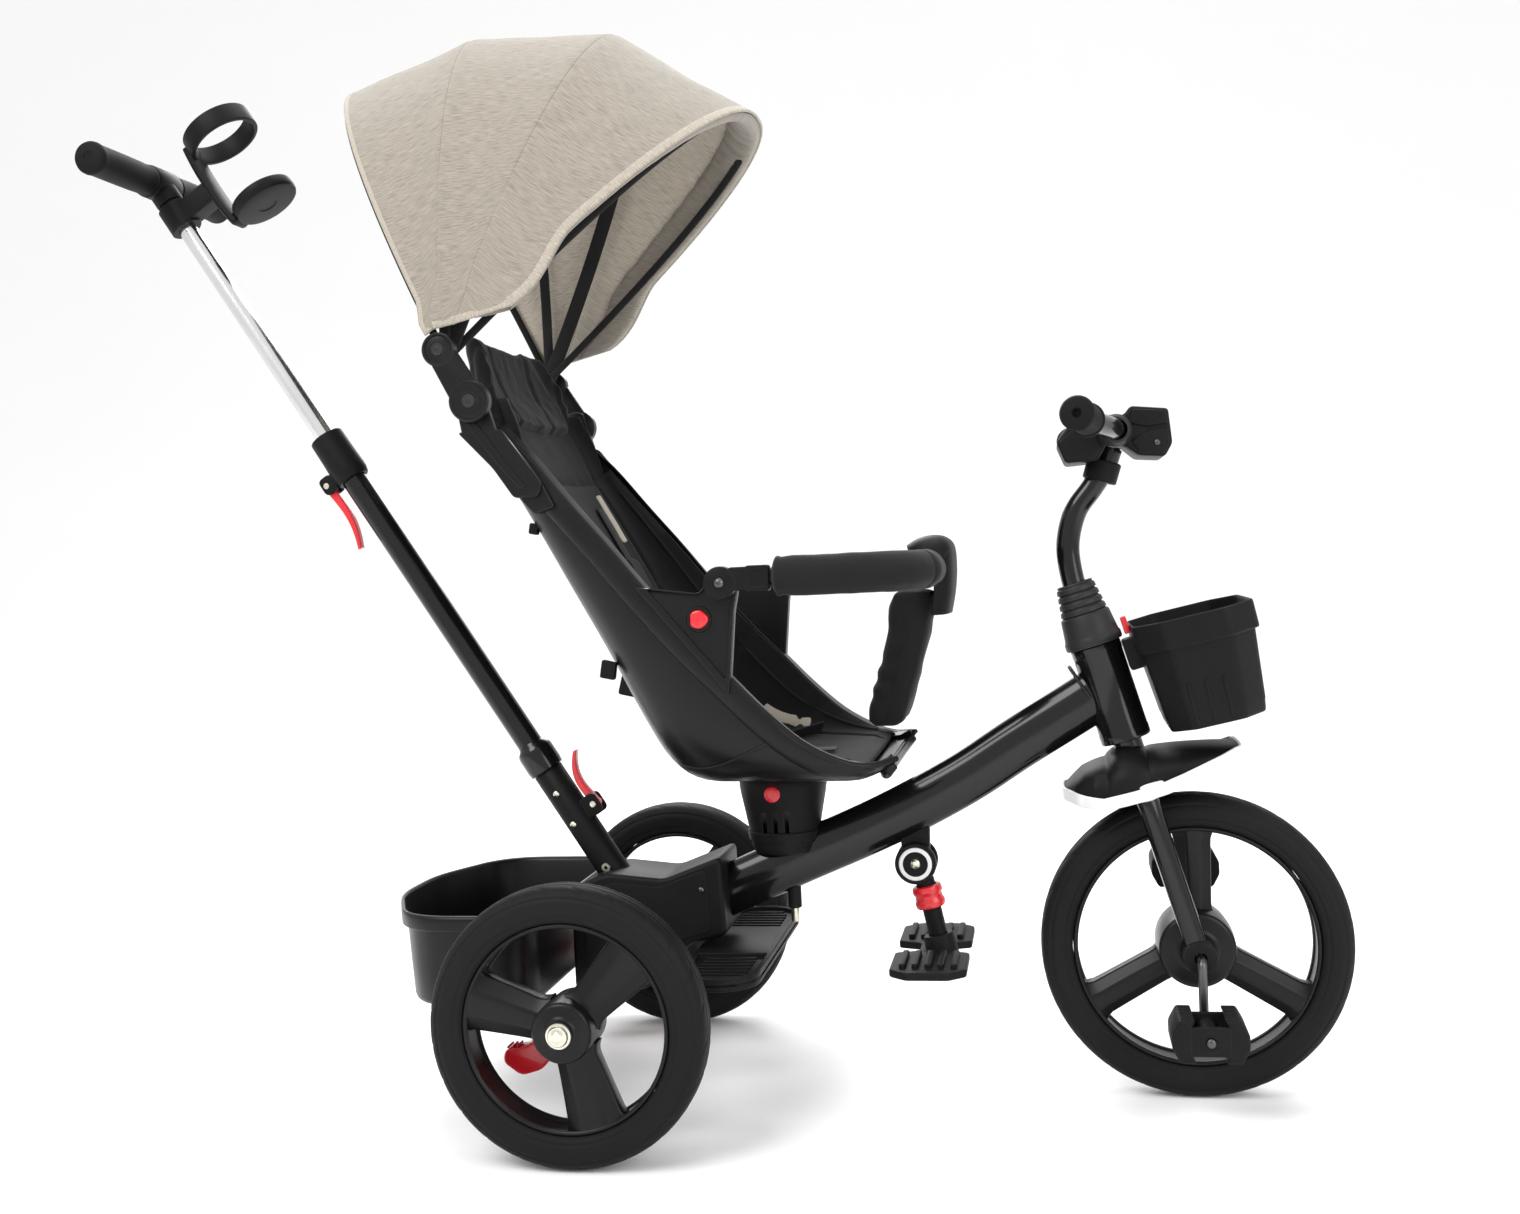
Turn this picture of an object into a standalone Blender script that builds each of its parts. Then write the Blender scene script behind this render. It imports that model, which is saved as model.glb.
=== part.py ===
"""Children's push tricycle: steel frame, swivelling bucket seat with bumper bar and fold-down
sun canopy, telescopic parent handle, raked fork with a pedal-driven front wheel.

Metres, +Z up, +X forward, +Y to the rider's left.  Side-view places are (x, z) pairs measured
from the rear axle; ORIGIN_X moves them so that the model stands centred on the origin.
"""
import math

import bmesh
import bpy
from mathutils import Matrix, Vector

# ---------------------------------------------------------------- driving dimensions
REAR_RADIUS = 0.125          # 10 inch rear wheels
FRONT_RADIUS = 0.144         # 12 inch front wheel
TRACK = 0.44                 # between the rear wheels' middle planes
WHEELBASE = 0.551
TYRE_WIDTH = 0.044
ORIGIN_X = -0.10063          # rear axle's place along the length of the centred model
GAP = 0.0003                 # between pieces that touch
WHEEL_STEPS = 24

AXLE_RADIUS = 0.0045
AXLE_TUBE_RADIUS = 0.010
RAKE = math.radians(16.2)    # steering axis, back from vertical
HEAD_FROM, HEAD_TO = 0.204, 0.298       # head tube along the steering axis, from the front hub
FORK_HALF = 0.047
FORK_TUBE = 0.0104

HANDLE_FOOT = (-0.0095, 0.207)          # where the parent handle's axis enters the rear cover
HANDLE_LEAN = math.radians(32.4)        # back from vertical
SOCKET_END = 0.1335                     # distances along the handle's axis
SLEEVE_FROM, SLEEVE_TO = 0.495, 0.548
UPPER_FROM, UPPER_TO = 0.41, 0.858
CROSSBAR_AT = 0.872
CUP_OFFSET = 0.087                      # cup axis in front of the handle's axis

SEAT_AXIS_X = 0.161
SEAT_BASE_Z = 0.3155
SHELL_WALL = 0.004
LINER_WALL = 0.010
BAR_PIVOT = (0.141, 0.506)
BAR_HALF = 0.160
BAR_FRONT_X = 0.3145
CANOPY_TILT = (-0.082, 0.679)           # lower pivot of the canopy links
CANOPY_PIVOT = (-0.109, 0.727)          # axis that the hoops fan about
HOOP_ANGLES = (114.5, 89.5, 65.5, 41.0)     # degrees above forward, rear hoop first
HOOP_REACH = (0.308, 0.322, 0.345, 0.352)
HOOP_HALF = (0.1635, 0.1555, 0.1480, 0.1405)
HOOD_WALL = 0.0025
FOOT_PIVOT = (0.290, 0.224)

# ---------------------------------------------------------------- scene and collections
for old in list(bpy.data.objects):
    bpy.data.objects.remove(old, do_unlink=True)

PARTS = bpy.data.collections.new("childrens_tricycle")
CUTTERS = bpy.data.collections.new("cutters")
for collection in (PARTS, CUTTERS):
    bpy.context.scene.collection.children.link(collection)


def material(name, colour, roughness, metallic=0.0):
    made = bpy.data.materials.new(name)
    made.use_nodes = True
    shader = made.node_tree.nodes["Principled BSDF"]
    shader.inputs["Base Color"].default_value = (*colour, 1.0)
    shader.inputs["Roughness"].default_value = roughness
    shader.inputs["Metallic"].default_value = metallic
    return made


BLACK = (0.012, 0.012, 0.013)
RED = (0.62, 0.02, 0.03)


# ---------------------------------------------------------------- helpers
def at(x, y, z):
    """World place of a point given from the rear axle."""
    return Vector((x + ORIGIN_X, y, z))


def steer(distance, y=0.0, ahead=0.0):
    """Point on the steering axis, a distance up from the front hub."""
    x = WHEELBASE - math.sin(RAKE) * distance + math.cos(RAKE) * ahead
    z = FRONT_RADIUS + math.cos(RAKE) * distance + math.sin(RAKE) * ahead
    return at(x, y, z)


STEER_UP = Vector((-math.sin(RAKE), 0.0, math.cos(RAKE)))
HANDLE_UP = Vector((-math.sin(HANDLE_LEAN), 0.0, math.cos(HANDLE_LEAN)))


def handle(distance, y=0.0, ahead=0.0):
    """Point on the parent handle's axis, with an offset square to it, to the front."""
    foot = at(HANDLE_FOOT[0], y, HANDLE_FOOT[1])
    return foot + HANDLE_UP * distance + Vector((HANDLE_UP.z, 0.0, -HANDLE_UP.x)) * ahead


def keep(thing, name, mat):
    """Put an object in the parts collection under its name, with its own material."""
    for used in list(thing.users_collection):
        used.objects.unlink(thing)
    PARTS.objects.link(thing)
    thing.name = name
    thing.data.name = name
    thing.data.materials.clear()
    thing.data.materials.append(material(name, *mat))
    return thing


def hide(thing):
    """Turn an object into a cutter: kept for its modifiers and left out of the model."""
    for used in list(thing.users_collection):
        used.objects.unlink(thing)
    CUTTERS.objects.link(thing)
    thing.hide_render = True
    thing.display_type = "WIRE"
    thing.hide_set(True)
    return thing


def link_mesh(mesh_or_curve):
    made = bpy.data.objects.new(mesh_or_curve.name, mesh_or_curve)
    bpy.context.scene.collection.objects.link(made)
    return made


def turn_to(thing, place, axis):
    """Stand an object's local Z along an axis at a place."""
    spin = Vector((0, 0, 1)).rotation_difference(Vector(axis)).to_matrix().to_4x4()
    thing.matrix_world = Matrix.Translation(place) @ spin
    return thing


def turned(profile, place, axis, steps=16, ring=False, half_step=False):
    """Screw an (r, z) profile, drawn down its outer side, about an axis through place."""
    mesh = bpy.data.meshes.new("turned")
    count = len(profile)
    first = math.pi / steps if half_step else 0.0
    verts = [(r * math.cos(first), r * math.sin(first), z) for r, z in profile]
    edges = [(i, i + 1) for i in range(count - 1)] + ([(count - 1, 0)] if ring else [])
    mesh.from_pydata(verts, edges, [])
    made = turn_to(link_mesh(mesh), place, axis)
    screw = made.modifiers.new("turn", "SCREW")
    screw.steps = screw.render_steps = steps
    screw.use_merge_vertices = True
    screw.merge_threshold = 0.00001
    return made


def drum(radius, low, high, place, axis, steps=16):
    """Solid cylinder from low to high along an axis."""
    return turned([(0, high), (radius, high), (radius, low), (0, low)], place, axis, steps)


def pipe(outer, inner, low, high, place, axis, steps=16):
    """Open-ended tube."""
    profile = [(outer, high), (outer, low), (inner, low), (inner, high)]
    return turned(profile, place, axis, steps, ring=True)


def rod(points, radius, resolution=2, flatten=None):
    """Round bar along a polyline of world points, with filled ends, as a welded mesh."""
    curve = bpy.data.curves.new("rod", "CURVE")
    curve.dimensions = "3D"
    curve.bevel_depth = radius
    curve.bevel_resolution = resolution
    curve.use_fill_caps = True
    spline = curve.splines.new("POLY")
    spline.points.add(len(points) - 1)
    for target, point in zip(spline.points, points):
        target.co = (*point, 1.0)
    made = as_mesh(link_mesh(curve))
    if flatten:
        made.data.transform(Matrix.Scale(flatten, 4, (0, 1, 0)))
    return made


def as_mesh(curve_object):
    """Swap a curve object for its welded mesh."""
    bpy.context.view_layer.update()
    ready = curve_object.evaluated_get(bpy.context.evaluated_depsgraph_get())
    mesh = bpy.data.meshes.new_from_object(ready)
    work = bmesh.new()
    work.from_mesh(mesh)
    bmesh.ops.remove_doubles(work, verts=work.verts, dist=0.00001)
    work.to_mesh(mesh)
    work.free()
    made = link_mesh(mesh)
    made.matrix_world = curve_object.matrix_world
    bpy.data.objects.remove(curve_object, do_unlink=True)
    return made


def plate(loops, thickness, place, upright=True):
    """Flat outline with optional holes, extruded evenly about its plane.

    Upright plates are drawn as (x, z) and lie across Y; the others as (x, y) across Z.
    """
    curve = bpy.data.curves.new("plate", "CURVE")
    curve.dimensions = "2D"
    curve.fill_mode = "BOTH"
    curve.extrude = thickness / 2
    for loop in loops:
        spline = curve.splines.new("POLY")
        spline.points.add(len(loop) - 1)
        for target, (u, v) in zip(spline.points, loop):
            target.co = (u, v, 0.0, 1.0)
        spline.use_cyclic_u = True
    made = link_mesh(curve)
    lean = math.pi / 2 if upright else 0.0
    made.matrix_world = Matrix.Translation(place) @ Matrix.Rotation(lean, 4, "X")
    return as_mesh(made)


def block(size, centre, bevel=0.0, turn=None):
    """Box with its scale applied and, if asked, rounded edges."""
    bpy.ops.mesh.primitive_cube_add(size=1.0)
    made = bpy.context.object
    made.data.transform(Matrix.Diagonal((*size, 1.0)))
    made.matrix_world = Matrix.Translation(centre)
    if turn:
        made.matrix_world = made.matrix_world @ Matrix.Rotation(turn, 4, "Y")
    if bevel:
        soften(made, bevel)
    return made


def soften(thing, width, segments=1):
    edge = thing.modifiers.new("edges", "BEVEL")
    edge.width = width
    edge.segments = segments
    edge.limit_method = "ANGLE"
    edge.angle_limit = math.radians(40)


def combine(thing, other, operation):
    step = thing.modifiers.new(operation.lower(), "BOOLEAN")
    step.operation = operation
    step.solver = "EXACT"
    step.object = hide(other)
    return thing


def cut(thing, *cutters):
    for cutter in cutters:
        combine(thing, cutter, "DIFFERENCE")
    return thing


def join(thing, *others):
    for other in others:
        combine(thing, other, "UNION")
    return thing


def arc(centre, radius, start, stop, count):
    """Points on a circle in a plane, angles in degrees."""
    steps = [math.radians(start + (stop - start) * i / (count - 1)) for i in range(count)]
    return [(centre[0] + radius * math.cos(a), centre[1] + radius * math.sin(a)) for a in steps]


def smooth(points, spans=4):
    """Catmull-Rom curve through the points, spans pieces between each two."""
    points = [Vector(p) for p in points]
    padded = [2 * points[0] - points[1], *points, 2 * points[-1] - points[-2]]
    curve = []
    for a, b, c, d in zip(padded, padded[1:], padded[2:], padded[3:]):
        for i in range(spans):
            t = i / spans
            curve.append(
                0.5 * (2 * b + (c - a) * t + (2 * a - 5 * b + 4 * c - d) * t * t
                       + (3 * b - 3 * c + d - a) * t ** 3)
            )
    return [*curve, points[-1]]


def grid_solid(rows, wall, name="shell"):
    """Sheet through rows of points, thickened inwards from its outer face."""
    mesh = bpy.data.meshes.new(name)
    width = len(rows[0])
    verts = [tuple(point) for row in rows for point in row]
    faces = [
        (r * width + c, r * width + c + 1, (r + 1) * width + c + 1, (r + 1) * width + c)
        for r in range(len(rows) - 1) for c in range(width - 1)
    ]
    mesh.from_pydata(verts, [], faces)
    made = link_mesh(mesh)
    skin = made.modifiers.new("wall", "SOLIDIFY")
    skin.thickness = wall
    skin.offset = -1.0
    skin.use_even_offset = True
    return made


def pivot(name, place, pieces):
    """Empty on a joint's axis that carries the pieces which turn about it."""
    empty = bpy.data.objects.new(name, None)
    PARTS.objects.link(empty)
    empty.location = place
    empty.empty_display_size = 0.03
    bpy.context.view_layer.update()
    for piece in pieces:
        piece.parent = empty
        piece.matrix_parent_inverse = empty.matrix_world.inverted()
    return empty


# ---------------------------------------------------------------- frame
MAIN_PATH = [(0.030, 0.168), (0.095, 0.194), (0.175, 0.228), (0.258, 0.263),
             (0.335, 0.302), (0.394, 0.339), (0.457, 0.377), (0.490, 0.398)]
TUBE_HALF_HEIGHT = 0.0255
TUBE_FLATTEN = 0.64


def tube_body(extra=0.0, spans=2):
    path = smooth([at(x, 0.0, z) for x, z in MAIN_PATH], spans)
    return rod(path, TUBE_HALF_HEIGHT + extra, 2, TUBE_FLATTEN + extra / TUBE_HALF_HEIGHT)


def main_tube():
    tube = tube_body()
    cut(tube, drum(0.0243, 0.15, 0.33, steer(0), STEER_UP, 16))
    return keep(tube, "main_tube", (BLACK, 0.25))


def head_tube():
    made = pipe(0.024, 0.0145, HEAD_FROM, HEAD_TO, steer(0), STEER_UP, 16)
    return keep(made, "head_tube", (BLACK, 0.25))


COVER_OUTLINE = [(-0.050, 0.196), (-0.036, 0.214), (-0.012, 0.222), (0.045, 0.216),
                 (0.103, 0.238), (0.106, 0.160), (0.070, 0.152), (0.022, 0.106),
                 (-0.050, 0.106)]
COVER_CAVITY = [(-0.046, 0.090), (-0.046, 0.194), (-0.034, 0.209), (-0.012, 0.217),
                (0.045, 0.211), (0.098, 0.231), (0.101, 0.140), (0.060, 0.090)]


def rear_cover():
    made = plate([COVER_OUTLINE], 0.084, at(0, 0, 0))
    cut(
        made,
        plate([COVER_CAVITY], 0.076, at(0, 0, 0)),
        drum(AXLE_TUBE_RADIUS + GAP, -0.06, 0.06, at(0, 0, REAR_RADIUS), (0, 1, 0)),
        tube_body(GAP, 2),
        drum(0.0155 + GAP, -0.03, 0.06, handle(0), HANDLE_UP, 16),
    )
    return keep(made, "rear_cover", (BLACK, 0.35))


def rear_axle():
    """Carrier tube between the wheels, with a bolt end and head at each side."""
    side = [(0.0115, 0.2565), (0.0115, 0.2508), (AXLE_RADIUS, 0.2508),
            (AXLE_RADIUS, 0.1885), (AXLE_TUBE_RADIUS, 0.1885)]
    profile = [(0, 0.2565), *side, *[(r, -y) for r, y in reversed(side)], (0, -0.2565)]
    made = turned(profile, at(0, 0, REAR_RADIUS), (0, 1, 0), 16)
    return keep(made, "rear_axle", ((0.60, 0.58, 0.52), 0.3, 1.0))


def step_plate():
    """Standing board in front of the axle, two round-ended treads with raised rims."""
    centre_x, half_x, half_y = 0.114, 0.038, 0.150
    outline = arc((centre_x, half_y - half_x), half_x, 0, 180, 9)
    outline += arc((centre_x, half_x - half_y), half_x, 180, 360, 9)
    board = plate([outline], 0.013, at(0, 0, 0.1405), upright=False)
    for side in (-1, 1):
        inner = half_x - 0.005
        y_far, y_near = side * (half_y - half_x), side * 0.055
        tread = arc((centre_x, y_far), inner, 0, side * 180, 9)
        tread += [(centre_x - inner, y_near), (centre_x + inner, y_near)]
        cut(board, plate([tread], 0.008, at(0, 0, 0.148), upright=False))
    return keep(board, "step_plate", (BLACK, 0.55))


def tub_rows(outline, levels):
    """Rows of a tub: one centre point, then each level's loop scaled about the centre."""
    centre = Vector((sum(p[0] for p in outline), sum(p[1] for p in outline))) / len(outline)
    rows = []
    for scale, height in levels:
        loop = [centre + (Vector(p) - centre) * scale for p in outline]
        rows.append([at(p.x, p.y, height) for p in [*loop, loop[0]]])
    return rows


def tub(outline, levels, wall):
    """Open-topped tray with a floor, lofted through scaled copies of its plan."""
    rows = tub_rows(outline, levels)
    work = bmesh.new()
    rings = [[work.verts.new(p) for p in row[:-1]] for row in rows]
    for low, high in zip(rings, rings[1:]):
        for i in range(len(low)):
            j = (i + 1) % len(low)
            work.faces.new((low[i], low[j], high[j], high[i]))
    work.faces.new(list(reversed(rings[0])))
    mesh = bpy.data.meshes.new("tub")
    work.to_mesh(mesh)
    work.free()
    made = link_mesh(mesh)
    skin = made.modifiers.new("wall", "SOLIDIFY")
    skin.thickness = wall
    skin.offset = -1.0
    return made


def rear_basket():
    """D-shaped tray behind the axle: straight at the cover, bowed at the back."""
    front, back, half = -0.0505, -0.220, 0.146
    corner = 0.050
    outline = [(front, -half), (front, half)]
    outline += arc((back + 0.085, half - corner - 0.008), corner + 0.008, 90, 150, 4)
    outline += [(back, 0.045), (back, -0.045)]
    outline += arc((back + 0.085, corner + 0.008 - half), corner + 0.008, 210, 270, 4)
    made = tub(outline, [(0.86, 0.112), (0.90, 0.116), (0.965, 0.186), (1.0, 0.188), (1.0, 0.203)],
               0.003)
    return keep(made, "rear_basket", (BLACK, 0.5))


def handle_socket():
    """Steel stub that takes the parent handle, with ears for its quick-release lever."""
    bore = drum(0.0122, 0.055, SOCKET_END + 0.02, handle(0), HANDLE_UP, 16)
    made = drum(0.0155, -0.004, SOCKET_END, handle(0), HANDLE_UP, 16)
    ears = block((0.018, 0.019, 0.020), handle(0.079, 0, 0.0175), 0.002, -HANDLE_LEAN)
    slot = block((0.030, 0.0106, 0.030), handle(0.079, 0, 0.0315), 0.0, -HANDLE_LEAN)
    join(made, ears)
    cut(made, bore, slot)
    return keep(made, "handle_socket", (BLACK, 0.35))


def lever(anchor, tip, bulge, name):
    """Red cam lever: a round root at its pin and a tapering, bowed blade."""
    anchor, tip = Vector(anchor), Vector(tip)
    along = (tip - anchor).normalized()
    across = Vector((-along.y, along.x)) * bulge
    length = (tip - anchor).length
    blade = 7
    upper, lower = [], []
    for i in range(blade):
        t = i / (blade - 1)
        spine = anchor + along * (length * (0.1 + 0.9 * t)) + across * math.sin(math.pi * t)
        spine += across * 0.6 * t ** 4 * -1
        half = 0.0045 - 0.0025 * t
        side = Vector((-along.y, along.x)) * half
        upper.append(tuple(spine + side))
        lower.append(tuple(spine - side))
    root_turn = math.degrees(math.atan2(along.y, along.x))
    root = arc(anchor, 0.0062, root_turn + 50, root_turn + 310, 9)
    outline = [*root, *lower, *reversed(upper)]
    made = plate([outline], 0.010, at(0, 0, 0))
    return keep(made, name, (RED, 0.35))


def seat_pedestal():
    """Tapered column that straddles the main tube and carries the swivelling seat."""
    profile = [(0, SEAT_BASE_Z - 0.001), (0.043, SEAT_BASE_Z - 0.001), (0.0435, 0.302),
               (0.036, 0.262), (0.031, 0.236), (0, 0.236)]
    made = turned(profile, at(SEAT_AXIS_X, 0, 0), (0, 0, 1), 24)
    button_hole = drum(0.0085, -0.060, -0.026, at(SEAT_AXIS_X - 0.004, 0, 0.298), (0, 1, 0), 16)
    cut(made, tube_body(GAP, 2), button_hole)
    return keep(made, "seat_pedestal", (BLACK, 0.4))


def pedestal_button():
    made = drum(0.008, -0.0455, -0.032, at(SEAT_AXIS_X - 0.004, 0, 0.298), (0, 1, 0), 16)
    return keep(made, "pedestal_button", (RED, 0.35))


# ---------------------------------------------------------------- parent handle
def push_tube_lower():
    """Steel tube with a plug for the socket, a stop collar and an open top."""
    bore = [(0, 0.145), (0.0104, 0.145), (0.0104, 0.502)]
    outside = [(0.0128, 0.502), (0.0128, 0.166), (0.0175, 0.160), (0.0185, SOCKET_END + GAP),
               (0.0118, SOCKET_END + GAP), (0.0118, 0.060), (0, 0.060)]
    made = turned([*bore, *outside], handle(0), HANDLE_UP, 16)
    return keep(made, "push_tube_lower", (BLACK, 0.25))


def clamp_sleeve():
    """Height clamp at the top of the lower tube, with ears for its lever."""
    profile = [(0.0176, SLEEVE_TO), (0.0188, SLEEVE_FROM + 0.012), (0.0165, SLEEVE_FROM),
               (0.0131, SLEEVE_FROM), (0.0131, 0.5025), (0.0103, 0.5025), (0.0103, SLEEVE_TO)]
    made = turned(profile, handle(0), HANDLE_UP, 16, ring=True)
    ears = block((0.014, 0.019, 0.018), handle(0.504, 0, -0.0228), 0.002, -HANDLE_LEAN)
    slot = block((0.016, 0.0106, 0.030), handle(0.504, 0, -0.0270), 0.0, -HANDLE_LEAN)
    join(made, ears)
    cut(made, slot, drum(0.0131, 0.40, 0.5025, handle(0), HANDLE_UP, 16))
    return keep(made, "clamp_sleeve", (BLACK, 0.45))


def push_tube_upper():
    made = pipe(0.0098, 0.0083, UPPER_FROM, UPPER_TO, handle(0), HANDLE_UP, 16)
    return keep(made, "push_tube_upper", ((0.80, 0.80, 0.80), 0.12, 1.0))


def crossbar():
    """Moulded tee: a cap over the tube's top and the core of both grips."""
    made = drum(0.0105, -0.120, 0.120, handle(CROSSBAR_AT), (0, 1, 0), 16)
    hub = drum(0.0170, -0.021, 0.021, handle(CROSSBAR_AT), (0, 1, 0), 18)
    cap = drum(0.0143, 0.846, CROSSBAR_AT + 0.003, handle(0), HANDLE_UP, 14)
    join(made, hub, cap)
    cut(made, drum(0.0098 + GAP, 0.80, UPPER_TO + GAP, handle(0), HANDLE_UP, 16))
    return keep(made, "crossbar", (BLACK, 0.45))


def grip(name, side):
    profile = [(0, 0.1245), (0.0140, 0.1245), (0.0165, 0.1200), (0.0155, 0.070),
               (0.0150, 0.0225), (0.0108, 0.0225), (0.0108, 0.1203), (0, 0.1203)]
    made = turned(profile, handle(CROSSBAR_AT), (0, side, 0), 16)
    return keep(made, name, (BLACK, 0.7))


def cup_holder():
    """Ring and base disc on a spine, clamped round the upper tube below the tee."""
    ring_at, base_at = 0.872, 0.787
    made = turned(
        [(0.0375, 0.007), (0.0375, -0.007), (0.0330, -0.007), (0.0330, 0.007)],
        handle(ring_at, 0, CUP_OFFSET), HANDLE_UP, 20, ring=True)
    base = drum(0.0345, -0.006, 0.006, handle(base_at, 0, CUP_OFFSET), HANDLE_UP, 24)
    spine_at = CUP_OFFSET - 0.0365
    spine = block((0.008, 0.024, 0.092), handle(0.828, 0, spine_at), 0.0015, -HANDLE_LEAN)
    arm = block((0.046, 0.020, 0.018), handle(0.828, 0, 0.031), 0.002, -HANDLE_LEAN)
    clamp = drum(0.0165, 0.815, 0.8435, handle(0), HANDLE_UP, 16)
    join(made, base, spine, arm, clamp)
    cut(made, drum(0.0098 + GAP, 0.79, 0.87, handle(0), HANDLE_UP, 16))
    return keep(made, "cup_holder", (BLACK, 0.4))


# ---------------------------------------------------------------- wheels
def tyre(name, radius, seat, y, place):
    """Foam tyre ring, its tread facets flat on the ground."""
    grow = 1.0 / math.cos(math.pi / WHEEL_STEPS)
    half = TYRE_WIDTH / 2
    section = [(radius, 0.012), (radius - 0.006, half - 0.003), (seat + 0.010, half),
               (seat, half - 0.004)]
    loop = [(r * grow, across) for r, across in reversed(section)]
    loop += [(r * grow, -across) for r, across in section]
    made = turned(loop, at(place, y, radius), (0, 1, 0), WHEEL_STEPS, ring=True, half_step=True)
    return keep(made, name, (BLACK, 0.75))


def rim(name, opening, seat, y, place, radius, hub_radius, hub_half, spoke_turn):
    """Three-spoke moulded wheel: windows cut in a disc, and a hub with its bore."""
    windows = []
    spoke_half = 0.0145
    for k in range(3):
        low = spoke_turn + 120 * k
        outer_pad = math.degrees(math.asin(spoke_half / opening))
        inner_pad = math.degrees(math.asin(spoke_half / (hub_radius + 0.006)))
        window = arc((0, 0), opening, low + outer_pad, low + 120 - outer_pad, 9)
        window += arc((0, 0), hub_radius + 0.006, low + 120 - inner_pad, low + inner_pad, 4)
        windows.append(window)
    disc = arc((0, 0), seat - GAP, 0, 360 - 360 / WHEEL_STEPS, WHEEL_STEPS)
    made = plate([disc, *windows], 0.030, at(place, y, radius))
    hub = drum(hub_radius, -hub_half, hub_half, at(place, y, radius), (0, 1, 0), 16)
    bore = drum(AXLE_RADIUS + 0.0006, -0.08, 0.08, at(place, y, radius), (0, 1, 0), 16)
    join(made, hub)
    cut(made, bore)
    return keep(made, name, (BLACK, 0.4))


def brake_pedal(name, side):
    """Red tread on an arm that turns about the axle, behind its wheel's hub."""
    y = side * 0.1715
    outline = arc((0, REAR_RADIUS), 0.0165, -60, 150, 8)
    outline += [(-0.030, 0.106), (-0.058, 0.092), (-0.075, 0.090), (-0.077, 0.078),
                (-0.060, 0.066), (-0.040, 0.072), (-0.022, 0.094)]
    made = plate([outline], 0.022, at(0, y, 0))
    cut(made, drum(AXLE_TUBE_RADIUS + GAP, -0.03, 0.03, at(0, y, REAR_RADIUS), (0, 1, 0), 16))
    return keep(made, name, (RED, 0.35))


# ---------------------------------------------------------------- steering
def fork():
    """Bent tube over the wheel with its steerer, drilled for the crankshaft."""
    half = [steer(-0.016, -FORK_HALF), steer(0.138, -FORK_HALF), steer(0.158, -0.043),
            steer(0.171, -0.033), steer(0.177, -0.018), steer(0.178, 0.0)]
    path = half + [Vector((p.x, -p.y, p.z)) for p in reversed(half[:-1])]
    made = rod(path, FORK_TUBE, 2)
    join(made, drum(0.0138, 0.172, 0.299, steer(0), STEER_UP, 16))
    cut(made, drum(0.0055, -0.09, 0.09, steer(0), (0, 1, 0), 16))
    return keep(made, "fork", (BLACK, 0.3))


STEM_PATH = [(0.4655, 0.437), (0.457, 0.468), (0.449, 0.495), (0.446, 0.527), (0.454, 0.558),
             (0.470, 0.580), (0.482, 0.598), (0.489, 0.6165)]


def stem_line():
    return smooth([at(x, 0.0, z) for x, z in STEM_PATH], 2)


def stem_tube():
    return keep(rod(stem_line(), 0.011, 2), "stem_tube", (BLACK, 0.25))


def steering_bellows():
    """Ribbed cone that covers the joint between the stem and the head tube."""
    low, high, rings = HEAD_TO + 0.0006, 0.360, 3
    outer = []
    for k in range(rings):
        top = high - (high - low) * k / rings
        bottom = high - (high - low) * (k + 1) / rings
        wide = 0.0195 + 0.0085 * (k + 1) / rings
        outer += [(wide - 0.0028, top), (wide, bottom + 0.003)]
    profile = [*outer, (0.0265, low), (0.0150, low), (0.0150, 0.312), (0.0118, 0.330),
               (0.0118, high)]
    made = turned(profile, steer(0), STEER_UP, 16, ring=True)
    cut(made, stem_clearance())
    return keep(made, "steering_bellows", (BLACK, 0.6))


def stem_clearance():
    """Space that the bent stem takes through the bellows."""
    path = smooth([at(x, 0.0, z) for x, z in [(0.4671, 0.431), *STEM_PATH[:5]]], 2)
    return rod(path, 0.0116, 3)


HANDLEBAR_HALF = [(0.4935, 0.0, 0.6295), (0.4925, 0.045, 0.6298), (0.483, 0.080, 0.6315),
                  (0.468, 0.115, 0.634), (0.459, 0.150, 0.6355), (0.455, 0.186, 0.636)]


def bar_rod(radius):
    """Round bar along the whole handlebar's line."""
    left = smooth([at(*p) for p in HANDLEBAR_HALF], 2)
    path = [Vector((p.x, -p.y, p.z)) for p in reversed(left[1:])] + left
    return rod(path, radius, 2)


def handlebar():
    """Straight centre under the console, swept back to the grips."""
    return keep(bar_rod(0.0098), "handlebar", (BLACK, 0.3))


def handlebar_grip(name, side):
    """Rubber grip pushed over the end of the bar."""
    start, end = at(0.4655, side * 0.1245, 0.6345), at(0.4545, side * 0.192, 0.6362)
    axis = (end - start).normalized()
    length = (end - start).length
    profile = [(0, length), (0.010, length), (0.0147, length - 0.004), (0.0150, 0.004),
               (0.0135, 0), (0, 0)]
    made = turned(profile, start, axis, 16)
    cut(made, bar_rod(0.0098 + 2 * GAP))
    return keep(made, name, (BLACK, 0.7))


CONSOLE_OUTLINE = [(0.438, 0.622), (0.446, 0.602), (0.476, 0.604), (0.484, 0.6185),
                   (0.498, 0.6185), (0.512, 0.606), (0.536, 0.604), (0.543, 0.616),
                   (0.540, 0.648), (0.506, 0.652), (0.500, 0.644), (0.470, 0.646),
                   (0.452, 0.640)]


def handlebar_console():
    """Centre moulding round the bar and the top of the stem."""
    made = plate([CONSOLE_OUTLINE], 0.084, at(0, 0, 0))
    stem = rod(stem_line() + [at(0.4915, 0, 0.632)], 0.0116, 2)
    cut(made, bar_rod(0.0098 + 2 * GAP), stem)
    return keep(made, "handlebar_console", (BLACK, 0.45))


BASKET_CENTRE = (0.5535, 0.460)


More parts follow.
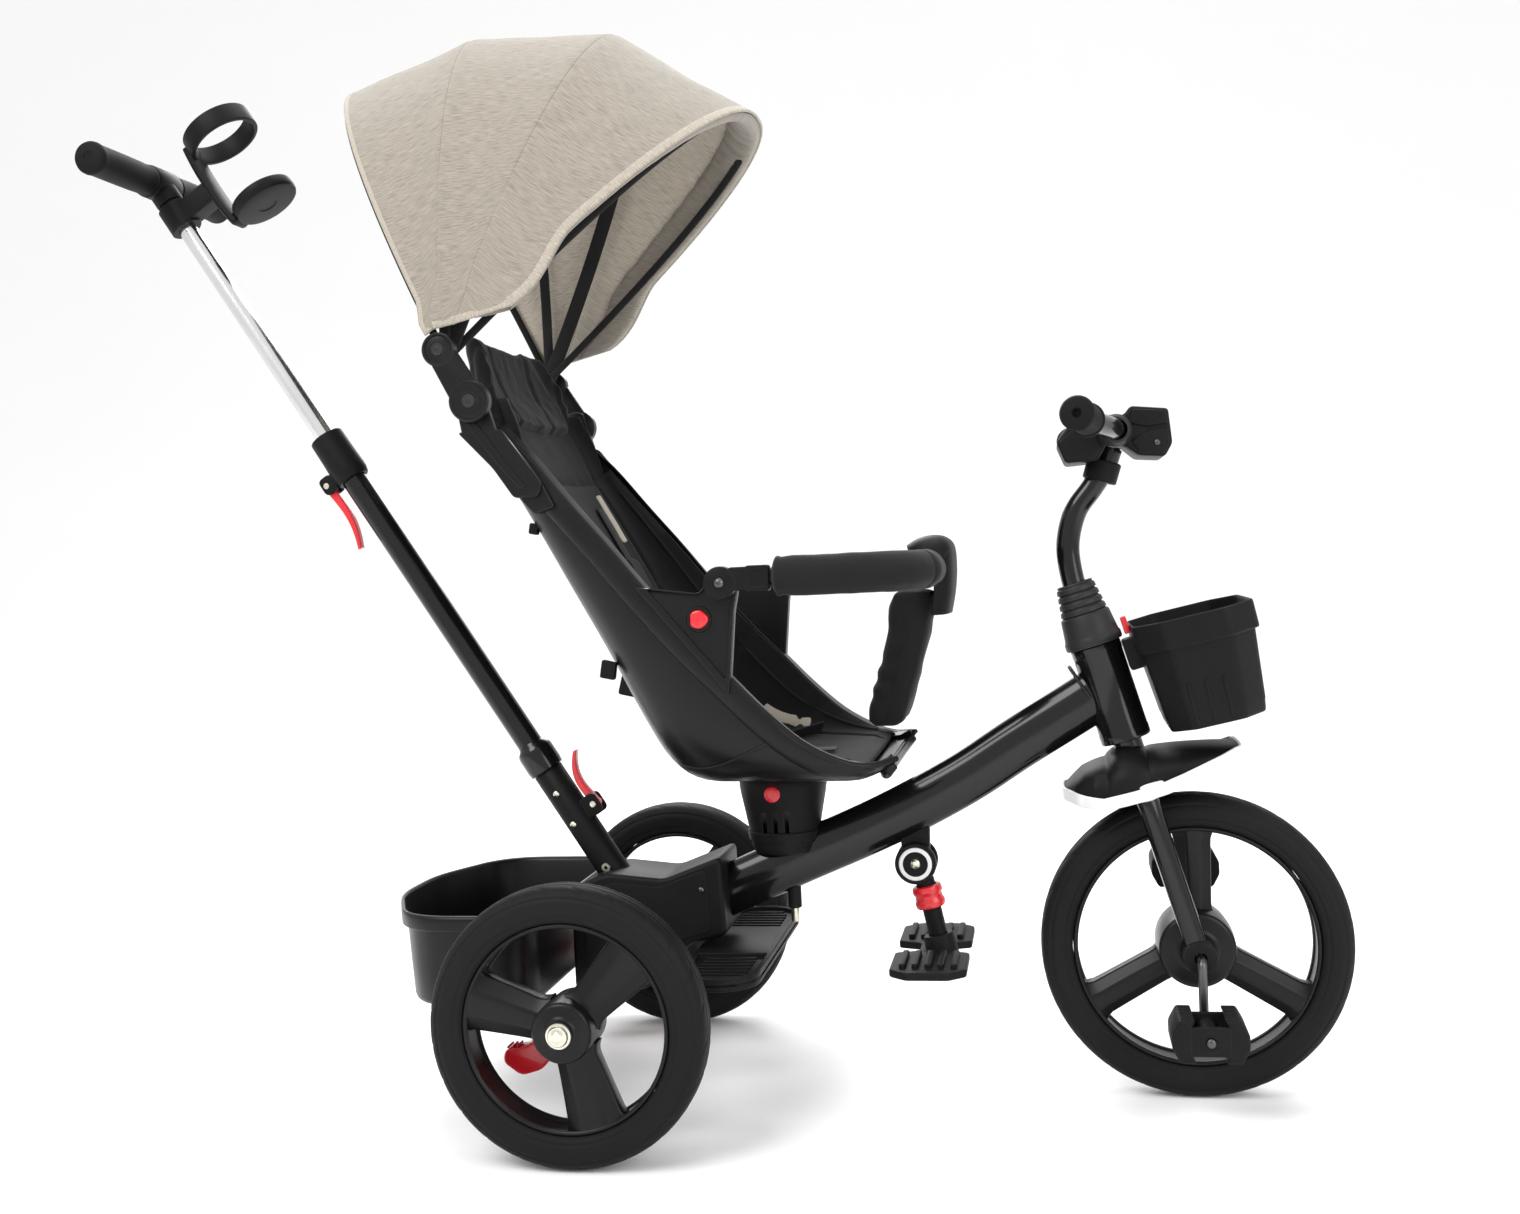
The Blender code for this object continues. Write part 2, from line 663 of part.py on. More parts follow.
def front_basket():
    """Eight-sided tapering bin, tilted square to the steering axis, with a hanging tongue."""
    long, wide, chamfer = 0.055, 0.086, 0.026
    plan = [(long, -wide + chamfer), (long, wide - chamfer), (long - chamfer, wide),
            (-long + chamfer, wide), (-long, wide - chamfer), (-long, -wide + chamfer),
            (-long + chamfer, -wide), (long - chamfer, -wide)]
    levels = [(0.78, -0.103), (0.82, -0.100), (0.93, -0.028), (1.0, -0.026), (1.0, 0.0)]
    work = bmesh.new()
    rings = [[work.verts.new((x * k, y * k, z)) for x, y in plan] for k, z in levels]
    for low, high in zip(rings, rings[1:]):
        for i in range(len(low)):
            j = (i + 1) % len(low)
            work.faces.new((low[i], low[j], high[j], high[i]))
    work.faces.new(list(reversed(rings[0])))
    mesh = bpy.data.meshes.new("basket")
    work.to_mesh(mesh)
    work.free()
    made = link_mesh(mesh)
    made.matrix_world = Matrix.Translation(at(BASKET_CENTRE[0], 0, BASKET_CENTRE[1]))
    made.matrix_world = made.matrix_world @ Matrix.Rotation(-RAKE * 0.75, 4, "Y")
    skin = made.modifiers.new("wall", "SOLIDIFY")
    skin.thickness = 0.003
    skin.offset = -1.0
    tongue = block((0.016, 0.030, 0.030), steer(0.280, 0, 0.0335), 0.002, -RAKE)
    clear = drum(0.024 + GAP, 0.2, 0.34, steer(0), STEER_UP, 16)
    join(made, tongue)
    cut(made, clear)
    return keep(made, "front_basket", (BLACK, 0.5))


def basket_clip():
    """Red push clip on top of the basket's tongue."""
    made = block((0.0055, 0.014, 0.0165), steer(0.3075, 0, 0.0325), 0.001, -RAKE)
    return keep(made, "basket_clip", (RED, 0.35))


GUARD_TOP = [(0.434, 0.298), (0.452, 0.318), (0.483, 0.3345), (0.516, 0.3375), (0.555, 0.3375),
             (0.592, 0.337)]


def mudguard():
    """Short saddle fender over the fork's crown: a tray turned upside down."""
    outer = [*GUARD_TOP, (0.598, 0.333), (0.525, 0.300), (0.466, 0.284), (0.440, 0.290)]
    inner = [(0.444, 0.280), (0.456, 0.3145), (0.484, 0.3308), (0.516, 0.3342), (0.555, 0.3342),
             (0.588, 0.3335), (0.600, 0.326), (0.600, 0.270)]
    made = plate([outer], 0.120, at(0, 0, 0))
    hollow = plate([inner], 0.114, at(0, 0, 0))
    steerer = drum(0.0142, 0.17, 0.22, steer(0), STEER_UP, 16)
    cut(made, hollow, steerer)
    return keep(made, "mudguard", (BLACK, 0.45))


def mudguard_band():
    """Light trim band round the fender's lower edge."""
    band = [(0.430, 0.2905), (0.431, 0.300), (0.437, 0.3005), (0.466, 0.2925), (0.525, 0.3085),
            (0.600, 0.342), (0.606, 0.337), (0.602, 0.330), (0.525, 0.2935), (0.466, 0.2755),
            (0.440, 0.2830)]
    made = plate([band], 0.126, at(0, 0, 0))
    cavity = [(0.4335, 0.270), (0.4335, 0.345), (0.599, 0.345), (0.599, 0.270)]
    cut(made, plate([cavity], 0.1206, at(0, 0, 0)))
    return keep(made, "mudguard_band", ((0.85, 0.85, 0.84), 0.35))


CRANK = 0.054
CRANK_Y = 0.0735
PEDAL_END = 0.142


def crankshaft():
    """One bent rod: pedal pin, arm, shaft through the hub, arm and pedal pin."""
    hub = steer(0)
    near = [Vector((hub.x, -PEDAL_END, hub.z - CRANK)), Vector((hub.x, -CRANK_Y - 0.004, hub.z - CRANK)),
            Vector((hub.x, -CRANK_Y, hub.z - CRANK + 0.004)), Vector((hub.x, -CRANK_Y, hub.z - 0.004)),
            Vector((hub.x, -CRANK_Y + 0.004, hub.z))]
    far = [Vector((hub.x, -p.y, 2 * hub.z - p.z)) for p in reversed(near)]
    return keep(rod(near + far, 0.0042, 2), "crankshaft", ((0.06, 0.06, 0.06), 0.35, 1.0))


def pedal(name, side):
    hub = steer(0)
    z = hub.z + side * CRANK
    outline = [(0.033, 0.006), (0.026, 0.019), (-0.026, 0.019), (-0.033, 0.006),
               (-0.033, -0.006), (-0.026, -0.019), (0.026, -0.019), (0.033, -0.006)]
    centre = Vector((hub.x, side * 0.110, z))
    made = plate([outline], 0.052, centre)
    cut(made, drum(0.0048, -0.05, 0.05, centre, (0, 1, 0), 12))
    return keep(made, name, (BLACK, 0.5))


# ---------------------------------------------------------------- footrest
def footrest_bracket():
    """Lug under the main tube with a round boss for the fold-down footrest."""
    x, z = FOOT_PIVOT
    boss = arc((x, z), 0.0142, 160, 380, 12)
    outline = [*boss, (x + 0.014, z + 0.045), (x - 0.014, z + 0.038)]
    made = plate([outline], 0.016, at(0, 0, 0))
    cut(made, tube_body(GAP, 2))
    return keep(made, "footrest_bracket", (BLACK, 0.35))


LEG_SLOPE = 0.208            # the leg leans forward as it goes down


def leg_point(z):
    """Point on the leg's centre line."""
    return at(FOOT_PIVOT[0] + 0.0035 + LEG_SLOPE * (FOOT_PIVOT[1] - z), 0, z)


def footrest_stem():
    """Yoke over the lug's boss and the round leg below it."""
    x, z = FOOT_PIVOT
    disc = arc((x, z), 0.0202, 0, 345, 24)
    made = plate([disc], 0.032, at(0, 0, 0))
    leg = rod([leg_point(0.1475), leg_point(z - 0.0172)], 0.0093, 2)
    notch = arc((x, z), 0.0148, 226, 352, 11)
    notch += [(x + 0.05, z - 0.0012), (x + 0.05, z + 0.05), (x - 0.05, z + 0.05),
              (x - 0.05, z - 0.0012), (x - 0.0347, z - 0.036)]
    slot = plate([notch], 0.0166, at(0, 0, 0))
    cut(made, slot)
    join(made, leg)
    return keep(made, "footrest_stem", (BLACK, 0.35))


def footrest_collar():
    """Red locking ring on the leg."""
    made = pipe(0.0145, 0.0102, -0.0110, 0.0110, leg_point(0.1900), (-LEG_SLOPE, 0, 1), 16)
    return keep(made, "footrest_collar", (RED, 0.35))


def footrest_pads():
    """Cross board with a notched tread each side of the leg."""
    half = [(0.013, 0.014), (0.036, 0.022), (0.036, 0.086), (0.020, 0.100), (-0.020, 0.100),
            (-0.036, 0.086), (-0.036, 0.022), (-0.013, 0.014)]
    outline = half + [(x, -y) for x, y in reversed(half)]
    outline = [(x + 0.3035, y) for x, y in outline]
    made = plate([outline], 0.012, at(0, 0, 0.1385), upright=False)
    soften(made, 0.002)
    return keep(made, "footrest_pads", (BLACK, 0.5))


# ---------------------------------------------------------------- seat
# Each station runs from the top of the back to the front lip:
# rim place, middle of the back or base, half width at the rim.
SEAT_STATIONS = [
    ((-0.075, 0.662), (-0.092, 0.640), 0.146),
    ((-0.040, 0.629), (-0.074, 0.606), 0.150),
    ((-0.004, 0.586), (-0.047, 0.556), 0.153),
    ((0.032, 0.544), (-0.018, 0.499), 0.154),
    ((0.067, 0.501), (0.012, 0.441), 0.154),
    ((0.110, 0.452), (0.043, 0.376), 0.154),
    ((0.140, 0.422), (0.068, 0.334), 0.154),
    ((0.172, 0.389), (0.100, SEAT_BASE_Z), 0.153),
    ((0.205, 0.360), (0.158, SEAT_BASE_Z), 0.151),
    ((0.238, 0.342), (0.215, SEAT_BASE_Z), 0.145),
    ((0.262, 0.336), (0.248, 0.3165), 0.132),
    ((0.284, 0.339), (0.272, 0.3240), 0.108),
]


def seat_rows(inset, columns=10, stations=SEAT_STATIONS):
    """Cross sections of the bucket, drawn a distance inside the outer face."""
    rows = []
    for (rim_x, rim_z), (mid_x, mid_z), half in stations:
        rim_point, mid_point = Vector((rim_x, rim_z)), Vector((mid_x, mid_z))
        inward = (rim_point - mid_point).normalized()
        mid_point = mid_point + inward * inset
        row = []
        for i in range(columns + 1):
            t = -1 + 2 * i / columns
            angle = abs(t) * math.pi / 2
            across = math.sin(angle) ** 0.62 * (half - inset) * (1 if t > 0 else -1)
            depth = math.cos(angle) ** 0.62 if abs(t) < 1 else 0.0
            point = rim_point + (mid_point - rim_point) * depth
            row.append(at(point.x, across if t else 0.0, point.y))
        rows.append(row)
    return rows


EAR = [(0.060, 0.505), (0.118, 0.497), (0.1275, 0.5075), (0.1335, 0.518), (0.1485, 0.518),
       (0.1555, 0.506), (0.1500, 0.480), (0.1430, 0.405)]


def seat_shell():
    """Bucket seat with a lug each side for the bumper bar."""
    made = grid_solid(seat_rows(0.0), SHELL_WALL)
    for side in (-1, 1):
        ear = plate([EAR], 0.014, at(0, side * 0.1540, 0))
        join(made, ear)
    for side in (-1, 1):
        hole = drum(0.0088, 0.1475, 0.18, at(0.118, 0, 0.474), (0, side, 0), 16)
        cut(made, hole)
    return keep(made, "seat_shell", (BLACK, 0.4))


def side_button(name, side):
    made = drum(0.0084, 0.1520, 0.1640, at(0.118, 0, 0.474), (0, side, 0), 16)
    return keep(made, name, (RED, 0.35))


def seat_liner():
    """Padded liner: follows the bucket with an even thickness."""
    rows = seat_rows(SHELL_WALL + 0.0056, stations=SEAT_STATIONS[1:-1])
    made = grid_solid(rows, LINER_WALL)
    return keep(made, "seat_liner", (BLACK, 0.9))


def headrest():
    """Padded head support with side wings, above the bucket's back."""
    stations = [
        ((-0.038, 0.741), (-0.106, 0.7450), 0.118),
        ((-0.012, 0.715), (-0.104, 0.7150), 0.124),
        ((-0.014, 0.686), (-0.092, 0.6800), 0.128),
        ((-0.040, 0.652), (-0.078, 0.6500), 0.128),
    ]
    made = grid_solid(seat_rows(0.0, 10, stations), 0.018)
    return keep(made, "headrest", (BLACK, 0.9))


def bar_path(start_x, side_y=BAR_HALF):
    """Bumper bar's centre line from one side round the front to the other."""
    z = BAR_PIVOT[1] + 0.004
    corner = 0.075
    front = BAR_FRONT_X
    half = [at(start_x, -side_y, z)]
    turn = arc((front - corner, -(BAR_HALF - corner)), corner, -90, 0, 6)
    half += [at(x, y, z) for x, y in turn]
    return half + [Vector((p.x, -p.y, p.z)) for p in reversed(half)]


def safety_bar():
    """Steel hoop with a round knuckle at each end."""
    made = rod(bar_path(0.172, BAR_HALF + 0.005), 0.0075, 1)
    for side in (-1, 1):
        knuckle = drum(0.0148, 0.1615, 0.1750, at(BAR_PIVOT[0], 0, BAR_PIVOT[1]), (0, side, 0), 16)
        arm = block((0.042, 0.012, 0.021), at(0.164, side * 0.1680, 0.509), 0.002)
        join(made, knuckle, arm)
    return keep(made, "safety_bar", (BLACK, 0.4))


def bar_foam():
    path = bar_path(0.1865, BAR_HALF + 0.0035)
    made = rod(path, 0.0185, 2)
    longer = [path[0] - Vector((0.01, 0, 0)), *path, path[-1] - Vector((0.01, 0, 0))]
    cut(made, rod(longer, 0.0095, 1))
    return keep(made, "bar_foam", (BLACK, 0.8))


def bar_cap():
    """Bowed guard plate clipped over the front of the bumper bar."""
    outer = [(0.296, 0.5365), (0.318, 0.5455), (0.334, 0.5440), (0.3375, 0.530), (0.3375, 0.490),
             (0.333, 0.466), (0.3295, 0.466), (0.3340, 0.490), (0.3340, 0.5285), (0.3310, 0.5375),
             (0.318, 0.5395), (0.298, 0.5320)]
    made = plate([outer], 0.110, at(0, 0, 0))
    return keep(made, "bar_cap", (BLACK, 0.5))


def crotch_pad():
    """Padded strap from the bumper bar down to the front of the seat."""
    made = plate([[(0.276, 0.4895), (0.322, 0.4895), (0.314, 0.455), (0.286, 0.357),
                   (0.246, 0.357), (0.270, 0.440)]], 0.074, at(0, 0, 0))
    soften(made, 0.006)
    return keep(made, "crotch_pad", (BLACK, 0.9))


# ---------------------------------------------------------------- canopy
def fan(index, radius, y):
    """Point of a hoop's plane at a distance from the canopy's pivot axis."""
    angle = math.radians(HOOP_ANGLES[index])
    x = CANOPY_PIVOT[0] + radius * math.cos(angle)
    z = CANOPY_PIVOT[1] + radius * math.sin(angle)
    return at(x, y, z)


def hoop_profile(reach, half, count, power=2.4):
    """Arch from the pivot over the top, as (y, radius) pairs."""
    pairs = []
    for i in range(count + 1):
        angle = math.pi * i / count
        across = -math.copysign(abs(math.cos(angle)) ** (2 / power), math.cos(angle)) * half
        up = math.sin(angle) ** (2 / power) * reach
        pairs.append((across, max(up, 0.0)))
    return pairs


def hoop_rod(index, thickness=0.0030):
    pairs = hoop_profile(HOOP_REACH[index], HOOP_HALF[index], 14)
    return rod([fan(index, r, y) for y, r in pairs], thickness, 1)


def canopy_mount(name, side):
    """Bracket on the seat's upper corner that carries a canopy link."""
    x, z = CANOPY_TILT
    outline = arc((x, z), 0.0165, 60, 200, 8)
    outline += [(-0.098, 0.652), (-0.066, 0.618), (-0.047, 0.590), (-0.024, 0.590),
                (-0.020, 0.602), (-0.058, 0.654)]
    made = plate([outline], 0.0075, at(0, side * 0.1620, 0))
    return keep(made, name, (BLACK, 0.45))


def canopy_frame():
    """Two pivoted links joined by the rear hoop."""
    (xb, zb), (xa, za) = CANOPY_TILT, CANOPY_PIVOT
    made = hoop_rod(0, 0.0034)
    for side in (-1, 1):
        y = side * 0.1710
        lower = drum(0.0190, -0.0050, 0.0050, at(xb, y, zb), (0, 1, 0), 16)
        upper = drum(0.0155, -0.0050, 0.0050, at(xa, y, za), (0, 1, 0), 16)
        along = math.degrees(math.atan2(za - zb, xa - xb))
        web = plate([[*arc((xb, zb), 0.0150, along + 90, along + 270, 4),
                      *arc((xa, za), 0.0125, along - 90, along + 90, 4)]], 0.0090, at(0, y, 0))
        join(made, lower, upper, web)
    return keep(made, "canopy_frame", (BLACK, 0.45))


def canopy_hoop(name, index):
    return keep(hoop_rod(index), name, (BLACK, 0.45))


def canopy_hood():
    """Fabric hood, flat between the four hoops, open at the front, below and behind."""
    rows = []
    for index, reach in enumerate(HOOP_REACH):
        grow = 0.0040 + HOOD_WALL
        row = []
        for y, r in hoop_profile(reach + grow, HOOP_HALF[0] + grow, 16):
            row.append(fan(index, r, y))
        row[0] = fan(index, 0.024, row[0].y)
        row[-1] = fan(index, 0.024, row[-1].y)
        rows.append(row)
    made = grid_solid(rows, HOOD_WALL)
    return keep(made, "canopy_hood", ((0.60, 0.55, 0.47), 0.95))


# ---------------------------------------------------------------- assembly
main_tube()
head_tube()
rear_cover()
rear_axle()
step_plate()
rear_basket()
handle_socket()
seat_pedestal()
pedestal_button()
push_tube_lower()
clamp_sleeve()
footrest_bracket()
front_basket()
basket_clip()

SOCKET_PIN = handle(0.079, 0, 0.0230)
SLEEVE_PIN = handle(0.504, 0, -0.0255)


def lever_at(pin, reach, ahead, bulge, name):
    """Lever from a pin, reaching along the handle's axis."""
    start = (pin.x - ORIGIN_X, pin.z)
    end = pin + HANDLE_UP * reach + Vector((HANDLE_UP.z, 0.0, -HANDLE_UP.x)) * ahead
    made = lever(start, (end.x - ORIGIN_X, end.z), bulge, name)
    pivot(name + "_pin", pin, [made])
    return made


lever_at(SOCKET_PIN, 0.056, 0.010, 0.006, "socket_lever")
lever_at(SLEEVE_PIN, -0.072, -0.007, 0.004, "sleeve_lever")

pivot("handle_slide", handle(UPPER_FROM), [
    push_tube_upper(), crossbar(), grip("grip_right", -1), grip("grip_left", 1), cup_holder()])

for side, word in ((-1, "right"), (1, "left")):
    y = side * TRACK / 2
    pivot("rear_wheel_axis_" + word, at(0, y, REAR_RADIUS), [
        tyre("rear_tyre_" + word, REAR_RADIUS, 0.0935, y, 0),
        rim("rear_rim_" + word, 0.0886, 0.0935, y, 0, REAR_RADIUS, 0.027, 0.030, 45),
    ])
    pivot("brake_axis_" + word, at(0, side * 0.1715, REAR_RADIUS),
          [brake_pedal("brake_pedal_" + word, side)])

pivot("front_wheel_axis", steer(0), [
    tyre("front_tyre", FRONT_RADIUS, 0.114, 0, WHEELBASE),
    rim("front_rim", 0.109, 0.114, 0, WHEELBASE, FRONT_RADIUS, 0.0355, 0.034, 90),
])
pivot("crank_axis", steer(0), [crankshaft()])
for side, word in ((-1, "right"), (1, "left")):
    hub = steer(0)
    pivot("pedal_axis_" + word, (hub.x, side * 0.110, hub.z + side * CRANK),
          [pedal("pedal_" + word, side)])

pivot("steering_axis", steer(HEAD_FROM), [
    fork(), stem_tube(), steering_bellows(), handlebar(), handlebar_console(),
    handlebar_grip("handlebar_grip_right", -1), handlebar_grip("handlebar_grip_left", 1),
    mudguard(), mudguard_band()])

pivot("footrest_axis", at(FOOT_PIVOT[0], 0, FOOT_PIVOT[1]),
      [footrest_stem(), footrest_pads(), footrest_collar()])

pivot("seat_axis", at(SEAT_AXIS_X, 0, SEAT_BASE_Z), [
    seat_shell(), seat_liner(), headrest(), side_button("side_button_right", -1),
    side_button("side_button_left", 1), canopy_mount("canopy_mount_right", -1),
    canopy_mount("canopy_mount_left", 1)])
pivot("bar_axis", at(BAR_PIVOT[0], 0, BAR_PIVOT[1]),
      [safety_bar(), bar_foam(), bar_cap(), crotch_pad()])
pivot("canopy_tilt_axis", at(CANOPY_TILT[0], 0, CANOPY_TILT[1]), [canopy_frame(), canopy_hood()])
pivot("canopy_fold_axis", at(CANOPY_PIVOT[0], 0, CANOPY_PIVOT[1]), [
    canopy_hoop("canopy_hoop_rear_middle", 1), canopy_hoop("canopy_hoop_front_middle", 2),
    canopy_hoop("canopy_hoop_front", 3)])

for thing in PARTS.objects:
    if thing.type == "MESH":
        thing.data.shade_smooth()
        thing.data.set_sharp_from_angle(angle=math.radians(35))
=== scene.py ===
"""Looks for the children's push tricycle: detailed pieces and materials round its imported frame.

Metres, +Z up, +X forward, +Y to the rider's left.  Side-view places are (x, z) pairs measured
from the rear axle, as on the drawing; at() gives their place in the scene.
"""

import math

import bmesh
import bpy
import numpy as np
from mathutils import Matrix, Vector, noise
from mathutils.bvhtree import BVHTree


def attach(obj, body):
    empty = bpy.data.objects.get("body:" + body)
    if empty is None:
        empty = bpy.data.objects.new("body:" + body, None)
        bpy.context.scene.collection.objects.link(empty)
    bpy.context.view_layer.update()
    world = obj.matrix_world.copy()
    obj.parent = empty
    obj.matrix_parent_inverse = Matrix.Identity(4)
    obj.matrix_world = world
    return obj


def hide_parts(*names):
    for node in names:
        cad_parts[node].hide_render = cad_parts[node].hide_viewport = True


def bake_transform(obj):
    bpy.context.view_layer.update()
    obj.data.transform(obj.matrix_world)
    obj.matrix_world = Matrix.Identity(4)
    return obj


bl_info = {
    "name": "Children's tricycle looks",
    "version": (1, 0, 0),
    "blender": (4, 5, 0),
    "location": "View3D > Sidebar > Tricycle",
    "description": "Builds the detailed pieces and materials of a push tricycle",
    "category": "Object",
}

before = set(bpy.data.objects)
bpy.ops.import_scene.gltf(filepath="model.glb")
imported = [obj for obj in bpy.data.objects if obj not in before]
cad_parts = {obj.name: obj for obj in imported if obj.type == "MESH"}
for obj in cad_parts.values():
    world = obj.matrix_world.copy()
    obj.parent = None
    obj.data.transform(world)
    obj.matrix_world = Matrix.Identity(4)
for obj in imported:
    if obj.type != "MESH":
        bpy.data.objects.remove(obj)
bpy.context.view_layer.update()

# ---------------------------------------------------------------- dimensions shared with the frame
REAR_RADIUS = 0.125
FRONT_RADIUS = 0.144
TRACK = 0.44
WHEELBASE = 0.551
ORIGIN_X = -0.10063
RAKE = math.radians(16.2)
HANDLE_FOOT = (-0.0095, 0.207)
HANDLE_LEAN = math.radians(32.4)
SOCKET_END = 0.1335
CROSSBAR_AT = 0.872
CUP_OFFSET = 0.087
SEAT_AXIS_X = 0.161
SEAT_BASE_Z = 0.3155
SHELL_WALL = 0.004
BAR_PIVOT = (0.141, 0.506)
BAR_HALF = 0.160
BAR_FRONT_X = 0.3145
CANOPY_TILT = (-0.082, 0.679)
CANOPY_PIVOT = (-0.109, 0.727)
HOOP_ANGLES = (114.5, 89.5, 65.5, 41.0)
HOOP_REACH = (0.303, 0.3165, 0.3395, 0.3505)
HOOP_HALF = (0.1635, 0.1555, 0.1480, 0.1405)
FOOT_PIVOT = (0.290, 0.224)
LEG_SLOPE = 0.208
CRANK = 0.054
ROUND = 64                       # steps round a turned piece


def at(x, y, z):
    return Vector((x + ORIGIN_X, y, z))


STEER_UP = Vector((-math.sin(RAKE), 0.0, math.cos(RAKE)))
STEER_AHEAD = Vector((math.cos(RAKE), 0.0, math.sin(RAKE)))
HANDLE_UP = Vector((-math.sin(HANDLE_LEAN), 0.0, math.cos(HANDLE_LEAN)))
HANDLE_AHEAD = Vector((HANDLE_UP.z, 0.0, -HANDLE_UP.x))
ACROSS = Vector((0.0, 1.0, 0.0))


def steer(distance, y=0.0, ahead=0.0):
    """Point on the steering axis, a distance up from the front hub."""
    return at(WHEELBASE, y, FRONT_RADIUS) + STEER_UP * distance + STEER_AHEAD * ahead


def handle(distance, y=0.0, ahead=0.0):
    """Point on the parent handle's axis."""
    return at(HANDLE_FOOT[0], y, HANDLE_FOOT[1]) + HANDLE_UP * distance + HANDLE_AHEAD * ahead


# ---------------------------------------------------------------- what a user would change
class TrikeColours(bpy.types.PropertyGroup):
    """Colours that the finishes start from."""
    linen: bpy.props.FloatVectorProperty(
        name="Linen", description="Middle shade of the hood's canvas", subtype="COLOR", size=3,
        min=0.0, max=1.0, default=(0.462, 0.412, 0.343))
    red: bpy.props.FloatVectorProperty(
        name="Red", description="Levers, buttons and the footrest lock", subtype="COLOR", size=3,
        min=0.0, max=1.0, default=(0.56, 0.010, 0.017))
    # default grey below the plastic's white: painted shade so the white trim reads against the
    # bright backdrop
    trim: bpy.props.FloatVectorProperty(
        name="Trim", description="Fender band and footrest ring", subtype="COLOR", size=3,
        min=0.0, max=1.0, default=(0.66, 0.66, 0.655))


class TrikeSizes(bpy.types.PropertyGroup):
    """Sizes of the fine parts that the frame doesn't fix."""
    tread: bpy.props.FloatProperty(
        name="Tread depth", description="Depth of the grooves in the tyres", unit="LENGTH",
        default=0.0009, min=0.0, max=0.003)
    binding: bpy.props.FloatProperty(
        name="Binding width", description="Width of the hood's bound front edge",
        unit="LENGTH", default=0.0095, min=0.004, max=0.02)
    hem: bpy.props.FloatProperty(
        name="Hem depth", description="Depth of the gathered hem inside the hood's front",
        unit="LENGTH", default=0.037, min=0.01, max=0.06)
    piping: bpy.props.FloatProperty(
        name="Piping radius", description="Radius of the cord sewn round the liner",
        unit="LENGTH", default=0.0016, min=0.0005, max=0.004)
    webbing: bpy.props.FloatProperty(
        name="Webbing width", description="Width of the harness straps", unit="LENGTH",
        default=0.022, min=0.01, max=0.04)
    puff: bpy.props.FloatProperty(
        name="Liner padding", description="How far the liner swells between its seams",
        unit="LENGTH", default=0.0056, min=0.0, max=0.008)
    pressure: bpy.props.FloatProperty(
        name="Stuffing pressure", description="Cloth pressure that fills the padded pieces",
        default=4.0, min=0.0, max=10.0)


def colours():
    return bpy.context.scene.trike_colours


def sizes():
    return bpy.context.scene.trike_sizes


# ---------------------------------------------------------------- shader maths
class Wire:
    """A shader socket; arithmetic on it adds Math nodes, and node() adds any other kind."""

    def __init__(self, tree, out=None):
        self.tree, self.out = tree, out

    def node(self, kind, settings=None, inputs=None, output=0):
        made = self.tree.nodes.new(kind)
        for key, value in (settings or {}).items():
            setattr(made, key, value)
        for key, value in (inputs or {}).items():
            feed(self.tree, made.inputs[key], value)
        return Wire(self.tree, made.outputs[output])

    def math(self, operation, *values, clamp=False):
        pairs = dict(enumerate(values))
        return self.node("ShaderNodeMath", {"operation": operation, "use_clamp": clamp}, pairs)

    def __add__(self, other):
        return self.math("ADD", self, other)

    __radd__ = __add__

    def __mul__(self, other):
        return self.math("MULTIPLY", self, other)

    __rmul__ = __mul__

    def __sub__(self, other):
        return self.math("SUBTRACT", self, other)

    def __rsub__(self, other):
        return self.math("SUBTRACT", other, self)

    def __truediv__(self, other):
        return self.math("DIVIDE", self, other)

    def __rtruediv__(self, other):
        return self.math("DIVIDE", other, self)

    def __pow__(self, other):
        return self.math("POWER", self, other)

    def __neg__(self):
        return self.math("MULTIPLY", self, -1.0)

    def sin(self):
        return self.math("SINE", self)

    def abs(self):
        return self.math("ABSOLUTE", self)

    def clamp(self):
        return self.math("ADD", self, 0.0, clamp=True)


def feed(tree, target, value):
    """Link a Wire to an input, or set the input's constant."""
    if isinstance(value, Wire):
        tree.links.new(value.out, target)
    elif isinstance(value, tuple) and len(value) == 3 and target.type == "RGBA":
        target.default_value = (*value, 1.0)
    else:
        target.default_value = value


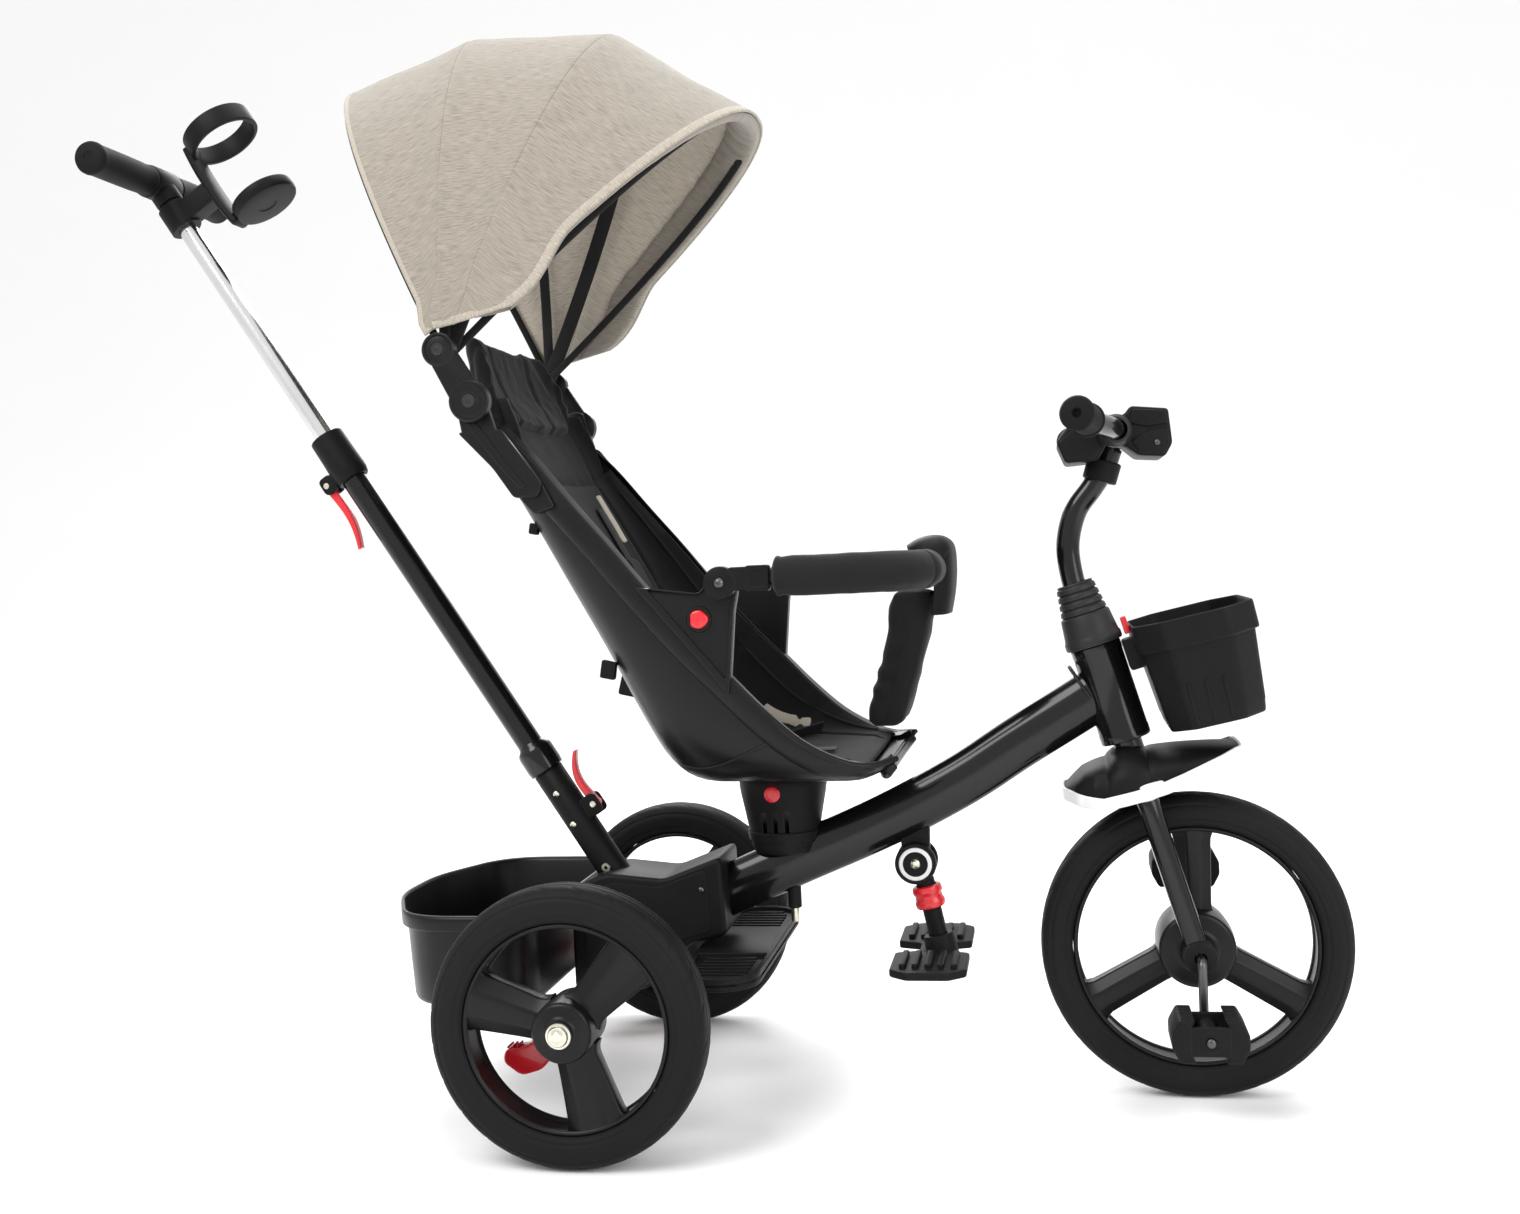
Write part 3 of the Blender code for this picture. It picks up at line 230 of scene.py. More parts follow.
class Shader:
    """A material under construction, with the few patterns that the finishes share."""

    def __init__(self, name):
        self.material = bpy.data.materials.new(name)
        self.material.use_nodes = True
        self.tree = self.material.node_tree
        self.base = self.tree.nodes["Principled BSDF"]
        self.start = Wire(self.tree)
        self.place = self.start.node("ShaderNodeTexCoord", output="Object")

    def noise(self, scale, detail=3.0, rough=0.5, vector=None):
        inputs = {"Vector": vector or self.place, "Scale": scale, "Detail": detail,
                  "Roughness": rough}
        return self.start.node("ShaderNodeTexNoise", {}, inputs, "Fac")

    def stretched(self, scales, vector=None):
        inputs = {"Vector": vector or self.place, "Scale": scales}
        return self.start.node("ShaderNodeMapping", {}, inputs)

    def part(self, vector=None):
        """The three coordinates of a vector, each as a Wire."""
        split = self.tree.nodes.new("ShaderNodeSeparateXYZ")
        feed(self.tree, split.inputs[0], vector or self.place)
        return [Wire(self.tree, split.outputs[i]) for i in range(3)]

    def attribute(self, name, output="Vector"):
        return self.start.node("ShaderNodeAttribute", {"attribute_name": name}, {}, output)

    def mix(self, share, first, second):
        inputs = {"Factor": share, "A": first, "B": second}
        made = self.tree.nodes.new("ShaderNodeMix")
        made.data_type = "RGBA"
        feed(self.tree, made.inputs[0], inputs["Factor"])
        feed(self.tree, made.inputs[6], inputs["A"])
        feed(self.tree, made.inputs[7], inputs["B"])
        return Wire(self.tree, made.outputs[2])

    def bump(self, height, strength, distance):
        inputs = {"Height": height, "Strength": strength, "Distance": distance}
        return self.start.node("ShaderNodeBump", {}, inputs)

    def edges(self, reach=0.0015):
        """About 1 on worn edges and 0 on flats, from the bevelled and true normals."""
        bevel = self.start.node("ShaderNodeBevel", {"samples": 4}, {"Radius": reach})
        true = self.start.node("ShaderNodeNewGeometry", output="Normal")
        same = self.start.node("ShaderNodeVectorMath", {"operation": "DOT_PRODUCT"},
                               {0: bevel, 1: true}, "Value")
        return ((1.0 - same) * 9.0).clamp()

    def done(self, colour, rough, normal=None, metal=0.0, coat=0.0, **constants):
        """Drive the varying inputs and set the constants."""
        feed(self.tree, self.base.inputs["Base Color"], colour)
        feed(self.tree, self.base.inputs["Roughness"], rough)
        feed(self.tree, self.base.inputs["Metallic"], metal)
        feed(self.tree, self.base.inputs["Coat Weight"], coat)
        if normal is not None:
            feed(self.tree, self.base.inputs["Normal"], normal)
        for key, value in constants.items():
            feed(self.tree, self.base.inputs[key.replace("_", " ")], value)
        return self.material


# ---------------------------------------------------------------- materials
def gloss_paint():
    """Black powder coat with a clear, faintly rippled top."""
    s = Shader("frame_paint")
    cloud = s.noise(9.0, 2.0)
    ripple = s.noise(420.0, 2.0)
    colour = s.mix(cloud, (0.0030, 0.0030, 0.0034), (0.0055, 0.0055, 0.0060))
    return s.done(colour, cloud * 0.06 + 0.14, s.bump(ripple, 0.05, 0.0004), coat=0.22,
                  Coat_Roughness=0.05, Specular_IOR_Level=0.24)


def moulded(name, low, high, rough, grain, depth, specular):
    """Injection-moulded plastic: fine spark grain, slight clouding and paler worn edges."""
    s = Shader(name)
    cloud = s.noise(14.0, 3.0)
    fine = s.noise(grain, 4.0, 0.65)
    worn = s.edges()
    body = s.mix(cloud, low, high)
    edge = tuple(min(1.0, c * 1.9 + 0.004) for c in high)
    colour = s.mix(worn * 0.5, body, edge)
    return s.done(colour, fine * 0.10 + cloud * 0.06 + rough, s.bump(fine, 0.16, depth),
                  Specular_IOR_Level=specular)


def tyre_foam():
    """Matt foam rubber with a fine pebbled skin and a clouded tone."""
    s = Shader("tyre_foam")
    fine = s.noise(900.0, 4.0, 0.7)
    cloud = s.noise(7.0, 3.0)
    colour = s.mix(cloud, (0.0065, 0.0065, 0.0068), (0.0110, 0.0110, 0.0114))
    return s.done(colour, fine * 0.12 + 0.50, s.bump(fine, 0.22, 0.0004),
                  Specular_IOR_Level=0.09)


def grip_rubber():
    """Soft rubber with fine rings of texture."""
    s = Shader("grip_rubber")
    fine = s.noise(1500.0, 3.0, 0.7)
    cloud = s.noise(20.0, 2.0)
    colour = s.mix(cloud, (0.0050, 0.0050, 0.0053), (0.0095, 0.0095, 0.0100))
    return s.done(colour, fine * 0.15 + 0.5, s.bump(fine, 0.3, 0.0003), Specular_IOR_Level=0.08)


def glossy(name, low, high, rough=0.22):
    s = Shader(name)
    cloud = s.noise(24.0, 2.0)
    fine = s.noise(1300.0, 2.0)
    worn = s.edges(0.001)
    pale = tuple(min(1.0, c * 1.25 + 0.03) for c in high)
    colour = s.mix(worn * 0.4, s.mix(cloud, low, high), pale)
    return s.done(colour, cloud * 0.10 + rough, s.bump(fine, 0.06, 0.0003), coat=0.2,
                  Coat_Roughness=0.12)


def chrome():
    """Polished tube with faint lengthwise drawing marks."""
    s = Shader("chrome_tube")
    marks = s.noise(600.0, 2.0, 0.6, s.stretched((1.0, 1.0, 0.05)))
    cloud = s.noise(12.0, 2.0)
    colour = s.mix(cloud, (0.66, 0.66, 0.67), (0.80, 0.80, 0.81))
    return s.done(colour, marks * 0.10 + 0.13, s.bump(marks, 0.05, 0.0003), metal=1.0)


def zinc():
    """Yellow-tinged zinc plating."""
    s = Shader("zinc")
    cloud = s.noise(160.0, 3.0)
    fine = s.noise(1800.0, 3.0)
    colour = s.mix(cloud, (0.52, 0.50, 0.44), (0.74, 0.71, 0.60))
    return s.done(colour, cloud * 0.18 + 0.2, s.bump(fine, 0.12, 0.0002), metal=1.0)


def dark_steel():
    s = Shader("dark_steel")
    cloud = s.noise(60.0, 3.0)
    fine = s.noise(900.0, 3.0)
    colour = s.mix(cloud, (0.05, 0.05, 0.052), (0.14, 0.14, 0.145))
    return s.done(colour, cloud * 0.15 + 0.28, s.bump(fine, 0.1, 0.0003), metal=1.0)


def woven(name, low, high, thread, rough=0.86, sheen=0.10, depth=0.0004):
    """Plain weave: two sets of threads crossing, drawn in space so it needs no unwrapping."""
    s = Shader(name)
    x, y, z = s.part()
    turn = 2.0 * math.pi / thread
    across = ((y * turn).sin() * ((x + z) * turn).sin()) * 0.5 + 0.5
    slub = s.noise(260.0, 4.0, 0.65)
    cloud = s.noise(11.0, 3.0)
    height = across * 0.6 + slub * 0.6
    colour = s.mix((cloud * 0.5 + slub * 0.5).clamp(), low, high)
    return s.done(colour, slub * 0.1 + rough, s.bump(height, 0.35, depth),
                  Sheen_Weight=sheen, Sheen_Roughness=0.5, Specular_IOR_Level=0.12)


def linen(name, shade=1.0):
    """Melange canvas: short darker and paler yarns lying along both thread directions."""
    s = Shader(name)
    cloth = s.attribute("cloth")
    u, v, _ = s.part(cloth)
    along = s.noise(1.0, 3.0, 0.6, s.stretched((1250.0, 80.0, 1.0), cloth))
    upright = s.noise(1.0, 3.0, 0.6, s.stretched((140.0, 1300.0, 1.0), cloth))
    broad = s.noise(1.0, 2.0, 0.5, s.stretched((60.0, 20.0, 1.0), cloth))
    turn = 2.0 * math.pi / 0.0011
    weave = (u * turn).sin() * (v * turn).sin() * 0.5 + 0.5
    streak = ((along - 0.47) * 5.5 + 0.42).clamp()
    fleck = ((upright - 0.5) * 5.0 + 0.5).clamp()
    thread = colours().linen
    pale = tuple(c * shade * 1.24 for c in thread)
    mid = tuple(c * shade * 0.95 for c in thread)
    dark = tuple(c * shade * 0.56 for c in thread)
    first = s.mix(streak, dark, pale)
    colour = s.mix(fleck * 0.45, first, mid)
    colour = s.mix((broad * 0.5).clamp(), colour, pale)
    seam = s.attribute("seam", "Fac")
    colour = s.mix(seam * 0.80, colour, tuple(c * 0.16 for c in mid))
    height = weave * 0.5 + along * 0.6 + upright * 0.4
    return s.done(colour, along * 0.08 + 0.86, s.bump(height, 0.32, 0.0005),
                  Sheen_Weight=0.25, Sheen_Roughness=0.6, Specular_IOR_Level=0.2)


def webbing():
    """Harness tape: ribs across a narrow woven band."""
    s = Shader("webbing")
    ribs = s.noise(1.0, 2.0, 0.5, s.stretched((1800.0, 500.0, 1800.0)))
    cloud = s.noise(30.0, 2.0)
    colour = s.mix(cloud, (0.0060, 0.0060, 0.0065), (0.0125, 0.0125, 0.0130))
    return s.done(colour, ribs * 0.15 + 0.62, s.bump(ribs, 0.5, 0.0005), Sheen_Weight=0.08,
                  Specular_IOR_Level=0.15)


def mesh_cloth():
    """Open black mesh, its holes cut by alpha."""
    s = Shader("mesh_cloth")
    _, y, z = s.part()
    turn = 2.0 * math.pi / 0.0026
    holes = ((y * turn).sin() * (z * turn).sin()).abs()
    cover = (1.35 - holes * 1.3).clamp()
    colour = s.mix(holes, (0.010, 0.010, 0.011), (0.020, 0.020, 0.021))
    return s.done(colour, holes * 0.1 + 0.75, Alpha=cover)


def floor_finish():
    s = Shader("floor")
    cloud = s.noise(1.3, 2.0)
    colour = s.mix(cloud, (0.945, 0.945, 0.942), (0.965, 0.965, 0.962))
    return s.done(colour, cloud * 0.1 + 0.62, Specular_IOR_Level=0.2)


BLACKS = {
    "matt": ("moulded_black", (0.0042, 0.0042, 0.0045), (0.0078, 0.0078, 0.0082), 0.38, 1100.0,
             0.0005, 0.11),
    "satin": ("satin_black", (0.0032, 0.0032, 0.0035), (0.0060, 0.0060, 0.0064), 0.25, 1500.0,
              0.0003, 0.20),
    "coarse": ("coarse_black", (0.0050, 0.0050, 0.0053), (0.0092, 0.0092, 0.0096), 0.44, 700.0,
               0.0007, 0.10),
    "grey": ("grey_moulding", (0.015, 0.015, 0.016), (0.024, 0.024, 0.025), 0.36, 1200.0,
             0.0004, 0.17),
}
RECIPES = {
    "paint": gloss_paint,
    "tyre": tyre_foam,
    "rubber": grip_rubber,
    "red": lambda: glossy("red_plastic", tuple(c * 0.9 for c in colours().red),
                          tuple(c * 1.1 for c in colours().red)),
    # white plastic at the grey trim colour: painted shade on the fender band, flap and footrest
    # rings
    "white": lambda: glossy("white_plastic", tuple(c * 0.95 for c in colours().trim),
                            tuple(c * 1.02 for c in colours().trim), 0.3),
    "chrome": chrome,
    "zinc": zinc,
    "dark_steel": dark_steel,
    "weave": lambda: woven("black_weave", (0.0050, 0.0050, 0.0056), (0.0110, 0.0110, 0.0118),
                           0.0013),
    "foam": lambda: woven("foam_sleeve", (0.0058, 0.0058, 0.0062), (0.0115, 0.0115, 0.0120),
                          0.0022, 0.72, 0.08, 0.0006),
    "linen": lambda: linen("linen_canvas"),
    # canvas at half brightness: painted shade for the hood's inner face and inner hem; the stitches
    # take it as darker thread
    "shade_and_thread": lambda: linen("linen_shade_and_thread", 0.50),
    # canvas darkened to 0.70: painted shade on the hood's bound edges; the liner's side strips
    # reuse it
    "binding": lambda: linen("linen_binding", 0.70),
    "dark_tape": lambda: woven("dark_tape", (0.05, 0.045, 0.04), (0.10, 0.09, 0.08), 0.0012),
    "webbing": webbing,
    "mesh": mesh_cloth,
}
made_materials = {}


def finish_of(key):
    """A material by its short name, made the first time it is asked for."""
    if key not in made_materials:
        made_materials[key] = moulded(*BLACKS[key]) if key in BLACKS else RECIPES[key]()
    return made_materials[key]


# ---------------------------------------------------------------- mesh helpers
def mesh_object(name, verts, faces):
    mesh = bpy.data.meshes.new(name)
    mesh.from_pydata([tuple(v) for v in verts], [], faces)
    mesh.validate()
    made = bpy.data.objects.new(name, mesh)
    bpy.context.scene.collection.objects.link(made)
    return made


def tidy_mesh(made, merge=1e-6):
    """Weld doubles and turn every face outwards."""
    work = bmesh.new()
    work.from_mesh(made.data)
    bmesh.ops.remove_doubles(work, verts=work.verts, dist=merge)
    bmesh.ops.dissolve_degenerate(work, edges=work.edges, dist=1e-7)
    bmesh.ops.recalc_face_normals(work, faces=work.faces)
    work.to_mesh(made.data)
    work.free()
    return made


def stitch(rows, closed_rows=False, closed_columns=False):
    """Quads between neighbouring rows of equally many points."""
    width, count = len(rows[0]), len(rows)
    faces = []
    for r in range(count if closed_rows else count - 1):
        for c in range(width if closed_columns else width - 1):
            a, b = r * width, (r + 1) % count * width
            d = (c + 1) % width
            faces.append((a + c, a + d, b + d, b + c))
    return [p for row in rows for p in row], faces


def lathe(name, profile, place, axis, steps=ROUND, ring=False):
    """Turn an (r, z) profile about an axis; an open profile starts and ends on it."""
    spin = Vector((0, 0, 1)).rotation_difference(Vector(axis)).to_matrix()
    rows = []
    for i in range(steps):
        a = 2 * math.pi * i / steps
        rows.append([Vector(place) + spin @ Vector((r * math.cos(a), r * math.sin(a), z))
                     for r, z in profile])
    verts, faces = stitch(rows, closed_rows=True, closed_columns=ring)
    return tidy_mesh(mesh_object(name, verts, faces))


def circle(radius, sides=28, squash=1.0):
    return [(radius * squash * math.cos(2 * math.pi * i / sides),
             radius * math.sin(2 * math.pi * i / sides)) for i in range(sides)]


def strap_section(width, thick, corner=4):
    """Flat band with round edges."""
    half, r = width / 2, thick / 2
    loop = [(half - r + r * math.cos(a), r * math.sin(a))
            for a in np.linspace(-math.pi / 2, math.pi / 2, corner + 1)]
    return loop + [(-p, -q) for p, q in loop]


def sweep(name, points, section, up=ACROSS, scales=None, caps=True, ends=0.0):
    """Carry a section along a path; its first coordinate lies along up, square to the path."""
    points = [Vector(p) for p in points]
    scales = list(scales) if scales is not None else [1.0] * len(points)
    if ends:
        points, scales = round_ends(points, scales, ends)
    rows = []
    for i, point in enumerate(points):
        tangent = points[min(i + 1, len(points) - 1)] - points[max(i - 1, 0)]
        tangent.normalize()
        side = (up - tangent * up.dot(tangent)).normalized()
        other = tangent.cross(side)
        rows.append([point + (side * a + other * b) * scales[i] for a, b in section])
    verts, faces = stitch(rows, closed_columns=True)
    if caps:
        faces.append(tuple(range(len(section))))
        last = (len(rows) - 1) * len(section)
        faces.append(tuple(range(last + len(section) - 1, last - 1, -1)))
    return tidy_mesh(mesh_object(name, verts, faces))


def round_ends(points, scales, reach, steps=5):
    """Draw both ends of a path in so that they close as domes."""
    def dome(end, inner, scale):
        along = (end - inner).normalized()
        ring = []
        for i in range(steps):
            a = math.pi / 2 * (i + 1) / (steps + 0.35)
            ring.append((end + along * reach * (math.sin(a) - 1), scale * math.cos(a)))
        return ring
    head = dome(points[0], points[1], scales[0])
    tail = dome(points[-1], points[-2], scales[-1])
    first = points[0] + (points[1] - points[0]).normalized() * reach
    final = points[-1] + (points[-2] - points[-1]).normalized() * reach
    path = [p for p, _ in reversed(head)] + [first, *points[1:-1], final] + [p for p, _ in tail]
    sizes = [s for _, s in reversed(head)] + scales[:1] + scales[1:-1] + scales[-1:]
    return path, sizes + [s for _, s in tail]


def outline_solid(name, loops, thickness, place, bevel=0.001, upright=True, lean=0.0):
    """Extruded outline with holes and rounded edges; upright ones lie across Y."""
    curve = bpy.data.curves.new(name, "CURVE")
    curve.dimensions = "2D"
    curve.fill_mode = "BOTH"
    curve.extrude = thickness / 2 - bevel
    curve.bevel_depth = bevel
    curve.bevel_resolution = 2
    curve.offset = -bevel
    for loop in loops:
        spline = curve.splines.new("POLY")
        spline.points.add(len(loop) - 1)
        for target, (u, v) in zip(spline.points, loop):
            target.co = (u, v, 0.0, 1.0)
        spline.use_cyclic_u = True
    drawn = bpy.data.objects.new(name, curve)
    bpy.context.scene.collection.objects.link(drawn)
    tilt = Matrix.Rotation(math.pi / 2, 4, "X") if upright else Matrix.Identity(4)
    drawn.matrix_world = Matrix.Translation(place) @ Matrix.Rotation(lean, 4, "Y") @ tilt
    bpy.context.view_layer.update()
    ready = drawn.evaluated_get(bpy.context.evaluated_depsgraph_get())
    mesh = bpy.data.meshes.new_from_object(ready)
    mesh.transform(drawn.matrix_world)
    bpy.data.objects.remove(drawn, do_unlink=True)
    made = bpy.data.objects.new(name, mesh)
    bpy.context.scene.collection.objects.link(made)
    return tidy_mesh(made)


def arc(centre, radius, start, stop, count):
    steps = np.radians(np.linspace(start, stop, count))
    return [(centre[0] + radius * math.cos(a), centre[1] + radius * math.sin(a)) for a in steps]


def smooth(points, spans=6, closed=False):
    """Catmull-Rom curve through points of any dimension."""
    points = [Vector(p) for p in points]
    if closed:
        padded = [points[-1], *points, points[0], points[1]]
    else:
        padded = [2 * points[0] - points[1], *points, 2 * points[-1] - points[-2]]
    curve = []
    for a, b, c, d in zip(padded, padded[1:], padded[2:], padded[3:]):
        for i in range(spans):
            t = i / spans
            curve.append(0.5 * (2 * b + (c - a) * t + (2 * a - 5 * b + 4 * c - d) * t * t
                                + (3 * b - 3 * c + d - a) * t ** 3))
    return curve if closed else [*curve, points[-1]]


def rounded(loop, radius, steps=5):
    """Polygon with each corner replaced by a quadratic fillet."""
    points = [Vector(p) for p in loop]
    made = []
    for i, point in enumerate(points):
        before, after = points[i - 1], points[(i + 1) % len(points)]
        reach = min(radius, (before - point).length * 0.45, (after - point).length * 0.45)
        first = point + (before - point).normalized() * reach
        last = point + (after - point).normalized() * reach
        for k in range(steps + 1):
            t = k / steps
            made.append(tuple(first * (1 - t) ** 2 + point * 2 * t * (1 - t) + last * t * t))
    return made


def combine(thing, other, operation="DIFFERENCE"):
    """Boolean, applied at once."""
    step = thing.modifiers.new("boolean", "BOOLEAN")
    step.operation, step.solver, step.object = operation, "EXACT", other
    apply_modifiers(thing)
    bpy.data.objects.remove(other, do_unlink=True)
    return thing


def apply_modifiers(thing):
    bpy.context.view_layer.update()
    ready = thing.evaluated_get(bpy.context.evaluated_depsgraph_get())
    mesh = bpy.data.meshes.new_from_object(ready)
    thing.modifiers.clear()
    thing.data = mesh
    return thing


def soften(thing, width=0.0008, segments=2, angle=35.0):
    edge = thing.modifiers.new("edges", "BEVEL")
    edge.width, edge.segments = width, segments
    edge.limit_method, edge.angle_limit = "ANGLE", math.radians(angle)
    edge.harden_normals = False
    return thing


def merged(name, things):
    """Several meshes as one object."""
    work = bmesh.new()
    for thing in things:
        mesh = apply_modifiers(thing).data
        mesh.transform(thing.matrix_world)
        work.from_mesh(mesh)
        bpy.data.objects.remove(thing, do_unlink=True)
    mesh = bpy.data.meshes.new(name)
    work.to_mesh(mesh)
    work.free()
    made = bpy.data.objects.new(name, mesh)
    bpy.context.scene.collection.objects.link(made)
    return made


def dress(thing, finish, body, replaces=(), bevel=0.0, angle=35.0):
    """Give a finished piece its material, smoothing and body, and hide the parts it replaces."""
    if bevel:
        soften(thing, bevel)
        apply_modifiers(thing)
    thing.data.materials.clear()
    thing.data.materials.append(finish_of(finish))
    thing.data.shade_smooth()
    thing.data.set_sharp_from_angle(angle=math.radians(angle))
    if body:
        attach(thing, body)
    if replaces:
        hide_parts(*([replaces] if isinstance(replaces, str) else replaces))
    return thing


def screw_head(name, place, axis, radius, finish, body):
    """Pan head with a hexagonal recess."""
    profile = [(0, radius * 0.62), (radius * 0.35, radius * 0.60), (radius * 0.75, radius * 0.42),
               (radius * 0.96, radius * 0.14), (radius, 0.0), (radius, -radius * 0.3),
               (0, -radius * 0.3)]
    head = lathe(name, profile, place, axis, 28)
    spin = Vector((0, 0, 1)).rotation_difference(Vector(axis)).to_matrix().to_4x4()
    work = bmesh.new()
    made = bmesh.ops.create_cone(work, segments=6, radius1=radius * 0.42, radius2=radius * 0.42,
                                 depth=radius * 0.9, cap_ends=True)
    bmesh.ops.translate(work, vec=(0, 0, radius * 0.70), verts=made["verts"])
    mesh = bpy.data.meshes.new("recess")
    work.to_mesh(mesh)
    work.free()
    tool = bpy.data.objects.new("recess", mesh)
    bpy.context.scene.collection.objects.link(tool)
    tool.matrix_world = Matrix.Translation(place) @ spin
    return dress(combine(head, tool), finish, body)


def crease(distance, width):
    return math.exp(-(distance / width) ** 2)


def folds(point, scale, seed=0.0):
    """Slow cloth folds, smooth and repeatable."""
    spot = Vector(point) * scale + Vector((seed, seed * 1.7, -seed))
    return noise.noise(spot) + 0.5 * noise.noise(spot * 2.1)


# ---------------------------------------------------------------- wheels
def tyre(name, node, body, radius, seat, centre):
    """Foam tyre: two sidewall rings and slanting sipes across the shoulders."""
    half = 0.022
    side = smooth([(radius, 0.0), (radius - 0.0003, 0.008), (radius - 0.0022, 0.0145),
                   (radius - 0.0065, 0.0190), (radius - 0.0115, 0.0212),
                   ((radius + seat) / 2, half), (seat + 0.008, 0.0214), (seat + 0.0025, 0.0192),
                   (seat, 0.0165)], 7)
    depth = sizes().tread
    outer = []
    for r, y in side:
        gap = min(abs(r - (radius - 0.0092)), abs(r - (seat + 0.0062)), abs(y - 0.0045) + 0.0002)
        outer.append((r, y - depth * crease(gap, 0.0010)) if r < radius - 0.004 else
                     (r - depth * crease(gap, 0.0010), y))
    loop = [(r, y) for r, y in reversed(outer)] + [(r, -y) for r, y in outer[1:]]
    steps = 288
    made = lathe(name, loop, centre, ACROSS, steps, ring=True)
    repeats = steps // 12
    for vertex in made.data.vertices:
        spot = vertex.co - centre
        reach = math.hypot(spot.x, spot.z)
        if reach > radius - 0.0085 and abs(spot.y) > 0.0055:
            phase = math.atan2(spot.z, spot.x) * repeats / (2 * math.pi) + abs(spot.y) * 38
            gap = abs(phase - round(phase)) * 2 * math.pi * reach / repeats
            fade = min(1.0, (reach - radius + 0.0085) / 0.002)
            scale = 1 - depth * 1.2 * fade * crease(gap, 0.0016) / reach
            vertex.co = centre + Vector((spot.x * scale, spot.y, spot.z * scale))
    return dress(made, "tyre", body, node, angle=60)


def spoke(centre, turn, inner, outer, face_half, widths):
    """Broad box spoke: a raised flat face between two bevels, widening towards the barrel."""
    lateral = (-1.0, -0.97, -0.90, -0.46, -0.42, -0.20, 0.0, 0.20, 0.42, 0.46, 0.90, 0.97, 1.0)
    heights = (0.40, 0.50, 0.56, 0.93, 0.97, 1.0, 1.0, 1.0, 0.97, 0.93, 0.56, 0.50, 0.40)
    rows = []
    for t in np.linspace(0, 1, 18):
        r = inner + (outer - inner) * t
        flare = 0.0050 * max(0.0, 1 - t / 0.16) ** 2 + 0.0050 * max(0.0, (t - 0.86) / 0.14) ** 2
        width = widths[0] + (widths[1] - widths[0]) * t + flare
        high = face_half * (1.0 - 0.12 * math.sin(math.pi * t))
        row = [(s * width, h * high) for s, h in zip(lateral, heights)]
        loop = row + [(s, -h) for s, h in reversed(row)]
        out, side = (math.cos(turn), math.sin(turn)), (-math.sin(turn), math.cos(turn))
        rows.append([centre + Vector((out[0] * r + side[0] * s, h, out[1] * r + side[1] * s))
                     for s, h in loop])
    verts, faces = stitch(rows, closed_columns=True)
    count = len(rows[0])
    faces += [tuple(range(count)), tuple(range(len(verts) - 1, len(verts) - count - 1, -1))]
    return tidy_mesh(mesh_object("spoke", verts, faces))


def rim(name, node, body, opening, seat, centre, hub, hub_half, turn, widths):
    """Barrel with rolled lips, three broad spokes and a stepped hub."""
    side = [(seat - 0.0004, 0.0), (seat - 0.0004, 0.0152), (seat - 0.0012, 0.0165),
            (seat - 0.0026, 0.0170), (opening + 0.0012, 0.0166), (opening + 0.0002, 0.0152),
            (opening + 0.0006, 0.0120), (opening + 0.0020, 0.0105), (opening + 0.0020, 0.0)]
    loop = side + [(r, -y) for r, y in reversed(side[1:-1])]
    pieces = [lathe("barrel", loop, centre, ACROSS, 120, ring=True)]
    pieces += [spoke(centre, math.radians(turn + 120 * k), hub * 0.72, opening + 0.0018, 0.0158,
                     widths) for k in range(3)]
    bore = 0.0056
    face = [(bore, hub_half), (hub * 0.50, hub_half), (hub * 0.54, hub_half - 0.0012),
            (hub * 0.60, hub_half - 0.0022), (hub * 0.86, hub_half - 0.0022),
            (hub * 0.94, hub_half - 0.0030), (hub * 0.985, hub_half - 0.0048),
            (hub, hub_half - 0.0070), (hub * 1.03, 0.004)]
    whole = face + [(r, -y) for r, y in reversed(face)]
    pieces.append(lathe("hub", whole, centre, ACROSS, 72, ring=True))
    return dress(merged(name, pieces), "satin", body, node, angle=40)


def build_wheels():
    for side, word in ((-1, "right"), (1, "left")):
        body = "rear_wheel_" + word
        centre = at(0, side * TRACK / 2, REAR_RADIUS)
        tyre("tyre_rear_" + word, "rear_tyre_" + word, body, REAR_RADIUS, 0.0935, centre)
        rim("wheel_rear_" + word, "rear_rim_" + word, body, 0.0886, 0.0935, centre, 0.027, 0.030,
            45, (0.0175, 0.0262))
        arch = [(0, 0.0022), (0.004, 0.0022), (0.0052, 0.0014), (0.0082, 0.0012),
                (0.0088, 0.0004), (0.0094, -0.0016), (0.0112, -0.0020), (0.0115, -0.0026),
                (0.0115, -0.0052), (0.0046, -0.0052), (0.0046, -0.060), (0, -0.060)]
        bolt = lathe("axle_bolt_" + word, arch, at(0, side * 0.2560, REAR_RADIUS),
                     (0, side, 0), 48)
        dress(bolt, "zinc", "frame", "rear_axle", angle=30)
    tube = [(0, 0.1885), (0.0100, 0.1885), (0.0100, -0.1885), (0, -0.1885)]
    dress(lathe("axle_tube", tube, at(0, 0, REAR_RADIUS), ACROSS, 40), "paint", "frame",
          "rear_axle")
    centre = at(WHEELBASE, 0, FRONT_RADIUS)
    tyre("tyre_front", "front_tyre", "front_wheel", FRONT_RADIUS, 0.114, centre)
    rim("wheel_front", "front_rim", "front_wheel", 0.109, 0.114, centre, 0.0355, 0.034, 90,
        (0.0155, 0.0172))


# ---------------------------------------------------------------- frame
MAIN_PATH = [(0.030, 0.168), (0.095, 0.194), (0.175, 0.228), (0.258, 0.263),
             (0.335, 0.302), (0.394, 0.339), (0.457, 0.377), (0.486, 0.3955)]


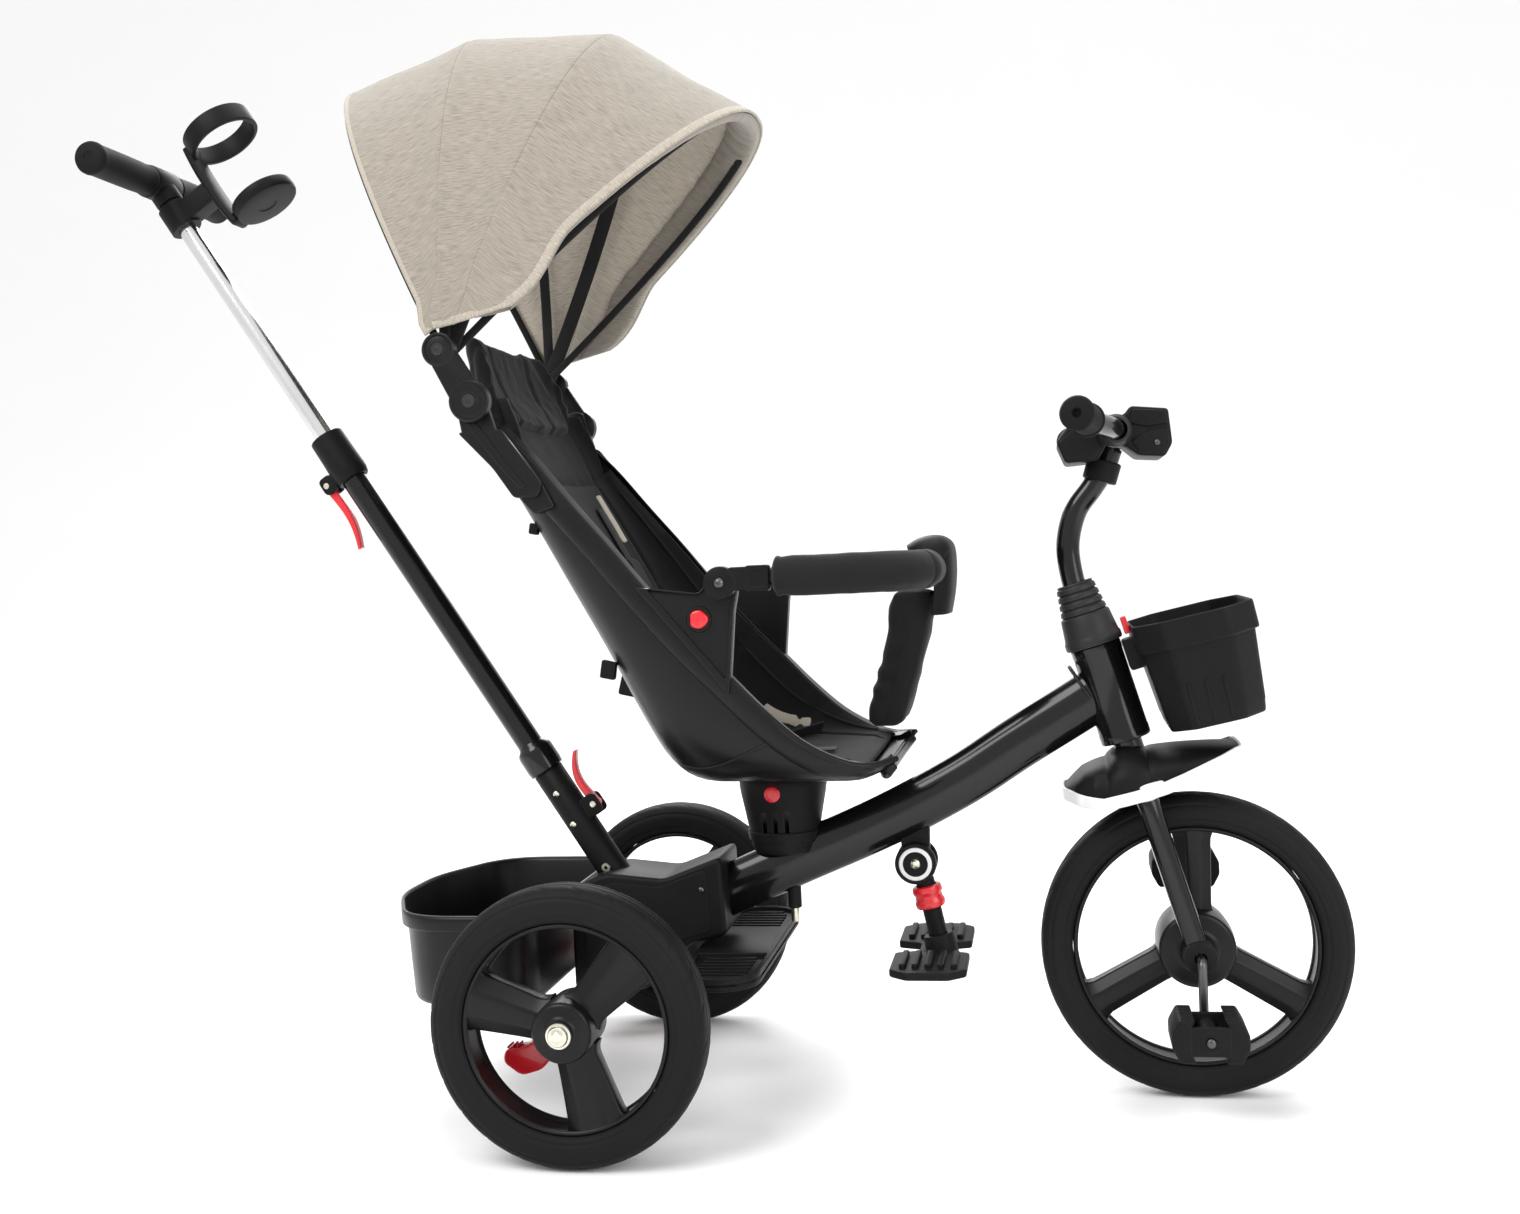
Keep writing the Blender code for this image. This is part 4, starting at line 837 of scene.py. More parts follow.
def weld_bead(name, centre, axis, radius, body, squash=1.0, ahead=ACROSS):
    """Fine rippled bead of a fillet weld round a joint."""
    axis = Vector(axis).normalized()
    side = (Vector(ahead) - axis * axis.dot(Vector(ahead))).normalized()
    other = axis.cross(side)
    rows = []
    steps, ring = 160, 8
    for i in range(steps):
        a = 2 * math.pi * i / steps
        out = side * math.cos(a) * squash + other * math.sin(a)
        middle = Vector(centre) + out * radius
        thick = 0.0015 + 0.0003 * math.sin(a * 34)
        rows.append([middle + out.normalized() * thick * math.cos(b) + axis * thick * math.sin(b)
                     for b in np.linspace(0, 2 * math.pi, ring, endpoint=False)])
    verts, faces = stitch(rows, closed_rows=True, closed_columns=True)
    return dress(tidy_mesh(mesh_object(name, verts, faces)), "paint", body, angle=80)


def build_frame():
    path = smooth([at(x, 0.0, z) for x, z in MAIN_PATH], 8)
    tube = sweep("spine_tube", path, circle(0.0255, 48, 0.64))
    dress(tube, "paint", "frame", "main_tube", angle=60)
    profile = [(0.0150, 0.298), (0.0232, 0.298), (0.0240, 0.2972), (0.0240, 0.2895),
               (0.0236, 0.2888), (0.0236, 0.2142), (0.0240, 0.2135), (0.0240, 0.2048),
               (0.0232, 0.2040), (0.0150, 0.2040)]
    dress(lathe("head_shell", profile, steer(0), STEER_UP, ROUND, ring=True), "paint", "frame",
          "head_tube", angle=30)
    toward = (path[-1] - path[-6]).normalized()
    weld_bead("head_weld", steer(0.2615, 0, -0.0225), toward, 0.0245, "frame", 0.66)
    build_cover()
    build_step()
    build_basket()
    build_pedestal()


COVER_OUTLINE = [(-0.050, 0.196), (-0.036, 0.214), (-0.012, 0.222), (0.045, 0.216),
                 (0.103, 0.238), (0.106, 0.160), (0.070, 0.152), (0.022, 0.106),
                 (-0.050, 0.106)]


def build_cover():
    """Moulded box over the axle, a seam line round it and a screw each side."""
    made = outline_solid("rear_housing", [rounded(COVER_OUTLINE, 0.007)], 0.084, at(0, 0, 0),
                         0.0045)
    dress(made, "matt", "frame", "rear_cover", angle=50)
    middle = (sum(x for x, _ in COVER_OUTLINE) / 9, sum(z for _, z in COVER_OUTLINE) / 9)
    for side, word in ((-1, "right"), (1, "left")):
        inner = [(middle[0] + (x - middle[0]) * 0.82, middle[1] + (z - middle[1]) * 0.80)
                 for x, z in COVER_OUTLINE]
        plate = outline_solid("housing_panel_" + word, [rounded(inner, 0.006)], 0.0026,
                              at(0, side * 0.0420, 0), 0.0011)
        dress(plate, "coarse", "frame")
        for k, (x, z) in enumerate(((-0.028, 0.190), (0.083, 0.206), (-0.028, 0.128))):
            screw_head(f"housing_screw_{word}_{k}", at(x, side * 0.0436, z), (0, side, 0),
                       0.0032, "dark_steel", "frame")
        hinge = lathe("socket_ring_" + word, [(0.0018, 0.0016), (0.0040, 0.0016),
                                             (0.0046, 0.0008), (0.0046, -0.003),
                                             (0.0018, -0.003)],
                      handle(0.019, side * 0.0156), (0, side, 0), 32, ring=True)
        dress(hinge, "zinc", "frame")


def build_step():
    """Standing board: two rimmed treads with grip ribs."""
    centre_x, half_x, half_y = 0.114, 0.038, 0.150
    outline = arc((centre_x, half_y - half_x), half_x, 0, 180, 33)
    outline += arc((centre_x, half_x - half_y), half_x, 180, 360, 33)
    base = outline_solid("step_base", [outline], 0.0085, at(0, 0, 0.1385), 0.0015, False)
    wells = []
    bars = []
    for side in (-1, 1):
        inner = half_x - 0.0045
        y_far, y_near = side * (half_y - half_x), side * 0.055
        well = arc((centre_x, y_far), inner, 0, side * 180, 33)
        wells.append(rounded([*well, (centre_x - inner, y_near), (centre_x + inner, y_near)],
                             0.003, 3))
        for k in range(7):
            y = side * (0.062 + 0.0115 * k)
            reach = inner - 0.008
            if abs(y) > abs(y_far):
                reach = math.sqrt(max(0.0, inner ** 2 - (abs(y) - abs(y_far)) ** 2)) - 0.008
            bar = outline_solid("bar", [rounded([(centre_x - reach, y - 0.0021),
                                                 (centre_x + reach, y - 0.0021),
                                                 (centre_x + reach, y + 0.0021),
                                                 (centre_x - reach, y + 0.0021)], 0.002, 3)],
                                0.0022, at(0, 0, 0.1434), 0.0008, False)
            bars.append(bar)
    rimmed = outline_solid("step_rim", [outline, *wells], 0.0095, at(0, 0, 0.14225), 0.0012,
                           False)
    dress(merged("step_board", [base, rimmed, *bars]), "coarse", "frame", "step_plate")


def tub_object(name, plan, centre, levels, place):
    """Open tub from (scale, inset, height) levels run up the outside and down the inside."""
    rows = []
    loop = [Vector(p) for p in plan]
    middle = Vector(centre)
    for scale, inset, height in levels:
        ring = []
        for p in loop:
            out = p - middle
            q = middle + out * scale - out.normalized() * inset
            ring.append(place @ Vector((q.x, q.y, height)))
        rows.append(ring)
    verts, faces = stitch(rows, closed_columns=True)
    count = len(loop)
    faces.append(tuple(reversed(range(count))))
    last = len(verts) - count
    faces.append(tuple(range(last, last + count)))
    return tidy_mesh(mesh_object(name, verts, faces))


def build_basket():
    """D-shaped tray with a rolled rim."""
    front, back, half, corner = -0.0505, -0.2275, 0.149, 0.060
    plan = [(front, -half), (front, half)]
    plan += arc((back + 0.085, half - corner), corner, 90, 150, 4)
    plan += [(back, 0.045), (back, -0.045)]
    plan += arc((back + 0.085, corner - half), corner, 210, 270, 4)
    centre = (sum(p[0] for p in plan) / len(plan), sum(p[1] for p in plan) / len(plan))
    fine = rounded(plan, 0.030, 6)
    levels = [(0.80, 0, 0.1120), (0.836, 0, 0.1126), (0.862, 0, 0.1146), (0.880, 0, 0.1190),
              (0.905, 0, 0.150), (0.930, 0, 0.1860), (0.934, 0, 0.1880), (0.960, 0, 0.1886),
              (0.985, 0, 0.1890), (0.995, 0, 0.1896), (1.0, 0, 0.1910), (1.0, 0, 0.2000),
              (0.996, 0, 0.2025), (0.986, 0, 0.2038), (0.968, 0, 0.2038), (0.952, 0, 0.2026),
              (0.944, 0, 0.2000), (0.938, 0, 0.1955), (0.925, 0.002, 0.185),
              (0.900, 0.003, 0.150), (0.872, 0.003, 0.1190), (0.856, 0.003, 0.1160),
              (0.83, 0.003, 0.1150), (0.60, 0.003, 0.1150)]
    place = Matrix.Translation((ORIGIN_X, 0, 0))
    made = tub_object("rear_tray", fine, centre, levels, place)
    dress(made, "satin", "frame", "rear_basket", angle=50)


def build_pedestal():
    """Flared column under the seat with slots, a collar and the swivel button."""
    profile = [(0, SEAT_BASE_Z - 0.001), (0.0415, SEAT_BASE_Z - 0.001),
               (0.0430, SEAT_BASE_Z - 0.0025), (0.0434, 0.303), (0.0420, 0.294),
               (0.0392, 0.280), (0.0355, 0.260), (0.0325, 0.243), (0.0312, 0.2385),
               (0.0295, 0.2365), (0, 0.2365)]
    column = lathe("seat_column", profile, at(SEAT_AXIS_X, 0, 0), (0, 0, 1), 80)
    for x in (-0.011, 0.0, 0.011):
        slot = outline_solid("slot", [rounded([(x - 0.0021, 0.2490), (x + 0.0021, 0.2490),
                                               (x + 0.0021, 0.2800), (x - 0.0021, 0.2800)],
                                              0.002, 3)], 0.2, at(SEAT_AXIS_X - 0.003, 0, 0),
                             0.0001)
        combine(column, slot)
    hole = lathe("hole", [(0, -0.0285), (0.0085, -0.0285), (0.0085, -0.06), (0, -0.06)],
                 at(SEAT_AXIS_X - 0.004, 0, 0.298), ACROSS, 48)
    combine(column, hole)
    dress(column, "matt", "frame", "seat_pedestal", angle=45)
    ring = lathe("column_ring", [(0.0335, 0.2585), (0.0362, 0.2585), (0.0368, 0.2575),
                                 (0.0352, 0.2495), (0.0342, 0.2490), (0.0325, 0.2495)],
                 at(SEAT_AXIS_X, 0, 0), (0, 0, 1), 72, ring=True)
    dress(ring, "matt", "frame")
    button = [(0, 0.0450), (0.0030, 0.0452), (0.0062, 0.0449), (0.0077, 0.0440),
              (0.0080, 0.0425), (0.0080, 0.0320), (0, 0.0320)]
    dress(lathe("swivel_button", button, at(SEAT_AXIS_X - 0.004, 0, 0.298), (0, -1, 0), 40),
          "red", "pedestal_button", "pedestal_button")
    sleeve = lathe("bolt_sleeve", [(0, 0.205), (0.0068, 0.205), (0.0068, 0.1800),
                                   (0.0060, 0.1790), (0, 0.1790)], at(0.168, 0, 0), (0, 0, 1), 32)
    dress(sleeve, "matt", "frame")
    bolt = lathe("bolt_end", [(0, 0.181), (0.0042, 0.181), (0.0042, 0.1665), (0.0032, 0.1650),
                              (0, 0.1650)], at(0.168, 0, 0), (0, 0, 1), 24)
    dress(bolt, "zinc", "frame")


def build_brakes():
    """Red foot levers on the axle, a raised tread and a hub ring."""
    for side, word in ((-1, "right"), (1, "left")):
        y = side * 0.1715
        outline = arc((0, REAR_RADIUS), 0.0165, -60, 150, 25)
        outline += rounded([(-0.030, 0.106), (-0.058, 0.092), (-0.075, 0.090),
                            (-0.077, 0.078), (-0.060, 0.066), (-0.040, 0.072),
                            (-0.022, 0.094)], 0.006)
        arm = outline_solid("arm", [outline], 0.0215, at(0, y, 0), 0.0022)
        hole = lathe("hole", [(0, 0.03), (0.0103, 0.03), (0.0103, -0.03), (0, -0.03)],
                     at(0, y, REAR_RADIUS), ACROSS, 40)
        combine(arm, hole)
        body = "brake_" + word
        dress(arm, "red", body, "brake_pedal_" + word, angle=50)
        arm.name = "brake_lever_" + word
        ribs = []
        for k in range(3):
            along = Vector((-0.0635 - 0.0045 * k, 0.0, 0.0925 - 0.0006 * k))
            ribs.append(sweep("rib", [at(along.x, y - 0.008, along.z),
                                      at(along.x, y + 0.008, along.z)], circle(0.0011, 10),
                              Vector((1, 0, 0)), ends=0.001))
        dress(merged("brake_ribs_" + word, ribs), "red", body)


# ---------------------------------------------------------------- parent handle
def lever_outline(anchor, tip, bulge):
    """Root circle at the pin and a bowed, tapering blade."""
    anchor, tip = Vector(anchor), Vector(tip)
    along = (tip - anchor).normalized()
    across = Vector((-along.y, along.x)) * bulge
    length = (tip - anchor).length
    upper, lower = [], []
    for t in np.linspace(0, 1, 19):
        spine = anchor + along * (length * (0.1 + 0.9 * t)) + across * math.sin(math.pi * t)
        spine += across * -0.6 * t ** 4
        side = Vector((-along.y, along.x)) * (0.0045 - 0.0025 * t)
        upper.append(tuple(spine + side))
        lower.append(tuple(spine - side))
    turn = math.degrees(math.atan2(along.y, along.x))
    return [*arc(anchor, 0.0062, turn + 50, turn + 310, 25), *lower, *reversed(upper)]


def cam_lever(name, node, pin, reach, ahead, bulge):
    """Red cam lever with its cross pin."""
    end = pin + HANDLE_UP * reach + HANDLE_AHEAD * ahead
    outline = lever_outline((pin.x - ORIGIN_X, pin.z), (end.x - ORIGIN_X, end.z), bulge)
    made = outline_solid(name, [outline], 0.0098, at(0, 0, 0), 0.0014)
    dress(made, "red", node, node, angle=50)
    caps = [lathe("cap", [(0, 0.0010), (0.0030, 0.0006), (0.0036, -0.0005), (0.0036, -0.0030),
                          (0, -0.0030)], pin + ACROSS * (side * 0.0098), (0, side, 0), 24)
            for side in (-1, 1)]
    dress(merged(name + "_pin", caps), "zinc", "frame")


def eared_clamp(name, node, body_of_turn, ears_at, depth, length, finish):
    """Turned body with two ears for its lever."""
    ears = []
    for side in (-1, 1):
        outline = [(-depth / 2, -length / 2), (depth / 2, -length / 2), (depth / 2, length / 2),
                   (-depth / 2, length / 2)]
        ears.append(outline_solid("ear", [rounded(outline, 0.006)], 0.0041,
                                  ears_at + ACROSS * (side * 0.00745), 0.0010,
                                  lean=-HANDLE_LEAN))
    return dress(merged(name, [body_of_turn, *ears]), finish, "frame", node, angle=40)


def build_handle():
    stub = [(0.0122, 0.056), (0.0122, SOCKET_END), (0.0150, SOCKET_END),
            (0.0155, SOCKET_END - 0.0006), (0.0155, -0.004), (0, -0.004), (0, 0.056)]
    stub = lathe("stub", stub, handle(0), HANDLE_UP, ROUND)
    eared_clamp("handle_stub", "handle_socket", stub, handle(0.079, 0, 0.0195), 0.020, 0.022,
                "matt")
    for k, (distance, ahead) in enumerate(((0.108, -0.001), (0.073, -0.004))):
        for side in (-1, 1):
            reach = math.sqrt(0.0155 ** 2 - ahead ** 2)
            screw_head(f"stub_rivet_{k}_{'rl'[side > 0]}", handle(distance, side * reach, ahead),
                       (0, side, 0), 0.0036, "zinc", "frame")
    lower = [(0, 0.145), (0.0104, 0.145), (0.0104, 0.5018), (0.0128, 0.5018), (0.0128, 0.1668),
             (0.0136, 0.1640), (0.0176, 0.1600), (0.0186, 0.1560), (0.0187, 0.1400),
             (0.0178, SOCKET_END + 0.0004), (0.0118, SOCKET_END + 0.0003), (0.0118, 0.060),
             (0, 0.060)]
    dress(lathe("lower_tube", lower, handle(0), HANDLE_UP, ROUND), "paint", "frame",
          "push_tube_lower", angle=35)
    sleeve = [(0.0168, 0.5480), (0.0176, 0.5472), (0.0178, 0.5440), (0.0181, 0.5250),
              (0.0187, 0.5090), (0.0186, 0.5020), (0.0170, 0.4960), (0.0160, 0.4950),
              (0.0131, 0.4950), (0.0131, 0.5025), (0.0103, 0.5025), (0.0103, 0.5480)]
    sleeve = lathe("sleeve", sleeve, handle(0), HANDLE_UP, ROUND, ring=True)
    eared_clamp("height_clamp", "clamp_sleeve", sleeve, handle(0.504, 0, -0.0235), 0.016, 0.019,
                "matt")
    upper = [(0.0083, 0.41), (0.0098, 0.41), (0.0098, 0.858), (0.0083, 0.858)]
    dress(lathe("upper_tube", upper, handle(0), HANDLE_UP, ROUND, ring=True), "chrome",
          "push_handle", "push_tube_upper", angle=30)
    cam_lever("socket_cam", "socket_lever", handle(0.079, 0, 0.0230), 0.056, 0.010, 0.006)
    cam_lever("sleeve_cam", "sleeve_lever", handle(0.504, 0, -0.0255), -0.072, -0.007, 0.004)
    build_tee()
    build_cup_holder()


def build_tee():
    """Moulded tee with a domed hub, and both foam grips."""
    centre = handle(CROSSBAR_AT)
    hub = [(0, 0.0214), (0.0150, 0.0214), (0.0164, 0.0208), (0.0170, 0.0190), (0.0172, 0.0),
           (0.0170, -0.0190), (0.0164, -0.0208), (0.0150, -0.0214), (0, -0.0214)]
    core = [(0, 0.120), (0.0105, 0.120), (0.0105, -0.120), (0, -0.120)]
    cap = [(0, 0.875), (0.0143, 0.875), (0.0143, 0.8500), (0.0137, 0.8470), (0.0125, 0.8462),
           (0.0102, 0.8462), (0.0102, 0.8580), (0, 0.8580)]
    pieces = [lathe("a", hub, centre, ACROSS, 60), lathe("b", core, centre, ACROSS, 40),
              lathe("c", cap, handle(0), HANDLE_UP, 48)]
    dress(merged("handle_tee", pieces), "matt", "push_handle", "crossbar", angle=40)
    for side, word in ((-1, "right"), (1, "left")):
        profile = [(0.0108, 0.0225), (0.0108, 0.1203), (0, 0.1203), (0, 0.1232),
                   (0.0050, 0.1236), (0.0056, 0.1244), (0.0130, 0.1243), (0.0152, 0.1232),
                   (0.0163, 0.1208), (0.0165, 0.1180), (0.0160, 0.1152)]
        profile += [(0.0158, 0.110), (0.0159, 0.095), (0.0160, 0.070), (0.0159, 0.045)]
        profile += [(0.0154, 0.0285), (0.0160, 0.0262), (0.0160, 0.0238), (0.0150, 0.0225)]
        made = lathe("grip_sleeve_" + word, profile, centre, (0, side, 0), ROUND)
        dress(made, "rubber", "push_handle", "grip_" + word, angle=40)


def build_cup_holder():
    """Split ring and padded base on a clamped spine."""
    ring_at, base_at = handle(0.872, 0, CUP_OFFSET), handle(0.787, 0, CUP_OFFSET)
    section = rounded([(0.0375, 0.0100), (0.0375, -0.0100), (0.0328, -0.0100),
                       (0.0328, 0.0100)], 0.0012, 3)
    pieces = [lathe("ring", section, ring_at, HANDLE_UP, 90, ring=True)]
    disc = [(0, 0.0060), (0.0285, 0.0060), (0.0295, 0.0068), (0.0325, 0.0070),
            (0.0340, 0.0062), (0.0345, 0.0045), (0.0345, -0.0035), (0.0332, -0.0055),
            (0.0300, -0.0064), (0.0105, -0.0064), (0.0098, -0.0056), (0, -0.0056)]
    pieces.append(lathe("disc", disc, base_at, HANDLE_UP, 72))
    spine_at = CUP_OFFSET - 0.0365
    spine = [handle(d, 0, spine_at + bow) for d, bow in
             ((0.782, 0.001), (0.795, -0.001), (0.815, -0.0025), (0.845, -0.0025),
              (0.865, -0.001), (0.880, 0.001))]
    pieces.append(sweep("spine", smooth(spine, 5), strap_section(0.030, 0.0090), ACROSS,
                        ends=0.003))
    arm = [handle(0.828, 0, a) for a in (0.008, 0.020, 0.035, spine_at)]
    pieces.append(sweep("arm", smooth(arm, 4), rounded([(-0.013, -0.011), (0.013, -0.011),
                                                       (0.013, 0.011), (-0.013, 0.011)], 0.004),
                        ACROSS))
    clamp = [(0.0101, 0.8435), (0.0155, 0.8435), (0.0165, 0.8425), (0.0165, 0.8155),
             (0.0155, 0.8145), (0.0101, 0.8145)]
    pieces.append(lathe("clamp", clamp, handle(0), HANDLE_UP, 56, ring=True))
    dress(merged("cup_carrier", pieces), "matt", "push_handle", "cup_holder", angle=40)
    for side in (-1, 1):
        screw_head("cup_screw_" + "rl"[side > 0], handle(0.829, side * 0.0104, 0.0285),
                   (0, side, 0), 0.0042, "dark_steel", "push_handle")
    pad = [(0, 0.0078), (0.0240, 0.0078), (0.0262, 0.0070), (0.0262, 0.0058), (0, 0.0058)]
    dress(lathe("cup_pad", pad, base_at, HANDLE_UP, 60), "rubber", "push_handle")


# ---------------------------------------------------------------- steering
STEM_PATH = [(0.4655, 0.437), (0.457, 0.468), (0.449, 0.495), (0.446, 0.527), (0.454, 0.558),
             (0.470, 0.580), (0.482, 0.598), (0.489, 0.6165)]
HANDLEBAR_HALF = [(0.4935, 0.0, 0.6295), (0.4925, 0.045, 0.6298), (0.483, 0.080, 0.6315),
                  (0.468, 0.115, 0.634), (0.459, 0.150, 0.6355), (0.455, 0.186, 0.636)]


def bar_line():
    left = [Vector(at(*p)) for p in HANDLEBAR_HALF]
    whole = [Vector((p.x, -p.y, p.z)) for p in reversed(left[1:])] + left
    return smooth(whole, 6)


def build_steering():
    half = [steer(-0.016, -0.047), steer(0.060, -0.047), steer(0.132, -0.047),
            steer(0.155, -0.0435), steer(0.170, -0.033), steer(0.177, -0.017)]
    whole = half + [steer(0.178)] + [Vector((p.x, -p.y, p.z)) for p in reversed(half)]
    blades = sweep("fork_blades", smooth(whole, 6), circle(0.0104, 32), STEER_AHEAD, ends=0.006)
    steerer = lathe("steerer", [(0, 0.299), (0.0138, 0.299), (0.0138, 0.172), (0, 0.172)],
                    steer(0), STEER_UP, 40)
    dress(merged("fork_frame", [blades, steerer]), "paint", "steering", "fork", angle=50)
    for side, word in ((-1, "right"), (1, "left")):
        cap = lathe("dropout_cap_" + word, [(0.0058, 0.0012), (0.0125, 0.0010),
                                            (0.0150, -0.0004), (0.0155, -0.0025),
                                            (0.0155, -0.0070), (0.0058, -0.0070)],
                    steer(0, side * 0.0598), (0, side, 0), 48, ring=True)
        dress(cap, "matt", "steering")
    dress(sweep("stem_bend", smooth([at(x, 0.0, z) for x, z in STEM_PATH], 8),
                circle(0.011, 36), ACROSS), "paint", "steering", "stem_tube", angle=60)
    build_bellows()
    dress(sweep("bar_tube", bar_line(), circle(0.0098, 32), Vector((0, 0, 1))), "paint",
          "steering", "handlebar", angle=60)
    build_bar_grips()
    build_console()
    build_front_basket()
    build_mudguard()
    build_crank()


def build_bellows():
    """Dust boot: four fine folds at the top and a plain flared skirt."""
    low, high, folded = 0.2986, 0.360, 0.0285
    rings = 4
    outer = [(0.0118, high), (0.0165, high), (0.0172, high - 0.0012)]
    for k in range(rings):
        top = high - 0.0015 - folded * k / rings
        pitch = folded / rings
        wide = 0.0184 + 0.0042 * k / rings
        outer += [(wide - 0.0018, top - 0.0006), (wide - 0.0002, top - 0.0018),
                  (wide + 0.0002, top - 0.0030), (wide + 0.0006, top - pitch + 0.0010),
                  (wide - 0.0012, top - pitch + 0.0004)]
    outer += [(0.0228, high - 0.0310), (0.0236, high - 0.0325), (0.0256, low + 0.0120),
              (0.0262, low + 0.0085), (0.0272, low + 0.0070), (0.0274, low + 0.0020),
              (0.0266, low), (0.0150, low), (0.0150, 0.312), (0.0118, 0.330)]
    made = lathe("boot", outer, steer(0), STEER_UP, 80, ring=True)
    dress(made, "grey", "steering", "steering_bellows", angle=40)


def build_bar_grips():
    for side, word in ((-1, "right"), (1, "left")):
        start, end = at(0.4655, side * 0.1245, 0.6345), at(0.4545, side * 0.192, 0.6362)
        axis = (end - start).normalized()
        length = (end - start).length
        profile = [(0.0100, 0.0), (0.0135, 0.0), (0.0148, 0.0010), (0.0153, 0.0030),
                   (0.0152, 0.0050), (0.0136, 0.0066)]
        for k in range(9):
            z = 0.0085 + 0.0056 * k
            profile += [(0.0137, z), (0.0131, z + 0.0010), (0.0131, z + 0.0018),
                        (0.0137, z + 0.0028)]
        profile += [(0.0139, length - 0.0065), (0.0149, length - 0.0050),
                    (0.0150, length - 0.0035), (0.0136, length - 0.0010),
                    (0.0100, length - 0.0001), (0.0044, length), (0.0036, length - 0.0010),
                    (0.0030, length - 0.0050), (0, length - 0.0050)]
        made = lathe("bar_grip_" + word, profile, start, axis, 56)
        dress(made, "rubber", "steering", "handlebar_grip_" + word, angle=40)


CONSOLE_OUTLINE = [(0.438, 0.622), (0.446, 0.602), (0.476, 0.604), (0.484, 0.6185),
                   (0.498, 0.6185), (0.512, 0.606), (0.536, 0.604), (0.543, 0.616),
                   (0.540, 0.648), (0.506, 0.652), (0.500, 0.644), (0.470, 0.646),
                   (0.452, 0.640)]


def build_console():
    """Angular centre housing with facets, side bosses, screws and a collar on the stem."""
    shell = outline_solid("console_shell", [rounded(CONSOLE_OUTLINE, 0.0035)], 0.0820,
                          at(0, 0, 0), 0.0030)
    dress(shell, "matt", "steering", "handlebar_console", angle=40)
    rear = [(0.4400, 0.6215), (0.4470, 0.6045), (0.4735, 0.6060), (0.4790, 0.6160),
            (0.4740, 0.6280), (0.4550, 0.6340)]
    front = [(0.5135, 0.6080), (0.5345, 0.6062), (0.5405, 0.6165), (0.5385, 0.6300),
             (0.5220, 0.6280), (0.5060, 0.6200)]
    lid = [(0.5085, 0.6490), (0.5375, 0.6460), (0.5395, 0.6345), (0.5220, 0.6320),
           (0.5040, 0.6360)]
    for k, facet in enumerate((rear, front, lid)):
        for side in (-1, 1):
            made = outline_solid(f"console_facet_{k}_{'rl'[side > 0]}", [rounded(facet, 0.0025)],
                                 0.0036, at(0, side * 0.0414, 0), 0.0014)
            dress(made, "coarse" if k < 2 else "matt", "steering")
    for side in (-1, 1):
        axis = (0, side, 0)
        boss = [(0.0098, 0.0150), (0.0118, 0.0150), (0.0128, 0.0135), (0.0132, 0.0050),
                (0.0150, 0.0020), (0.0150, -0.0020), (0.0098, -0.0020)]
        made = lathe("console_boss_" + "rl"[side > 0], boss, at(0.4925, side * 0.0430, 0.6298),
                     axis, 48, ring=True)
        dress(made, "grey", "steering")
        screw_head("console_screw_" + "rl"[side > 0], at(0.5290, side * 0.0431, 0.6170), axis,
                   0.0030, "dark_steel", "steering")
    toward = Vector((0.30, 0, 0.95)).normalized()
    collar = [(0.0112, 0.010), (0.0150, 0.010), (0.0162, 0.0088), (0.0162, -0.0088),
              (0.0150, -0.010), (0.0112, -0.010)]
    dress(lathe("stem_collar", collar, at(0.4800, 0, 0.5950), toward, 48, ring=True), "matt",
          "steering", angle=40)


def build_front_basket():
    """Eight-sided tapering bin with a stepped rim, corner creases and its hanging tongue."""
    long, wide, chamfer = 0.055, 0.086, 0.026
    plan = [(long, -wide + chamfer), (long, wide - chamfer), (long - chamfer, wide),
            (-long + chamfer, wide), (-long, wide - chamfer), (-long, -wide + chamfer),
            (-long + chamfer, -wide), (long - chamfer, -wide)]
    fine = rounded(plan, 0.006, 4)
    place = Matrix.Translation(at(0.5535, 0, 0.460)) @ Matrix.Rotation(-RAKE * 0.75, 4, "Y")
    levels = [(0.765, 0, -0.1030), (0.780, 0, -0.1024), (0.795, 0, -0.1000), (0.812, 0, -0.0930),
              (0.825, 0, -0.0905), (0.930, 0, -0.0275), (0.938, 0, -0.0262), (0.986, 0, -0.0260),
              (0.998, 0, -0.0250), (1.0, 0, -0.0225), (1.0, 0, -0.0030), (0.994, 0, -0.0006),
              (0.985, 0, 0.0), (0.968, 0, 0.0), (0.960, 0, -0.0008), (0.955, 0, -0.0030),
              (0.945, 0.001, -0.020), (0.925, 0.003, -0.0290), (0.825, 0.003, -0.0900),
              (0.795, 0.003, -0.0985), (0.78, 0.003, -0.1003), (0.4, 0.003, -0.1003)]
    made = tub_object("front_bin", fine, (0, 0), levels, place)
    tongue = outline_solid("tongue", [rounded([(-0.009, -0.015), (0.009, -0.015),
                                               (0.009, 0.015), (-0.009, 0.015)], 0.003)],
                           0.030, steer(0.280, 0, 0.0335), 0.0018, lean=-RAKE)
    dress(merged("front_bin", [made, tongue]), "coarse", "frame", "front_basket", angle=40)
    slots = []
    for x in (-0.020, -0.004, 0.012):
        for side in (-1, 1):
            a, b = (Vector((x, side * 0.0685, -0.0985)), Vector((x, side * 0.0755, -0.060)))
            slots.append(sweep("rib", [place @ a, place @ b], circle(0.0016, 10),
                               Vector((1, 0, 0)), ends=0.001))
    dress(merged("bin_ribs", slots), "coarse", "frame")
    clip = outline_solid("bin_clip", [rounded([(-0.00275, -0.00825), (0.00275, -0.00825),
                                               (0.00275, 0.00825), (-0.00275, 0.00825)],
                                              0.0012)], 0.0138, steer(0.3075, 0, 0.0325), 0.0008,
                         lean=-RAKE)
    dress(clip, "red", "basket_clip", "basket_clip")


